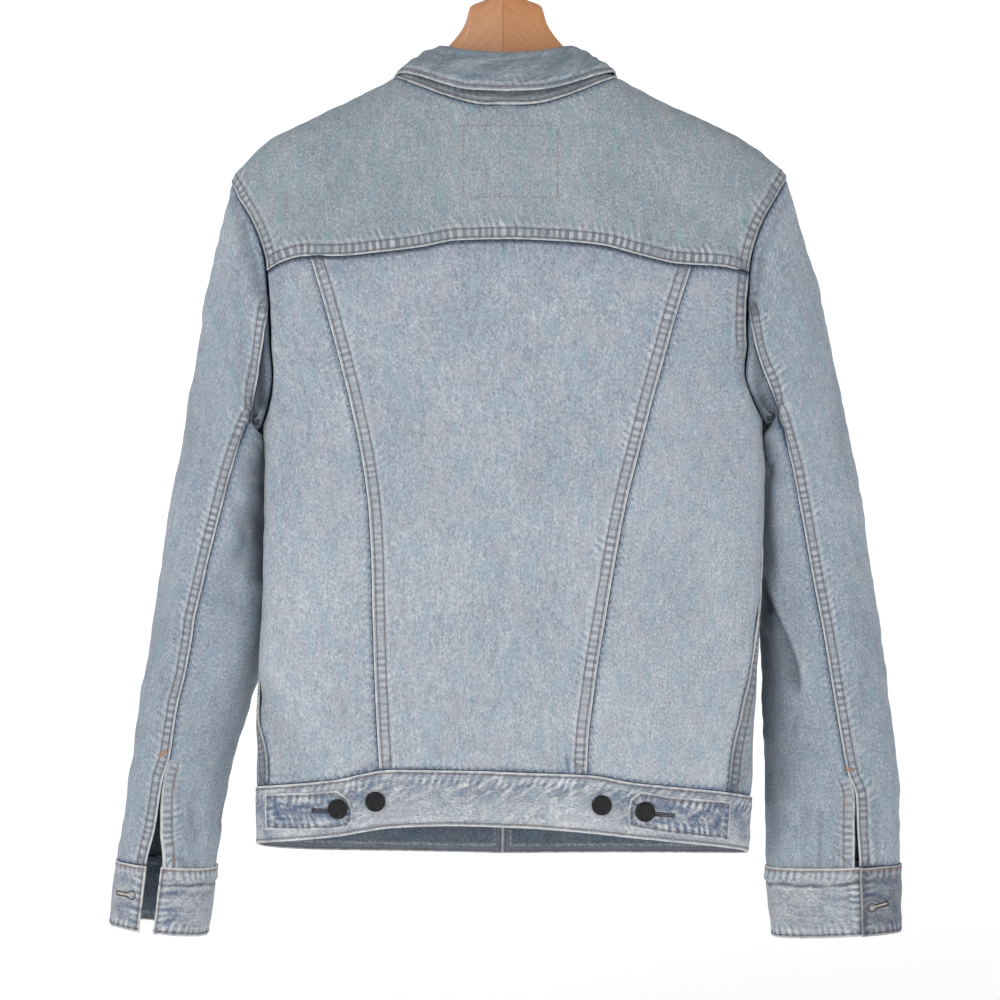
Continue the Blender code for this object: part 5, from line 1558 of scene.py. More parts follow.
# Creases of the yoke: x, z, x, z, width, height.
YOKE_CREASES = (
    (-0.222, -0.235, -0.200, -0.290, 0.010, -0.0016),
    (-0.205, -0.215, -0.165, -0.262, 0.012, -0.0012),
    (-0.190, -0.262, -0.150, -0.246, 0.006, 0.0008),
    (0.228, -0.235, 0.203, -0.290, 0.010, -0.0016),
    (0.208, -0.215, 0.172, -0.262, 0.013, -0.0012),
    (0.110, -0.160, 0.148, -0.205, 0.007, -0.0007),
    (-0.110, -0.165, -0.150, -0.200, 0.008, -0.0007),
    (-0.060, -0.255, 0.010, -0.262, 0.006, 0.0006),
    (0.060, -0.250, 0.130, -0.272, 0.006, 0.0006),
)


def back_centre():
    top = pairs(*yoke_seam(np.linspace(v_top(LEFT), v_top(RIGHT), 200)))
    feet = [v_seam(side, meets_waistband(v_seam, side))[0] for side in (LEFT, RIGHT)]
    bottom = waist_edge(*feet, 200)
    sides = [pairs(*v_seam(side, v_heights(side, 240))) for side in (LEFT, RIGHT)]
    edges = [Edge(edge) for edge in (top, bottom, *sides)]
    sz = layout(edges, (TUCKED, TUCKED, FOLDED, FOLDED), BACK_STEPS)
    base, normal = body(sz[..., 0], sz[..., 1])
    folds = [
        Fold(v_line(side), V_BAND, V_ROWS, side_seed("v", side), power=strong)
        for side, strong in ((LEFT, 0.65), (RIGHT, 0.95))
    ]
    nexts = [(yoke_line(), SEEDS["yoke"]), (waist_line(), SEEDS["waist"])]
    dress = Dress(base, folds, nexts, body_grain(sz), 0.41)
    x, z = base[..., 0], base[..., 2]
    dress.crease(0.0005 * crinkle(x, z, 0.060, 21))
    dress.crease(0.0003 * crinkle(x, z, 0.020, 22))
    dress.creases(x, z, CENTRE_CREASES)
    stains(dress, x, z, PANEL_STAINS["centre"])
    under_yoke(dress)
    painted_light_toward_hem(dress, z)
    outer = shell("back_centre", base, normal, dress, "panel",
                  under=("top", "bottom"))
    for field, far in zip(dress.fields, (False, True)):
        sewn_rows(outer, normal, field, V_ROWS, "rows", far, trim=(0.001, 0.006))


# Patches of darker indigo: x, z, x, z, width, amount.
PANEL_STAINS = {
    "yoke": (
        (0.2002, -0.2591, 0.2061, -0.27, 0.0018, 0.55),
        (0.1541, -0.2926, 0.1625, -0.2801, 0.0014, 0.35),
        (0.129, -0.2868, 0.1365, -0.2734, 0.0014, 0.3),
        (0.1122, -0.2826, 0.1189, -0.2708, 0.0012, 0.3),
        (0.1902, -0.2809, 0.1969, -0.2926, 0.002, 0.5),
        (0.181, -0.2742, 0.191, -0.2926, 0.0014, 0.3),
        (0.0033, -0.2725, 0.0066, -0.2641, 0.0014, 0.25),
        (0.0326, -0.2742, 0.0351, -0.2683, 0.0014, 0.45),
        (0.2262, -0.2289, 0.2195, -0.2407, 0.0014, 0.4),
    ),
    "centre": (
        (-0.099, -0.7184, -0.0964, -0.7083, 0.0018, 0.7),
        (0.0528, -0.7234, 0.0502, -0.7067, 0.002, 0.75),
        (-0.1476, -0.2926, -0.135, -0.3036, 0.0022, 0.35),
        (0.02, -0.6975, 0.0452, -0.7141, 0.006, 0.18),
        (-0.0051, -0.7167, 0.0536, -0.7201, 0.002, 0.3),
        (-0.0931, -0.7184, -0.0554, -0.7167, 0.0016, 0.3),
    ),
    LEFT: (
        (-0.1266, -0.7201, -0.1124, -0.7141, 0.002, 0.5),
        (-0.1995, -0.7251, -0.1727, -0.7234, 0.0016, 0.45),
        (-0.2037, -0.6932, -0.2012, -0.7234, 0.0026, 0.4),
    ),
    RIGHT: (
        (0.0687, -0.715, 0.0687, -0.7234, 0.0018, 0.7),
        (0.0787, -0.7234, 0.1122, -0.7268, 0.0016, 0.4),
        (0.1541, -0.7318, 0.186, -0.7335, 0.0018, 0.45),
        (0.1977, -0.312, 0.1968, -0.3245, 0.0016, 0.5),
    ),
}
# Creases of the centre and the sides: x, z, x, z, width, height.
CENTRE_CREASES = (
    (0.060, -0.672, -0.015, -0.702, 0.010, -0.0010),
    (0.035, -0.700, -0.040, -0.712, 0.006, 0.0007),
    (-0.095, -0.345, -0.080, -0.420, 0.008, -0.0006),
    (0.085, -0.330, 0.062, -0.420, 0.008, -0.0006),
    (-0.030, -0.300, -0.026, -0.380, 0.009, -0.0005),
    (0.030, -0.300, 0.024, -0.360, 0.009, -0.0005),
)


def back_side(side):
    top = pairs(*yoke_seam(np.linspace(v_top(side), yoke_end(side), 120)))
    feet = [seam(side, meets_waistband(seam, side))[0] for seam in (v_seam, side_seam)]
    bottom = waist_edge(*feet, 120)
    arm = pairs(*armhole(side, np.linspace(yoke_angle(side), 180, 160)))
    outside = np.concatenate([arm[:-1], pairs(*side_edge(side, 200))])
    inside = pairs(*v_seam(side, v_heights(side, 240)))
    top[-1], bottom[-1] = outside[0], outside[-1]
    sz = panel_layout(side, top, bottom, inside, outside, (TUCKED, FOLDED), BACK_STEPS)
    base, normal = body(sz[..., 0], sz[..., 1])
    high, pucker = (0.0, 0.0) if side == LEFT else (FOLD_HIGH, 0.0002)
    seed = side_seed("arm", side)
    folds = [Fold(arm_line(side), ARM_BAND, ARM_ROWS, seed, high=high, pucker=pucker)]
    nexts = [(yoke_line(), SEEDS["yoke"]), (waist_line(), SEEDS["waist"])]
    nexts += [(v_line(side), side_seed("v", side)), (side_line(side), side_seed("side", side))]
    dress = Dress(base, folds, nexts, body_grain(sz), 0.67 if side == LEFT else 0.83)
    x, z = base[..., 0], base[..., 2]
    dress.crease(0.0006 * crinkle(x, z, 0.050, 31 + side))
    dress.crease(0.0003 * crinkle(x, z, 0.020, 35 + side))
    dress.creases(x, z, SIDE_CREASES[side])
    stains(dress, x, z, PANEL_STAINS[side])
    under_yoke(dress)
    painted_light_toward_hem(dress, z)
    if side == LEFT:
        # Painted shadow in an arc low on the left side panel.
        dress.paint_shadow(0.15 * trough(x, z, -0.2074, -0.6663, -0.1802, -0.7199, 0.011))
        at_arm = (dress.fields[0] < 0.02) & (z > ARMHOLES[side]["bottom"] - 0.02)
        dress.fade(np.where(at_arm, 0.0, 1.0))
    else:
        # Painted shade beside the right armhole's band, below the yoke.
        dress.paint_shadow(0.16 * trough(x, z, 0.1952, -0.3077, 0.1977, -0.3915, 0.007))
        at_arm = dress.fields[0] < 0.02
        dress.fade(np.where(at_arm, smooth((z + 0.385) / 0.04), 1.0))
    name = SIDE_NAMES[side]
    inner, area = ("right", 0.047) if side == LEFT else ("left", 0.055)
    outer = shell(f"back_side_{name}", base, normal, dress, "panel",
                  under=("top", "bottom", inner))
    if side == RIGHT:
        field = np.where(z > -0.372, dress.fields[0], NO_ROW)
        sewn_rows(outer, normal, field, ARM_ROWS, "rows", far=True)


SIDE_CREASES = {
    LEFT: (
        (-0.190, -0.330, -0.172, -0.395, 0.008, -0.0010),
        (-0.207, -0.655, -0.160, -0.706, 0.010, -0.0016),
        (-0.190, -0.640, -0.140, -0.690, 0.009, 0.0010),
        (-0.185, -0.440, -0.178, -0.520, 0.010, -0.0009),
        (-0.150, -0.470, -0.146, -0.560, 0.010, -0.0006),
    ),
    RIGHT: (
        (0.196, -0.325, 0.180, -0.395, 0.009, -0.0011),
        (0.170, -0.330, 0.158, -0.390, 0.008, -0.0007),
        (0.200, -0.450, 0.190, -0.540, 0.012, -0.0010),
        (0.150, -0.480, 0.146, -0.590, 0.012, -0.0007),
        (0.120, -0.650, 0.155, -0.700, 0.009, -0.0008),
    ),
}


# Creases of the fronts: x, z, x, z, width, height.
FRONT_CREASES = {
    LEFT: (
        (-0.186, -0.335, -0.118, -0.268, 0.0110, -0.0024),
        (-0.182, -0.318, -0.140, -0.258, 0.0070, -0.0014),
        (-0.188, -0.400, -0.104, -0.372, 0.0140, -0.0020),
        (-0.196, -0.470, -0.128, -0.528, 0.0130, -0.0018),
        (-0.072, -0.430, -0.058, -0.560, 0.0170, -0.0018),
        (-0.190, -0.742, -0.146, -0.688, 0.0100, -0.0022),
        (-0.128, -0.748, -0.112, -0.676, 0.0080, -0.0016),
        (-0.062, -0.746, -0.050, -0.640, 0.0110, -0.0018),
        (-0.090, -0.742, -0.086, -0.700, 0.0060, -0.0010),
    ),
    RIGHT: (
        (0.188, -0.350, 0.110, -0.296, 0.0120, -0.0024),
        (0.180, -0.306, 0.150, -0.250, 0.0065, -0.0012),
        (0.192, -0.418, 0.120, -0.404, 0.0120, -0.0018),
        (0.198, -0.486, 0.140, -0.560, 0.0140, -0.0020),
        (0.060, -0.520, 0.078, -0.640, 0.0180, -0.0016),
        (0.194, -0.738, 0.134, -0.700, 0.0110, -0.0022),
        (0.150, -0.746, 0.122, -0.660, 0.0090, -0.0016),
        (0.074, -0.746, 0.066, -0.684, 0.0085, -0.0014),
        (0.046, -0.744, 0.044, -0.700, 0.0060, -0.0010),
    ),
}


def front(side):
    neck = pairs(*neckline(side * np.linspace(NECK_CORNER, 180, 160)))
    flat = np.concatenate([shoulder_flat(side), neck[1:]])
    top = pairs(*over_shoulder(flat[:, 0], flat[:, 1]))
    top[:, 0] = np.where(top[:, 0] * side < 0, side * 2, top[:, 0])
    top[-1] = (side * 2, ridge(0.0) - NECK_FRONT**2)
    arm = pairs(*armhole(side, np.linspace(shoulder_angle(side), -180, 200)))
    seam = pairs(*side_edge(side, 200))
    arm[-1] = seam[0] = (side, ARMHOLES[side]["bottom"])
    outside = np.concatenate([arm, seam[1:]])
    top[0] = outside[0]
    centre = pairs(side * 2.0, np.linspace(top[-1, 1], WAISTBAND["top"][0], 240))
    bottom = waist_edge(side_seam(side, meets_waistband(side_seam, side))[0], side * 2, 200)
    sz = panel_layout(side, top, bottom, outside, centre, (FOLDED, TUCKED), FRONT_STEPS)
    base, normal = body(sz[..., 0], sz[..., 1])
    folds = [
        Fold(side_line(side), SIDE_BAND, SIDE_ROWS, side_seed("side", side)),
        Fold(arm_line(side), ARM_BAND, ARM_ROWS, side_seed("arm", side)),
    ]
    nexts = [(waist_line(), SEEDS["waist"]), (shoulder_line(side), SEEDS["shoulder"])]
    nexts.append((neck_line(side * NECK_CORNER, side * 180.0), SEEDS["neck"]))
    dress = Dress(base, folds, nexts, body_grain(sz), 0.29 if side == LEFT else 0.55)
    x, z = base[..., 0], base[..., 2]
    dress.crease(0.0007 * crinkle(x, z, 0.060, 41 + side))
    dress.creases(x, z, FRONT_CREASES[side])
    # Painted shadow low on the front beside the side seam, and indigo along that seam.
    dress.paint_shadow(0.28 * hump(dress.fields[0] - 0.004, 0.016) * smooth((-0.60 - z) / 0.05))
    dress.stain(0.5 * hump(dress.fields[0], 0.010) * smooth((-0.68 - z) / 0.04))
    name = SIDE_NAMES[side]
    under = ["top", "bottom", "left" if side == LEFT else "right"]
    outer = shell(f"front_{name}", base, normal, dress, "panel",
                  under=under)
    at_side = np.where(z < ARMHOLES[side]["bottom"], dress.fields[0], NO_ROW)
    at_arm = np.where(z > ARMHOLES[side]["bottom"], dress.fields[1], NO_ROW)
    sewn_rows(outer, normal, at_side, SIDE_ROWS, "rows", side == LEFT)
    sewn_rows(outer, normal, at_arm, ARM_ROWS, "rows", side == LEFT)


# ---------------------------------------------------------------- sleeves and cuffs
# How far down each sleeve its vent begins, and what the stitches start from.
VENT = {LEFT: 0.493, RIGHT: 0.511}
VENT_HEM = 0.0085
OUTERS = {}


def sleeve_grid(side, down, start, stop, leads, step):
    """(down, degrees) of a grid whose rows run from the start to the stop angles."""
    turn = np.linspace(0, 1, LAYOUT_LINES)
    degrees = start[:, None] + (stop - start)[:, None] * turn
    dense = sleeve(side, np.broadcast_to(down[:, None], degrees.shape), degrees)[0]
    length = np.linalg.norm(np.diff(dense, axis=1), axis=-1).cumsum(axis=1)
    length = np.concatenate([np.zeros((len(down), 1)), length], axis=1)
    shares = spread_out(length[:, -1], leads[0], leads[1], step)
    rows = zip(shares, length, degrees)
    placed = np.array([np.interp(share * row[-1], row, angles) for share, row, angles in rows])
    return np.broadcast_to(down[:, None], placed.shape).copy(), placed


def sleeve_seam_line(side, which, start=0.0):
    down = np.linspace(start, SLEEVE_LENGTH[side] + 0.002, 320)
    return sleeve(side, down, along(SLEEVES[side], which, down))[0]


def swell(dress, x, z, row, where):
    """A low round rise (x, z, half width, half height, height), where the cloth is marked."""
    at_x, at_z, half_x, half_z, height = row
    dress.height += height * hump(x - at_x, half_x) * hump(z - at_z, half_z) * where


def sleeve_piece(side, kind):
    name, length = SIDE_NAMES[side], SLEEVE_LENGTH[side]
    outer_piece = kind == "outer"
    down = spread_out(length, TUCKED, TUCKED, SLEEVE_STEPS[1])[0] * length
    start = along(SLEEVES[side], "seam" if outer_piece else "under", down)
    stop = np.full(len(down), front_angle_of(side) + (0 if outer_piece else 360))
    grid = sleeve_grid(side, down, start, stop, (FOLDED, TUCKED), SLEEVE_STEPS[0])
    base, normal = sleeve(side, *grid)
    around = np.radians(grid[1]) * SLEEVE_ROUND
    turn = np.linspace(-180, 180, 300)
    nexts = [(sleeve(side, 0.0, turn)[0], side_seed("arm", side))]
    nexts.append((sleeve(side, length, turn)[0], 8.8 + side))
    seam, seed = sleeve_seam_line(side, "seam"), 2.9 + side
    if outer_piece:
        folds = [Fold(seam, SLEEVE_BAND, SLEEVE_ROWS, seed)]
    else:
        nexts.append((seam, seed))
        opening = sleeve_seam_line(side, "under", VENT[side] - 0.02)
        folds = [Fold(opening, 0.009, (VENT_HEM, NO_ROW), 3.3, high=0.0004)]
    dress = Dress(base, folds, nexts, pairs(around, -grid[0]), 0.21 if outer_piece else 0.91)
    if not outer_piece:
        in_vent = grid[0] > VENT[side] + 0.003
        dress.next = np.where(in_vent, np.minimum(1.0, dress.next + 0.02), dress.next)
        dress.own = np.where(in_vent, dress.own, 0.5)
    dress.crease(0.0008 * crinkle(around, grid[0], 0.055, 51 + side))
    dress.crease(0.0004 * crinkle(around, grid[0], 0.020, 55 + side))
    for row in SLEEVE_CREASES[side]:
        dress.crease(sleeve_trough(row, *grid))
    x, z, facing = base[..., 0], base[..., 2], smooth((0.7 - normal[..., 1]) / 0.4)
    painted_shadow_troughs(dress, x, z, SLEEVE_SHADOWS[side], facing, not outer_piece)
    if side == RIGHT and not outer_piece:
        # Painted shadow over the big fold's low side, and a painted highlight along its lit edge.
        low = side_steps(x, z, BIG_FOLD, 0.0028, 0.030) * facing
        dress.crease(-0.0046 * low, 0.0)
        dress.paint_shadow(0.62 * low)
        painted_lit_edge = side_steps(x, z, BIG_FOLD[::-1], 0.0020, 0.0045) * facing
        dress.crease(0.0012 * painted_lit_edge, 0.0)
        dress.shade += 0.30 * painted_lit_edge
    if not outer_piece:
        swell(dress, x, z, ARMPITS[side], facing)
    swell(dress, x, z, FRONT_ARMS[side], smooth((normal[..., 1] + 0.4) / 0.4))
    under = ["top", "bottom"] + ([] if outer_piece else ["left"])
    outer = shell(f"sleeve_{kind}_{name}", base, normal,
                  dress, "sleeve", under=under)
    if outer_piece:
        sewn_rows(outer, normal, dress.fields[0], SLEEVE_ROWS, "rows")
        OUTERS[f"sleeve_{name}"] = (outer, normal)
    else:
        vent = np.where(in_vent, dress.fields[0], NO_ROW)
        sewn_rows(outer, normal, vent, (VENT_HEM,), "rows", thread="tan", trim=(0.004, 0.002))


# Creases of the sleeves: down, angle, down, angle, width, height.
SLEEVE_CREASES = {
    LEFT: (
        (0.230, 100.0, 0.300, 128.0, 0.006, -0.0012),
        (0.260, 150.0, 0.330, 122.0, 0.006, 0.0010),
        (0.545, 95.0, 0.580, 110.0, 0.004, -0.0012),
        (0.550, 130.0, 0.584, 126.0, 0.004, -0.0010),
        (0.120, 100.0, 0.170, 60.0, 0.008, -0.0009),
        (0.350, 60.0, 0.400, 20.0, 0.008, -0.0008),
    ),
    RIGHT: (
        (0.235, 130.0, 0.300, 110.0, 0.006, -0.0012),
        (0.300, 150.0, 0.360, 120.0, 0.006, -0.0012),
        (0.540, 120.0, 0.585, 128.0, 0.005, -0.0012),
        (0.545, 100.0, 0.585, 96.0, 0.004, -0.0009),
        (0.120, 100.0, 0.170, 60.0, 0.008, -0.0009),
        (0.360, 60.0, 0.410, 20.0, 0.008, -0.0008),
    ),
}


# Shaded troughs of the sleeves: x, z, x, z, width, height, darkness.
SLEEVE_SHADOWS = {
    LEFT: (
        (-0.2354, -0.7318, -0.2439, -0.7709, 0.0022, -0.0012, 0.36),
        (-0.283, -0.7165, -0.2703, -0.7794, 0.003, -0.0008, 0.12),
        (-0.2788, -0.7199, -0.2567, -0.7896, 0.0034, -0.0008, 0.1),
        (-0.2601, -0.3476, -0.2754, -0.4666, 0.007, -0.001, 0.07),
        (-0.2482, -0.4241, -0.2635, -0.5091, 0.005, -0.0008, 0.08),
        (-0.272, -0.5771, -0.2839, -0.6536, 0.005, -0.0006, 0.06),
        (-0.2303, -0.2371, -0.2065, -0.3204, 0.005, -0.0014, 0.3),
        (-0.221, -0.2583, -0.2031, -0.3221, 0.0034, -0.0008, 0.4),
        (-0.2048, -0.3408, -0.2057, -0.4105, 0.008, 0.0, 0.88),
        (-0.2108, -0.4105, -0.2091, -0.4309, 0.006, 0.0, 0.55),
        (-0.2057, -0.4071, -0.2125, -0.4666, 0.0075, 0.0, 0.4),
        (-0.2057, -0.4836, -0.2082, -0.5558, 0.01, -0.0006, 0.6),
        (-0.2176, -0.5023, -0.2235, -0.5397, 0.007, -0.001, 0.14),
        (-0.2125, -0.5771, -0.2176, -0.6281, 0.006, -0.0006, 0.05),
        (-0.2754, -0.7964, -0.2712, -0.8092, 0.0028, -0.0009, 0.3),
        (-0.2635, -0.7998, -0.2626, -0.8092, 0.0026, -0.0007, 0.22),
        (-0.3026, -0.7896, -0.3009, -0.8032, 0.0028, -0.0008, 0.16),
    ),
    RIGHT: (
        (0.2167, -0.5873, 0.2185, -0.6918, 0.0125, 0.0, 0.8),
        (0.2185, -0.7004, 0.2227, -0.7471, 0.01, 0.0, 0.45),
        (0.2337, -0.6111, 0.2363, -0.7343, 0.0140, 0.0, 0.30),
        (0.272, -0.3221, 0.2924, -0.4666, 0.006, -0.001, 0.08),
        (0.2499, -0.2583, 0.2652, -0.3476, 0.006, -0.0008, 0.07),
        (0.2992, -0.5431, 0.3077, -0.6621, 0.006, -0.0008, 0.06),
        (0.3026, -0.7386, 0.306, -0.8049, 0.003, -0.0007, 0.12),
        (0.3136, -0.7471, 0.3179, -0.8066, 0.0034, -0.0007, 0.1),
        (0.2346, -0.2414, 0.2116, -0.2898, 0.004, -0.001, 0.24),
        (0.2125, -0.2898, 0.2065, -0.3391, 0.0045, -0.001, 0.34),
        (0.2091, -0.3476, 0.2125, -0.4071, 0.007, 0.0, 0.45),
        (0.2176, -0.4105, 0.2261, -0.4275, 0.006, 0.0, 0.5),
        (0.2142, -0.4071, 0.2193, -0.4751, 0.0085, 0.0, 0.66),
        (0.2201, -0.4751, 0.2167, -0.5431, 0.0085, 0.0, 0.56),
        (0.2176, -0.5635, 0.2227, -0.5873, 0.0075, -0.001, 0.9),
        (0.2473, -0.6748, 0.2397, -0.7097, 0.0024, -0.0009, 0.3),
        (0.2525, -0.7216, 0.2567, -0.8049, 0.004, -0.0012, 0.12),
        (0.2669, -0.7598, 0.2669, -0.8117, 0.0026, -0.0009, 0.2),
        (0.2864, -0.7386, 0.2822, -0.8083, 0.003, -0.0006, 0.1),
        (0.2286, -0.6621, 0.2354, -0.7811, 0.006, -0.0008, 0.12),
        (0.2278, -0.6026, 0.2227, -0.7173, 0.018, -0.0004, 0.24),
    ),
}
# Swellings that close the armholes: x, z, half width, half height, height.
ARMPITS = {
    LEFT: (-0.2074, -0.4436, 0.014, 0.024, 0.0065),
    RIGHT: (0.221, -0.4377, 0.014, 0.024, 0.0065),
}
FRONT_ARMS = {
    LEFT: (-0.196, -0.384, 0.016, 0.045, 0.0032),
    RIGHT: (0.202, -0.350, 0.016, 0.045, 0.0032),
}
# The edge of the deep fold over the right under sleeve, in x and z.
BIG_FOLD = (
    (0.2499, -0.6689), (0.2516, -0.6485), (0.249, -0.6306), (0.2405, -0.6094),
    (0.2282, -0.583), (0.221, -0.566), (0.2133, -0.5482),
)


EDGE_BAND, EDGE_ROW, LOWER_ROW = 0.0045, 0.0026, 0.0030


def front_angle_of(side):
    """Angle of the sleeve's hidden front seam."""
    return np.linspace(shoulder_angle(side), -180, FRONT_ARM_ROWS + 1)[SLEEVE_FRONT_SEAM]


def edge_folds(points, seed):
    """Folds along all four edges of a grid."""
    lines = (points[0], points[-1], points[:, 0], points[:, -1])
    look = {"high": 0.0, "pucker": 0.00015, "ridge": 0.0}
    return [
        Fold(line, EDGE_BAND, (EDGE_ROW, NO_ROW), seed + k, **look) for k, line in enumerate(lines)
    ]


# Distance of the rolled groove below a cuff's upper edge, on its inner side.
GROOVE_DOWN = 0.0138


def cuff(side):
    ends, name = CUFF_ENDS[side], SIDE_NAMES[side]
    first, last = SLEEVE_LENGTH[side] + GAP, CUFF_BOTTOM[side]
    rows = band_shares(last - first, 8, CUFF_STEPS[1])
    down = first + rows * (last - first)
    start = np.full(len(down), ends["outer"])
    stop = np.full(len(down), ends["inner"] - 360)
    grid = sleeve_grid(side, down, start, stop, (FOLDED, FOLDED), CUFF_STEPS[0])
    near_outer = smooth(1 - (ends["outer"] - grid[1]) / CUFF_LIFT_SPAN)
    near_inner = smooth(1 - (grid[1] - ends["inner"] + 360) / CUFF_LIFT_SPAN)
    lift = ends["lift"] * near_outer + ends["dip"] * near_inner
    base, normal = sleeve(side, *grid, BAND_WALL / 2 + lift)
    around = np.radians(grid[1]) * SLEEVE_ROUND
    dress = Dress(base, edge_folds(base, 12.0 + side), (), pairs(grid[0], around), 0.33)
    dress.crease(0.0005 * crinkle(around, grid[0], 0.030, 61 + side))
    inner = smooth((ends["outer"] - grid[1] - 130) / 40)
    low = grid[0] - first
    # A rolled groove on the cuff's inner side, with painted shadow in it and a lighter line just
    # below it.
    groove = hump(low - GROOVE_DOWN - 0.0014 * wobble(around, 3.0, 0.05), 0.0013) * inner
    dress.crease(-0.0012 * groove, 0.0)
    dress.paint_shadow((0.66 + 0.25 * wobble(around, 1.0, 0.04)) * groove)
    dress.shade += 0.30 * hump(low - GROOVE_DOWN - 0.0027, 0.0012) * inner
    facing = smooth((0.2 - normal[..., 1]) / 0.4)
    stains(dress, base[..., 0], base[..., 2], INDIGO[f"cuff_{name}"], facing)
    # Painted shadow over the right cuff's outer end.
    if side == RIGHT:
        dress.paint_shadow(0.38 * smooth((grid[1] - ends["outer"] + 75) / 25))
    dress.crease(0.0008 * hump(low - GROOVE_DOWN + 0.0043, 0.0030) * inner)
    outer = shell(f"cuff_{name}", base, normal, dress, "cuff",
                  thick=BAND_WALL)
    sewn_rows(outer, normal, dress.fields[0], (EDGE_ROW,), "columns", thread="tan")
    sewn_rows(outer, normal, dress.fields[1], (LOWER_ROW,), "columns", far=True, thread="dark")
    sewn_rows(outer, normal, dress.fields[2], (EDGE_ROW,), "rows")
    sewn_rows(outer, normal, dress.fields[3], (EDGE_ROW,), "rows", far=True)
    OUTERS[f"cuff_{name}"] = (outer, normal)


# ---------------------------------------------------------------- bands
# Patches of darker indigo on the bands: x, z, x, z, width, amount.
INDIGO = {
    "tab_left": (
        (-0.197, -0.7435, -0.1903, -0.7586, 0.003, 0.75),
        (-0.1895, -0.7536, -0.166, -0.7486, 0.0032, 0.8),
        (-0.1727, -0.7553, -0.1476, -0.7536, 0.0026, 0.6),
        (-0.1627, -0.7435, -0.1509, -0.746, 0.002, 0.45),
        (-0.1852, -0.7603, -0.1727, -0.762, 0.0018, 0.45),
        (-0.1995, -0.7394, -0.1995, -0.7653, 0.0014, 0.55),
        (-0.1291, -0.7477, -0.1342, -0.7653, 0.0012, 0.5),
    ),
    "tab_right": (
        (0.1072, -0.7435, 0.1039, -0.762, 0.0016, 0.5),
        (0.129, -0.746, 0.1541, -0.7536, 0.003, 0.75),
        (0.1541, -0.7586, 0.1776, -0.7486, 0.0034, 0.85),
        (0.1726, -0.7687, 0.1826, -0.7536, 0.003, 0.75),
        (0.1391, -0.7653, 0.1625, -0.772, 0.002, 0.5),
        (0.1851, -0.746, 0.1843, -0.7771, 0.0014, 0.6),
    ),
    "cuff_left": (
        (-0.3298, -0.8372, -0.3264, -0.8474, 0.0024, 0.7),
        (-0.3256, -0.8355, -0.3094, -0.8389, 0.0022, 0.75),
        (-0.3281, -0.8151, -0.3128, -0.8151, 0.0016, 0.4),
        (-0.2907, -0.8397, -0.2762, -0.8389, 0.002, 0.75),
        (-0.289, -0.8508, -0.2788, -0.8448, 0.002, 0.75),
        (-0.2915, -0.8253, -0.2737, -0.8253, 0.0022, 0.85),
        (-0.2686, -0.827, -0.255, -0.8287, 0.0016, 0.55),
        (-0.3213, -0.8448, -0.3145, -0.8508, 0.0022, 0.5),
    ),
    "cuff_right": (
        (0.306, -0.827, 0.3247, -0.8321, 0.003, 0.85),
        (0.3043, -0.8151, 0.3332, -0.8185, 0.003, 0.6),
        (0.3145, -0.8474, 0.3323, -0.8542, 0.004, 0.6),
        (0.306, -0.844, 0.3043, -0.8559, 0.0024, 0.8),
        (0.3289, -0.8219, 0.3332, -0.8525, 0.003, 0.55),
        (0.2686, -0.8304, 0.2975, -0.8304, 0.0016, 0.5),
        (0.272, -0.8236, 0.2924, -0.8227, 0.0014, 0.3),
    ),
    "waistband": (
        (-0.2079, -0.7486, -0.1995, -0.7771, 0.0045, 0.6),
        (-0.2046, -0.7411, -0.1727, -0.7359, 0.0012, 0.45),
        (-0.1291, -0.7561, -0.1208, -0.7435, 0.0022, 0.45),
        (0.1918, -0.7435, 0.2002, -0.7754, 0.005, 0.6),
        (0.0888, -0.7351, 0.1022, -0.762, 0.0022, 0.4),
        (-0.0638, -0.7284, -0.0504, -0.7251, 0.0018, 0.35),
        (-0.0302, -0.7301, -0.0202, -0.7259, 0.0018, 0.35),
        (0.0117, -0.7318, 0.0284, -0.7268, 0.002, 0.4),
        (0.0452, -0.7368, 0.0653, -0.7301, 0.0022, 0.45),
    ),
}


WAISTBAND_TALL = 0.0475
TAB_TALL = 0.030
TAB_MIDDLE = -0.755


def waistband():
    s = np.linspace(-2, 2, 401)
    length = line_length(body_base(s, along(WAISTBAND, "top", s)))
    shares = band_shares(length[-1], 8, 0.0024)
    s = np.interp(shares * length[-1], length, s)
    rows = band_shares(WAISTBAND_TALL, 9, 0.0022)[:, None]
    z = (1 - rows) * along(WAISTBAND, "top", s) + rows * along(WAISTBAND, "bottom", s)
    s = np.broadcast_to(s, z.shape).copy()
    base, normal = body(s, z, BAND_WALL / 2)
    grain = pairs(z, np.interp(s, AROUND_S, AROUND))
    dress = Dress(base, edge_folds(base, SEEDS["waist"]), (), grain, 0.77)
    dress.crease(0.0005 * crinkle(grain[..., 1], z, 0.030, 71, 0.6))
    dress.blue = smooth((0.62 - rows) / 0.35) * 0.7 + 0.3 + 0.35 * wobble(grain[..., 1], 4.0, 0.13)
    stains(dress, base[..., 0], base[..., 2], INDIGO["waistband"], to_back(normal))
    dress.shade += 0.10 * smooth((rows - 0.35) / 0.4)
    dress.power = dress.power * (0.75 - 0.6 * smooth((rows - 0.4) / 0.3))
    outer = shell("waistband", base, normal, dress, "band",
                  thick=BAND_WALL)
    sewn_rows(outer, normal, dress.fields[0], (EDGE_ROW,), "columns")
    sewn_rows(outer, normal, dress.fields[1], (LOWER_ROW,), "columns", far=True)


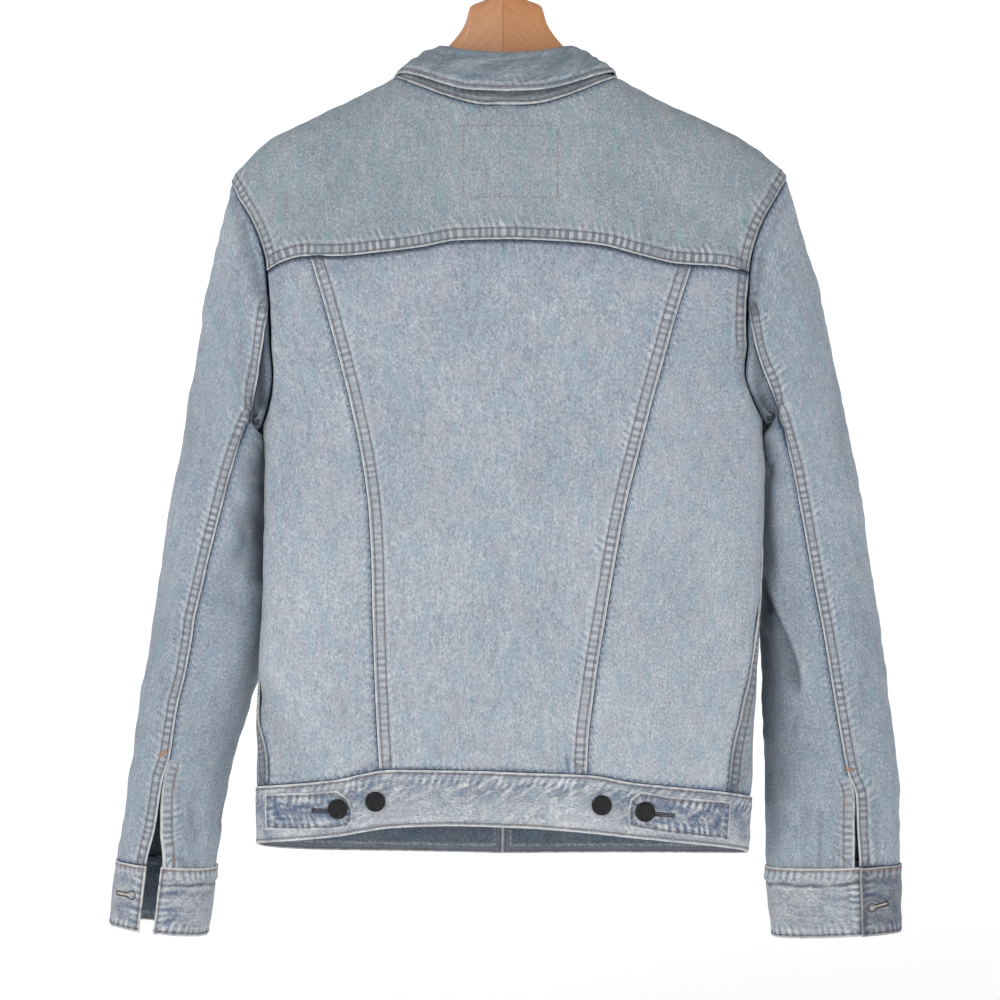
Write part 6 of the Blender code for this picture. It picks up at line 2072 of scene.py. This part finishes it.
def tab(side):
    name = SIDE_NAMES[side]
    order = np.argsort(TABS[name]["s"])
    places, tops, bottoms = (column[order] for column in TABS[name].values())
    s = np.linspace(places[0], places[-1], 400)
    length = line_length(body_base(s, np.full_like(s, TAB_MIDDLE)))
    shares = band_shares(length[-1], 8, 0.0022)
    s = np.unique(np.concatenate([np.interp(shares * length[-1], length, s), places]))
    top, bottom = np.interp(s, places, tops), np.interp(s, places, bottoms)
    share = band_shares(TAB_TALL, 7, 0.0024)[:, None]
    z = (1 - share) * top + share * bottom
    s = np.broadcast_to(s, z.shape).copy()
    base, normal = body(s, z, BAND_WALL / 2 + GAP + TAB_WALL)
    grain = pairs(z, np.interp(s, AROUND_S, AROUND))
    dress = Dress(base, edge_folds(base, 15.0 + side), (), grain, 0.52)
    dress.crease(0.0004 * crinkle(grain[..., 1], z, 0.016, 81 + side))
    stains(dress, base[..., 0], base[..., 2], INDIGO[f"tab_{name}"])
    outer = shell(f"tab_{name}", base, normal, dress, "tab",
                  thick=TAB_WALL)
    for field, far in zip(dress.fields, (False, True)):
        sewn_rows(outer, normal, field, (LOWER_ROW,), "columns", far)
    OUTERS[f"tab_{name}"] = (outer, normal)


def placket():
    x = np.linspace(-PLACKET_HALF, PLACKET_HALF, 400)
    turn = 180 - np.degrees(np.arcsin(x / NECK_HALF))
    top = over_shoulder(*neckline(turn))[1]
    wide = 2 * PLACKET_HALF
    columns = band_shares(wide, 7, 0.0026) * wide - PLACKET_HALF
    top = np.interp(columns, x, top)
    bottom = WAISTBAND["top"][0]
    tall = top.mean() - bottom
    rows = band_shares(tall, 7, 0.0030)[:, None]
    z = (1 - rows) * top + rows * bottom
    x = np.broadcast_to(columns, z.shape).copy()
    base, normal = body(side_of(x, z, True), z, GAP + TAB_WALL)
    dress = Dress(base, edge_folds(base, 17.0), (), pairs(x, z), 0.37)
    dress.crease(0.0003 * crinkle(x, z, 0.030, 91))
    outer = shell("placket", base, normal, dress, "panel",
                  thick=TAB_WALL)
    for field, far in ((dress.fields[2], False), (dress.fields[3], True)):
        sewn_rows(outer, normal, field, (LOWER_ROW,), "rows", far)


# ---------------------------------------------------------------- collar
def through(rows, count):
    """A smooth surface through rows of points, with count rows evenly along it."""
    steps = np.linalg.norm(np.diff(rows, axis=0), axis=-1).mean(axis=1)
    at = np.concatenate([[0], np.cumsum(steps)])
    want = np.linspace(0, at[-1], count)
    cell = np.clip(np.searchsorted(at, want, side="right") - 1, 0, len(rows) - 2)
    slope = np.gradient(rows, at, axis=0)
    t = ((want - at[cell]) / (at[cell + 1] - at[cell]))[:, None, None]
    span = (at[cell + 1] - at[cell])[:, None, None]
    return hermite(t, rows[cell], rows[cell + 1], span * slope[cell], span * slope[cell + 1])


def collar_line(which, degrees):
    size = np.abs(degrees)
    x = np.sign(degrees) * along(COLLAR, which + "_x", size)
    y, z = (along(COLLAR, which + axis, size) for axis in ("_y", "_z"))
    return np.stack([x, y, z], axis=-1)


def grid_normals(points, outward):
    normal = unit(np.cross(np.gradient(points, axis=1), np.gradient(points, axis=0)))
    return normal * np.sign((normal * outward).sum(axis=-1, keepdims=True))


STAND_ROW, FALL_ROW = 0.0022, 0.0034
LEVEL_FOOT = 9.0


def collar():
    degrees = np.linspace(-COLLAR_END, COLLAR_END, 301)
    turn = np.radians(degrees)
    out = np.stack([np.sin(turn), -np.cos(turn), 0 * turn], axis=-1)
    up = np.array([0, 0, 1.0])
    fold, edge = collar_line("fold", degrees), collar_line("edge", degrees)
    x, w = neckline(degrees)
    foot = body_base(*over_shoulder(x, w))
    middle = np.abs(degrees) < LEVEL_FOOT
    foot[middle, 2] = foot[middle, 2].min()
    head = fold - up * STAND_BELOW_FOLD - out * COLLAR_WALL * 0.7
    rise = unit(head - foot)
    share = np.linspace(0, 1, 18)[:, None, None]
    bow = (out * 0.6 + up * 0.8) * STAND_BOW * 4 * share * (1 - share)
    stand = (1 - share) * (foot + rise * STAND_FOOT_GAP) + share * head - bow
    normal = grid_normals(stand, np.broadcast_to(out, stand.shape))
    base = stand + normal * COLLAR_WALL / 2
    grain = arc_grain(stand)[..., ::-1]
    folds = [Fold(base[0], 0.003, (STAND_ROW, NO_ROW), SEEDS["neck"], high=0.0, ridge=0.0)]
    dress = Dress(base, folds, (), grain, 0.18)
    dress.crease(0.0005 * crinkle(grain[..., 1], grain[..., 0], 0.025, 95))
    outer = shell("collar_stand", base, normal, dress, "collar",
                  thick=COLLAR_WALL)
    sewn_rows(outer, normal, dress.fields[0], (STAND_ROW,), "columns")

    roll = [fold - (out + up * 0.4) * FOLD_ROLL, fold, fold + (out - up * 0.4) * FOLD_ROLL]
    for v in (0.2, 0.4, 0.6, 0.8, 1.0):
        roll.append((1 - v) * fold + v * edge + out * (FALL_BULGE * 4 * v * (1 - v)))
    fall = through(np.stack(roll), 30)
    normal = grid_normals(fall, np.broadcast_to(out + up, fall.shape))
    grain = arc_grain(fall)[..., ::-1]
    edges = ((fall[-1], 21.0, 0.6), (fall[:, 0], 22.0, 1.0), (fall[:, -1], 22.0, 1.0))
    folds = [
        Fold(line, 0.0042, (FALL_ROW, NO_ROW), seed, high=0.0, ridge=0.0, power=power)
        for line, seed, power in edges
    ]
    dress = Dress(fall, folds, (), grain, 0.61)
    free = smooth(line_length(fall[:, 150])[:, None] / 0.012)
    dress.crease(0.0010 * free * crinkle(grain[..., 1], grain[..., 0], 0.022, 97, 1.6), 90.0)
    dress.crease(0.0006 * free * crinkle(grain[..., 1], grain[..., 0], 0.010, 98, 1.8), 120.0)
    outer = shell("collar_fall", fall, normal, dress, "collar",
                  thick=COLLAR_WALL)
    sewn_rows(outer, normal, dress.fields[0], (FALL_ROW,), "columns", far=True)


# ---------------------------------------------------------------- hard pieces
def ring_faces(rings):
    """Faces between neighbouring rings, which all have the same number of points."""
    count = len(rings[0])
    first = np.arange(count)
    after = (first + 1) % count
    faces = np.stack([first, after, after + count, first + count], axis=-1)
    return np.concatenate([faces + k * count for k in range(len(rings) - 1)])


def turned_piece(name, rings, material, smooth_angle):
    """A closed piece through rings of points, capped at both ends."""
    count = len(rings[0])
    caps = [list(range(count))[::-1], [k + (len(rings) - 1) * count for k in range(count)]]
    mesh = bpy.data.meshes.new(name)
    mesh.from_pydata(np.concatenate(rings).tolist(), [], ring_faces(rings).tolist() + caps)
    shape = bmesh.new()
    shape.from_mesh(mesh)
    bmesh.ops.recalc_face_normals(shape, faces=shape.faces)
    shape.to_mesh(mesh)
    shape.free()
    mesh.polygons.foreach_set("use_smooth", np.ones(len(mesh.polygons), bool))
    mesh.set_sharp_from_angle(angle=math.radians(smooth_angle))
    mesh.materials.append(material)
    piece = add_object(name, mesh)
    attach(piece, "root")
    return piece


# A button's face: radius and height above the cloth, from the foot to the centre.
BUTTON_SIDES = 40
BUTTON_PROFILE = (
    (0.0040, 0.0000), (0.0040, 0.0012), (0.0076, 0.0013), (0.0083, 0.0018), (0.0085, 0.0024),
    (0.0082, 0.0031), (0.0074, 0.0036), (0.0067, 0.0037), (0.0062, 0.0034), (0.0057, 0.0031),
    (0.0050, 0.0031), (0.0038, 0.0033), (0.0026, 0.0034), (0.0021, 0.0033), (0.0018, 0.0031),
    (0.0014, 0.0032), (0.0008, 0.0036), (0.0003, 0.0037),
)


def button(node, place, normal, material):
    turn = np.linspace(0, FULL_TURN, BUTTON_SIDES, endpoint=False)
    circle = np.stack([np.cos(turn), np.sin(turn), 0 * turn], axis=-1)
    facing = np.array(Vector(normal).to_track_quat("Z", "Y").to_matrix())
    rings = [
        (circle * radius + (0, 0, height)) @ facing.T + place + normal * GAP
        for radius, height in BUTTON_PROFILE
    ]
    piece = turned_piece(f"{node}_face", rings, material, 50)
    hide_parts(node)


def buttons():
    places = {}
    for node, (s, z, on_tab) in WAIST_BUTTONS.items():
        places[node] = (s, z, BAND_WALL / 2 + (GAP + TAB_WALL if on_tab else 0))
    places["button_front_waist"] = (WAIST_FRONT_BUTTON_S, WAIST_FRONT_BUTTON_Z, BAND_WALL / 2)
    for number, z in enumerate(FRONT_BUTTON_HEIGHTS, 1):
        places[f"button_front_{number}"] = (2.0, z, GAP + TAB_WALL)
    metal = button_look()
    for node, (s, z, lift) in places.items():
        button(node, *body(np.array(s), np.array(z), lift), metal)
    for side, name in SIDE_NAMES.items():
        down = (SLEEVE_LENGTH[side] + CUFF_BOTTOM[side]) / 2
        place, normal = sleeve(side, down, CUFF_BUTTON_ANGLE, BAND_WALL / 2)
        button(f"button_cuff_{name}", place, normal, metal)


# Where the two halves of the hanger meet, in x, and how wide the line between them is.
JOINT, JOINT_HALF = -0.0026, 0.0004


def hanger():
    neck = list(zip(*HANGER_NECK.values()))
    halves = {}
    for side in (LEFT, RIGHT):
        rows = [(side * x, top, bottom, deep) for x, top, bottom, deep in neck]
        for x, thick, deep in zip(*HANGER_ARM.values()):
            top = float(ridge(side * x)) - HANGER_REST
            rows.append((side * x, top, top - thick, deep))
        halves[side] = rows
    rows = np.array(halves[LEFT][:0:-1] + halves[RIGHT])
    want = np.unique(np.concatenate([
        np.linspace(rows[0, 0], rows[-1, 0], 160),
        np.linspace(-0.045, 0.045, 61),
        [JOINT - JOINT_HALF, JOINT, JOINT + JOINT_HALF],
    ]))
    columns = dict(zip(("x", "top", "bottom", "deep"), rows.T))
    top, bottom, deep = (along(columns, key, want) for key in ("top", "bottom", "deep"))
    deep = deep - 0.0005 * (np.abs(want - JOINT) < JOINT_HALF / 2)
    turn = np.linspace(0, FULL_TURN, HANGER_SIDES, endpoint=False)
    sine, cosine = np.sin(turn), np.cos(turn)
    size = box_size(sine, cosine, HANGER_POWER)
    rings = []
    for x, t, b, d in zip(want, top, bottom, deep):
        z = (t + b) / 2 + (t - b) / 2 * cosine / size
        rings.append(np.stack([np.full(HANGER_SIDES, x), d * sine / size, z], axis=-1))
    # The right half's wood is a little darker than the left's: partly its own wood, partly painted
    # shade of its face.
    piece = turned_piece("hanger_wood", rings, wood("left", (188, 136, 97)), 40)
    piece.data.materials.append(wood("right", (184, 129, 84)))
    which = np.array([int(p.center.x > JOINT) for p in piece.data.polygons], np.int32)
    piece.data.polygons.foreach_set("material_index", which)
    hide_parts("hanger")


def hook():
    centre = -(HOOK_RADIUS - WIRE)
    turn = np.radians(np.linspace(HOOK_START, HOOK_END, 90))
    ring_points = [(HOOK_RADIUS * math.cos(a), centre + HOOK_RADIUS * math.sin(a)) for a in turn]
    start, join = (0.0, STEM_TOP), ring_points[0]
    tangent = (-math.sin(math.radians(HOOK_START)), math.cos(math.radians(HOOK_START)))
    near = (0.0, STEM_TOP + 0.008)
    far = (join[0] - tangent[0] * 0.010, join[1] - tangent[1] * 0.010)
    bend = []
    for t in np.linspace(0, 1, 25)[:-1]:
        weights = ((1 - t) ** 3, 3 * t * (1 - t) ** 2, 3 * t * t * (1 - t), t**3)
        bend.append(np.array(weights) @ np.array((start, near, far, join)))
    path = np.array([(0.0, STEM_FOOT), *bend, *ring_points])
    run = unit(np.gradient(path, axis=0))
    aside = np.stack([-run[:, 1], run[:, 0]], axis=-1)
    angle = np.linspace(0, FULL_TURN, HOOK_SIDES, endpoint=False)
    rings = []
    for p, a in zip(path, aside):
        flat = p + a * WIRE * np.cos(angle)[:, None]
        rings.append(np.stack([flat[:, 0], WIRE * np.sin(angle), flat[:, 1]], axis=-1))
    look = {"Base Color": (0.62, 0.62, 0.63, 1), "Metallic": 1.0, "Roughness": 0.24}
    piece = turned_piece("hook_wire", rings, Graph("steel").look(look), 60)
    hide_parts("hook")


def wood(name, tone):
    """Wood whose grain slants down one arm of the hanger."""
    g = Graph(f"wood_{name}")
    parts = g.put("SeparateXYZ", {0: g.put("NewGeometry").outputs["Position"]})
    x, y, z = (parts.outputs[k] for k in range(3))
    slant = 0.9 if name == "left" else -0.9
    across = g.add(z, g.times(x, -slant))
    down = g.add(x, g.times(z, slant))

    def streaks(scales, detail, rough):
        place = [g.times(value, scale) for value, scale in zip((across, y, down), scales)]
        return g.noise(g.join(*place), detail, rough)

    grain = streaks((420.0, 200.0, 30.0), 3.0, 0.6)
    broad = streaks((60.0, 60.0, 9.0), 2.0, 0.5)
    light = srgb(*[min(255, int(c * 1.06)) for c in tone])
    dark = srgb(*[int(c * f) for c, f in zip(tone, (0.93, 0.89, 0.85))])
    factor = g.add(g.times(g.smooth(grain, 0.3, 0.75), 0.6), g.times(broad, 0.4))
    return g.look({
        "Base Color": g.mix(factor, light, dark),
        "Roughness": 0.42,
        "Coat Weight": 0.25,
        "Coat Roughness": 0.25,
    })


def button_look():
    """Dark metal, rubbed paler in places."""
    g = Graph("button")
    rubbed = g.smooth(g.noise(g.position(900.0), 3.0, 0.6), 0.50, 0.80)
    colour = g.mix(rubbed, srgb(20, 21, 24), srgb(52, 50, 50))
    return g.look({"Base Color": colour, "Metallic": 0.55, "Roughness": 0.34})


# ---------------------------------------------------------------- small sewn details
def on_back(flat, grid, normals):
    """Places and normals at flat (x, z) places on the side of a grid that faces the back."""
    points, facing = grid.reshape(-1, 3), normals.reshape(-1, 3)
    keep = facing[:, 1] < -0.15
    points, facing = points[keep], facing[keep]
    away = ((flat[:, None] - points[None][..., [0, 2]]) ** 2).sum(axis=-1)
    near = np.argsort(away, axis=1)[:, :4]
    weight = 1 / (np.take_along_axis(away, near, axis=1) + 1e-8)
    weight = (weight / weight.sum(axis=1, keepdims=True))[..., None]
    depth = (points[near] * weight).sum(axis=1)[:, 1]
    place = np.stack([flat[:, 0], depth, flat[:, 1]], axis=-1)
    return place, unit((facing[near] * weight).sum(axis=1))


def even_line(corners, count):
    """Evenly spaced places along a line with corners."""
    corners = np.array(corners)
    run = line_length(corners)
    return read_along(np.linspace(0, run[-1], count), run, corners)


def buttonhole(hole, surface, thread="dark", fill="hole", radius=0.0030):
    """Close stitches around a keyhole: an eye and a straight slit, in flat (x, z) places."""
    eye, angle, tail = hole
    ca, sa = math.cos(math.radians(angle)), math.sin(math.radians(angle))
    narrow = radius * 0.45
    turn = np.radians(np.linspace(35, 325, 14))
    outline = [(radius * math.cos(a), radius * math.sin(a)) for a in turn]
    outline += [(radius, -narrow), (tail, -narrow), (tail, narrow), (radius, narrow)]
    outline.append(outline[0])
    turned = [(eye[0] + x * ca - z * sa, eye[1] + x * sa + z * ca) for x, z in outline]
    edge = on_back(even_line(turned, 90), *surface)
    sew(thread, edge, pitch=0.0010, length=0.0013, width=0.0011)
    slit = [(eye[0] + x * ca, eye[1] + x * sa) for x in (-radius * 0.3, tail - 0.001)]
    # The fill along the slit; the near-black default is painted shade of the opening.
    sew(fill, on_back(even_line(slit, 30), *surface), pitch=0.0011, length=0.0016, width=0.0010)


def bartack(thread, ends, width, surface):
    """A thick bar of close stitches between two flat (x, z) places."""
    ends = np.array(ends)
    run = unit(ends[1] - ends[0])
    aside = np.array([-run[1], run[0]]) * width
    for offset in (-0.5, 0, 0.5):
        place = on_back(even_line(ends + aside * offset, 12), *surface)
        sew(thread, place, pitch=0.0012, length=0.0020, width=0.0009)


def small_stitches():
    for side, name in SIDE_NAMES.items():
        buttonhole(TAB_HOLES[side], OUTERS[f"tab_{name}"])
        buttonhole(CUFF_HOLES[side], OUTERS[f"cuff_{name}"], "brown", "cream", 0.0036)
        bartack("tan", VENT_BARS[side], 0.0024, OUTERS[f"sleeve_{name}"])


# Buttonholes: the eye's x and z, the angle of the slit, and its length.
TAB_HOLES = {
    LEFT: ((-0.1409, -0.7516), 181.0, 0.0215),
    RIGHT: ((0.1168, -0.7536), -5.0, 0.0240),
}
CUFF_HOLES = {
    LEFT: ((-0.3179, -0.8274), 178.0, 0.0140),
    RIGHT: ((0.3111, -0.8389), 12.0, 0.0150),
}
# The bars of close stitches at the heads of the vents, from end to end in x and z.
VENT_BARS = {
    LEFT: ((-0.2941, -0.7088), (-0.2873, -0.705)),
    RIGHT: ((0.2881, -0.7199), (0.2949, -0.7216)),
}


# ---------------------------------------------------------------- stage, lights, camera
FLOOR = -1.05
BOWL_SIDES = 96
# The bowl's radius and height above the floor, from its middle out.
BOWL = (
    (0.001, 0.0), (1.0, 0.0), (2.0, 0.0), (2.9, 0.02),
    (3.5, 0.2), (4.0, 0.7), (4.3, 1.5), (4.4, 3.2),
)
# Disk lamps: place, target, size and power.
LAMPS = {
    "key": ((-1.7, -2.2, 0.6), (0, 0, -0.55), 1.2, 17),
    "fill": ((1.0, -2.6, -0.8), (0, 0, -0.6), 1.6, 6),
}
WORLD_LIGHT = 0.45
SENSOR = 36
CAMERA_AWAY = 2.4
VIEW_WIDTH = 0.85
CAMERA_X, CAMERA_Z = -0.0051, -0.4921


def stage():
    """A pale round bowl: a flat floor that rises into a wall all round."""
    turn = np.linspace(0, FULL_TURN, BOWL_SIDES, endpoint=False)
    circle = np.stack([np.cos(turn), np.sin(turn), 0 * turn], axis=-1)
    rings = [circle * radius + (0, 0, height + FLOOR) for radius, height in BOWL]
    mesh = make_mesh("floor", np.concatenate(rings), ring_faces(rings))
    mesh.materials.append(Graph("floor").look({
        "Base Color": (0.92, 0.92, 0.92, 1),
        "Roughness": 0.95,
        "Emission Color": (1, 1, 1, 1),
        "Emission Strength": 0.35,
    }))
    floor = add_object("floor", mesh)


def lamp(name, place, target, size, power):
    made = bpy.data.lights.new(name, "AREA")
    made.shape, made.size, made.energy = "DISK", size, power
    placed = add_object(name, made)
    placed.location = place
    aim = Vector(target) - Vector(place)
    placed.rotation_euler = aim.to_track_quat("-Z", "Y").to_euler()


def surroundings():
    world = bpy.data.worlds.new("world")
    world.use_nodes = True
    back = world.node_tree.nodes["Background"]
    back.inputs["Color"].default_value = (1, 1, 1, 1)
    back.inputs["Strength"].default_value = WORLD_LIGHT
    bpy.context.scene.world = world
    for name, settings in LAMPS.items():
        lamp(name, *settings)
    camera = bpy.data.cameras.new("camera")
    camera.sensor_width = SENSOR
    camera.lens = SENSOR * CAMERA_AWAY / VIEW_WIDTH
    eye = add_object("camera", camera)
    eye.location = (CAMERA_X, -CAMERA_AWAY, CAMERA_Z)
    eye.rotation_euler = (math.radians(90), 0, 0)
    bpy.context.scene.camera = eye
    bpy.context.scene.view_settings.view_transform = "Standard"


# ---------------------------------------------------------------- all of it
back_yoke()
back_centre()
for side in (LEFT, RIGHT):
    back_side(side)
    front(side)
    sleeve_piece(side, "outer")
    sleeve_piece(side, "under")
    cuff(side)
waistband()
for side in (LEFT, RIGHT):
    tab(side)
placket()
collar()
buttons()
hanger()
hook()
small_stitches()
stitch_objects()
stage()
surroundings()
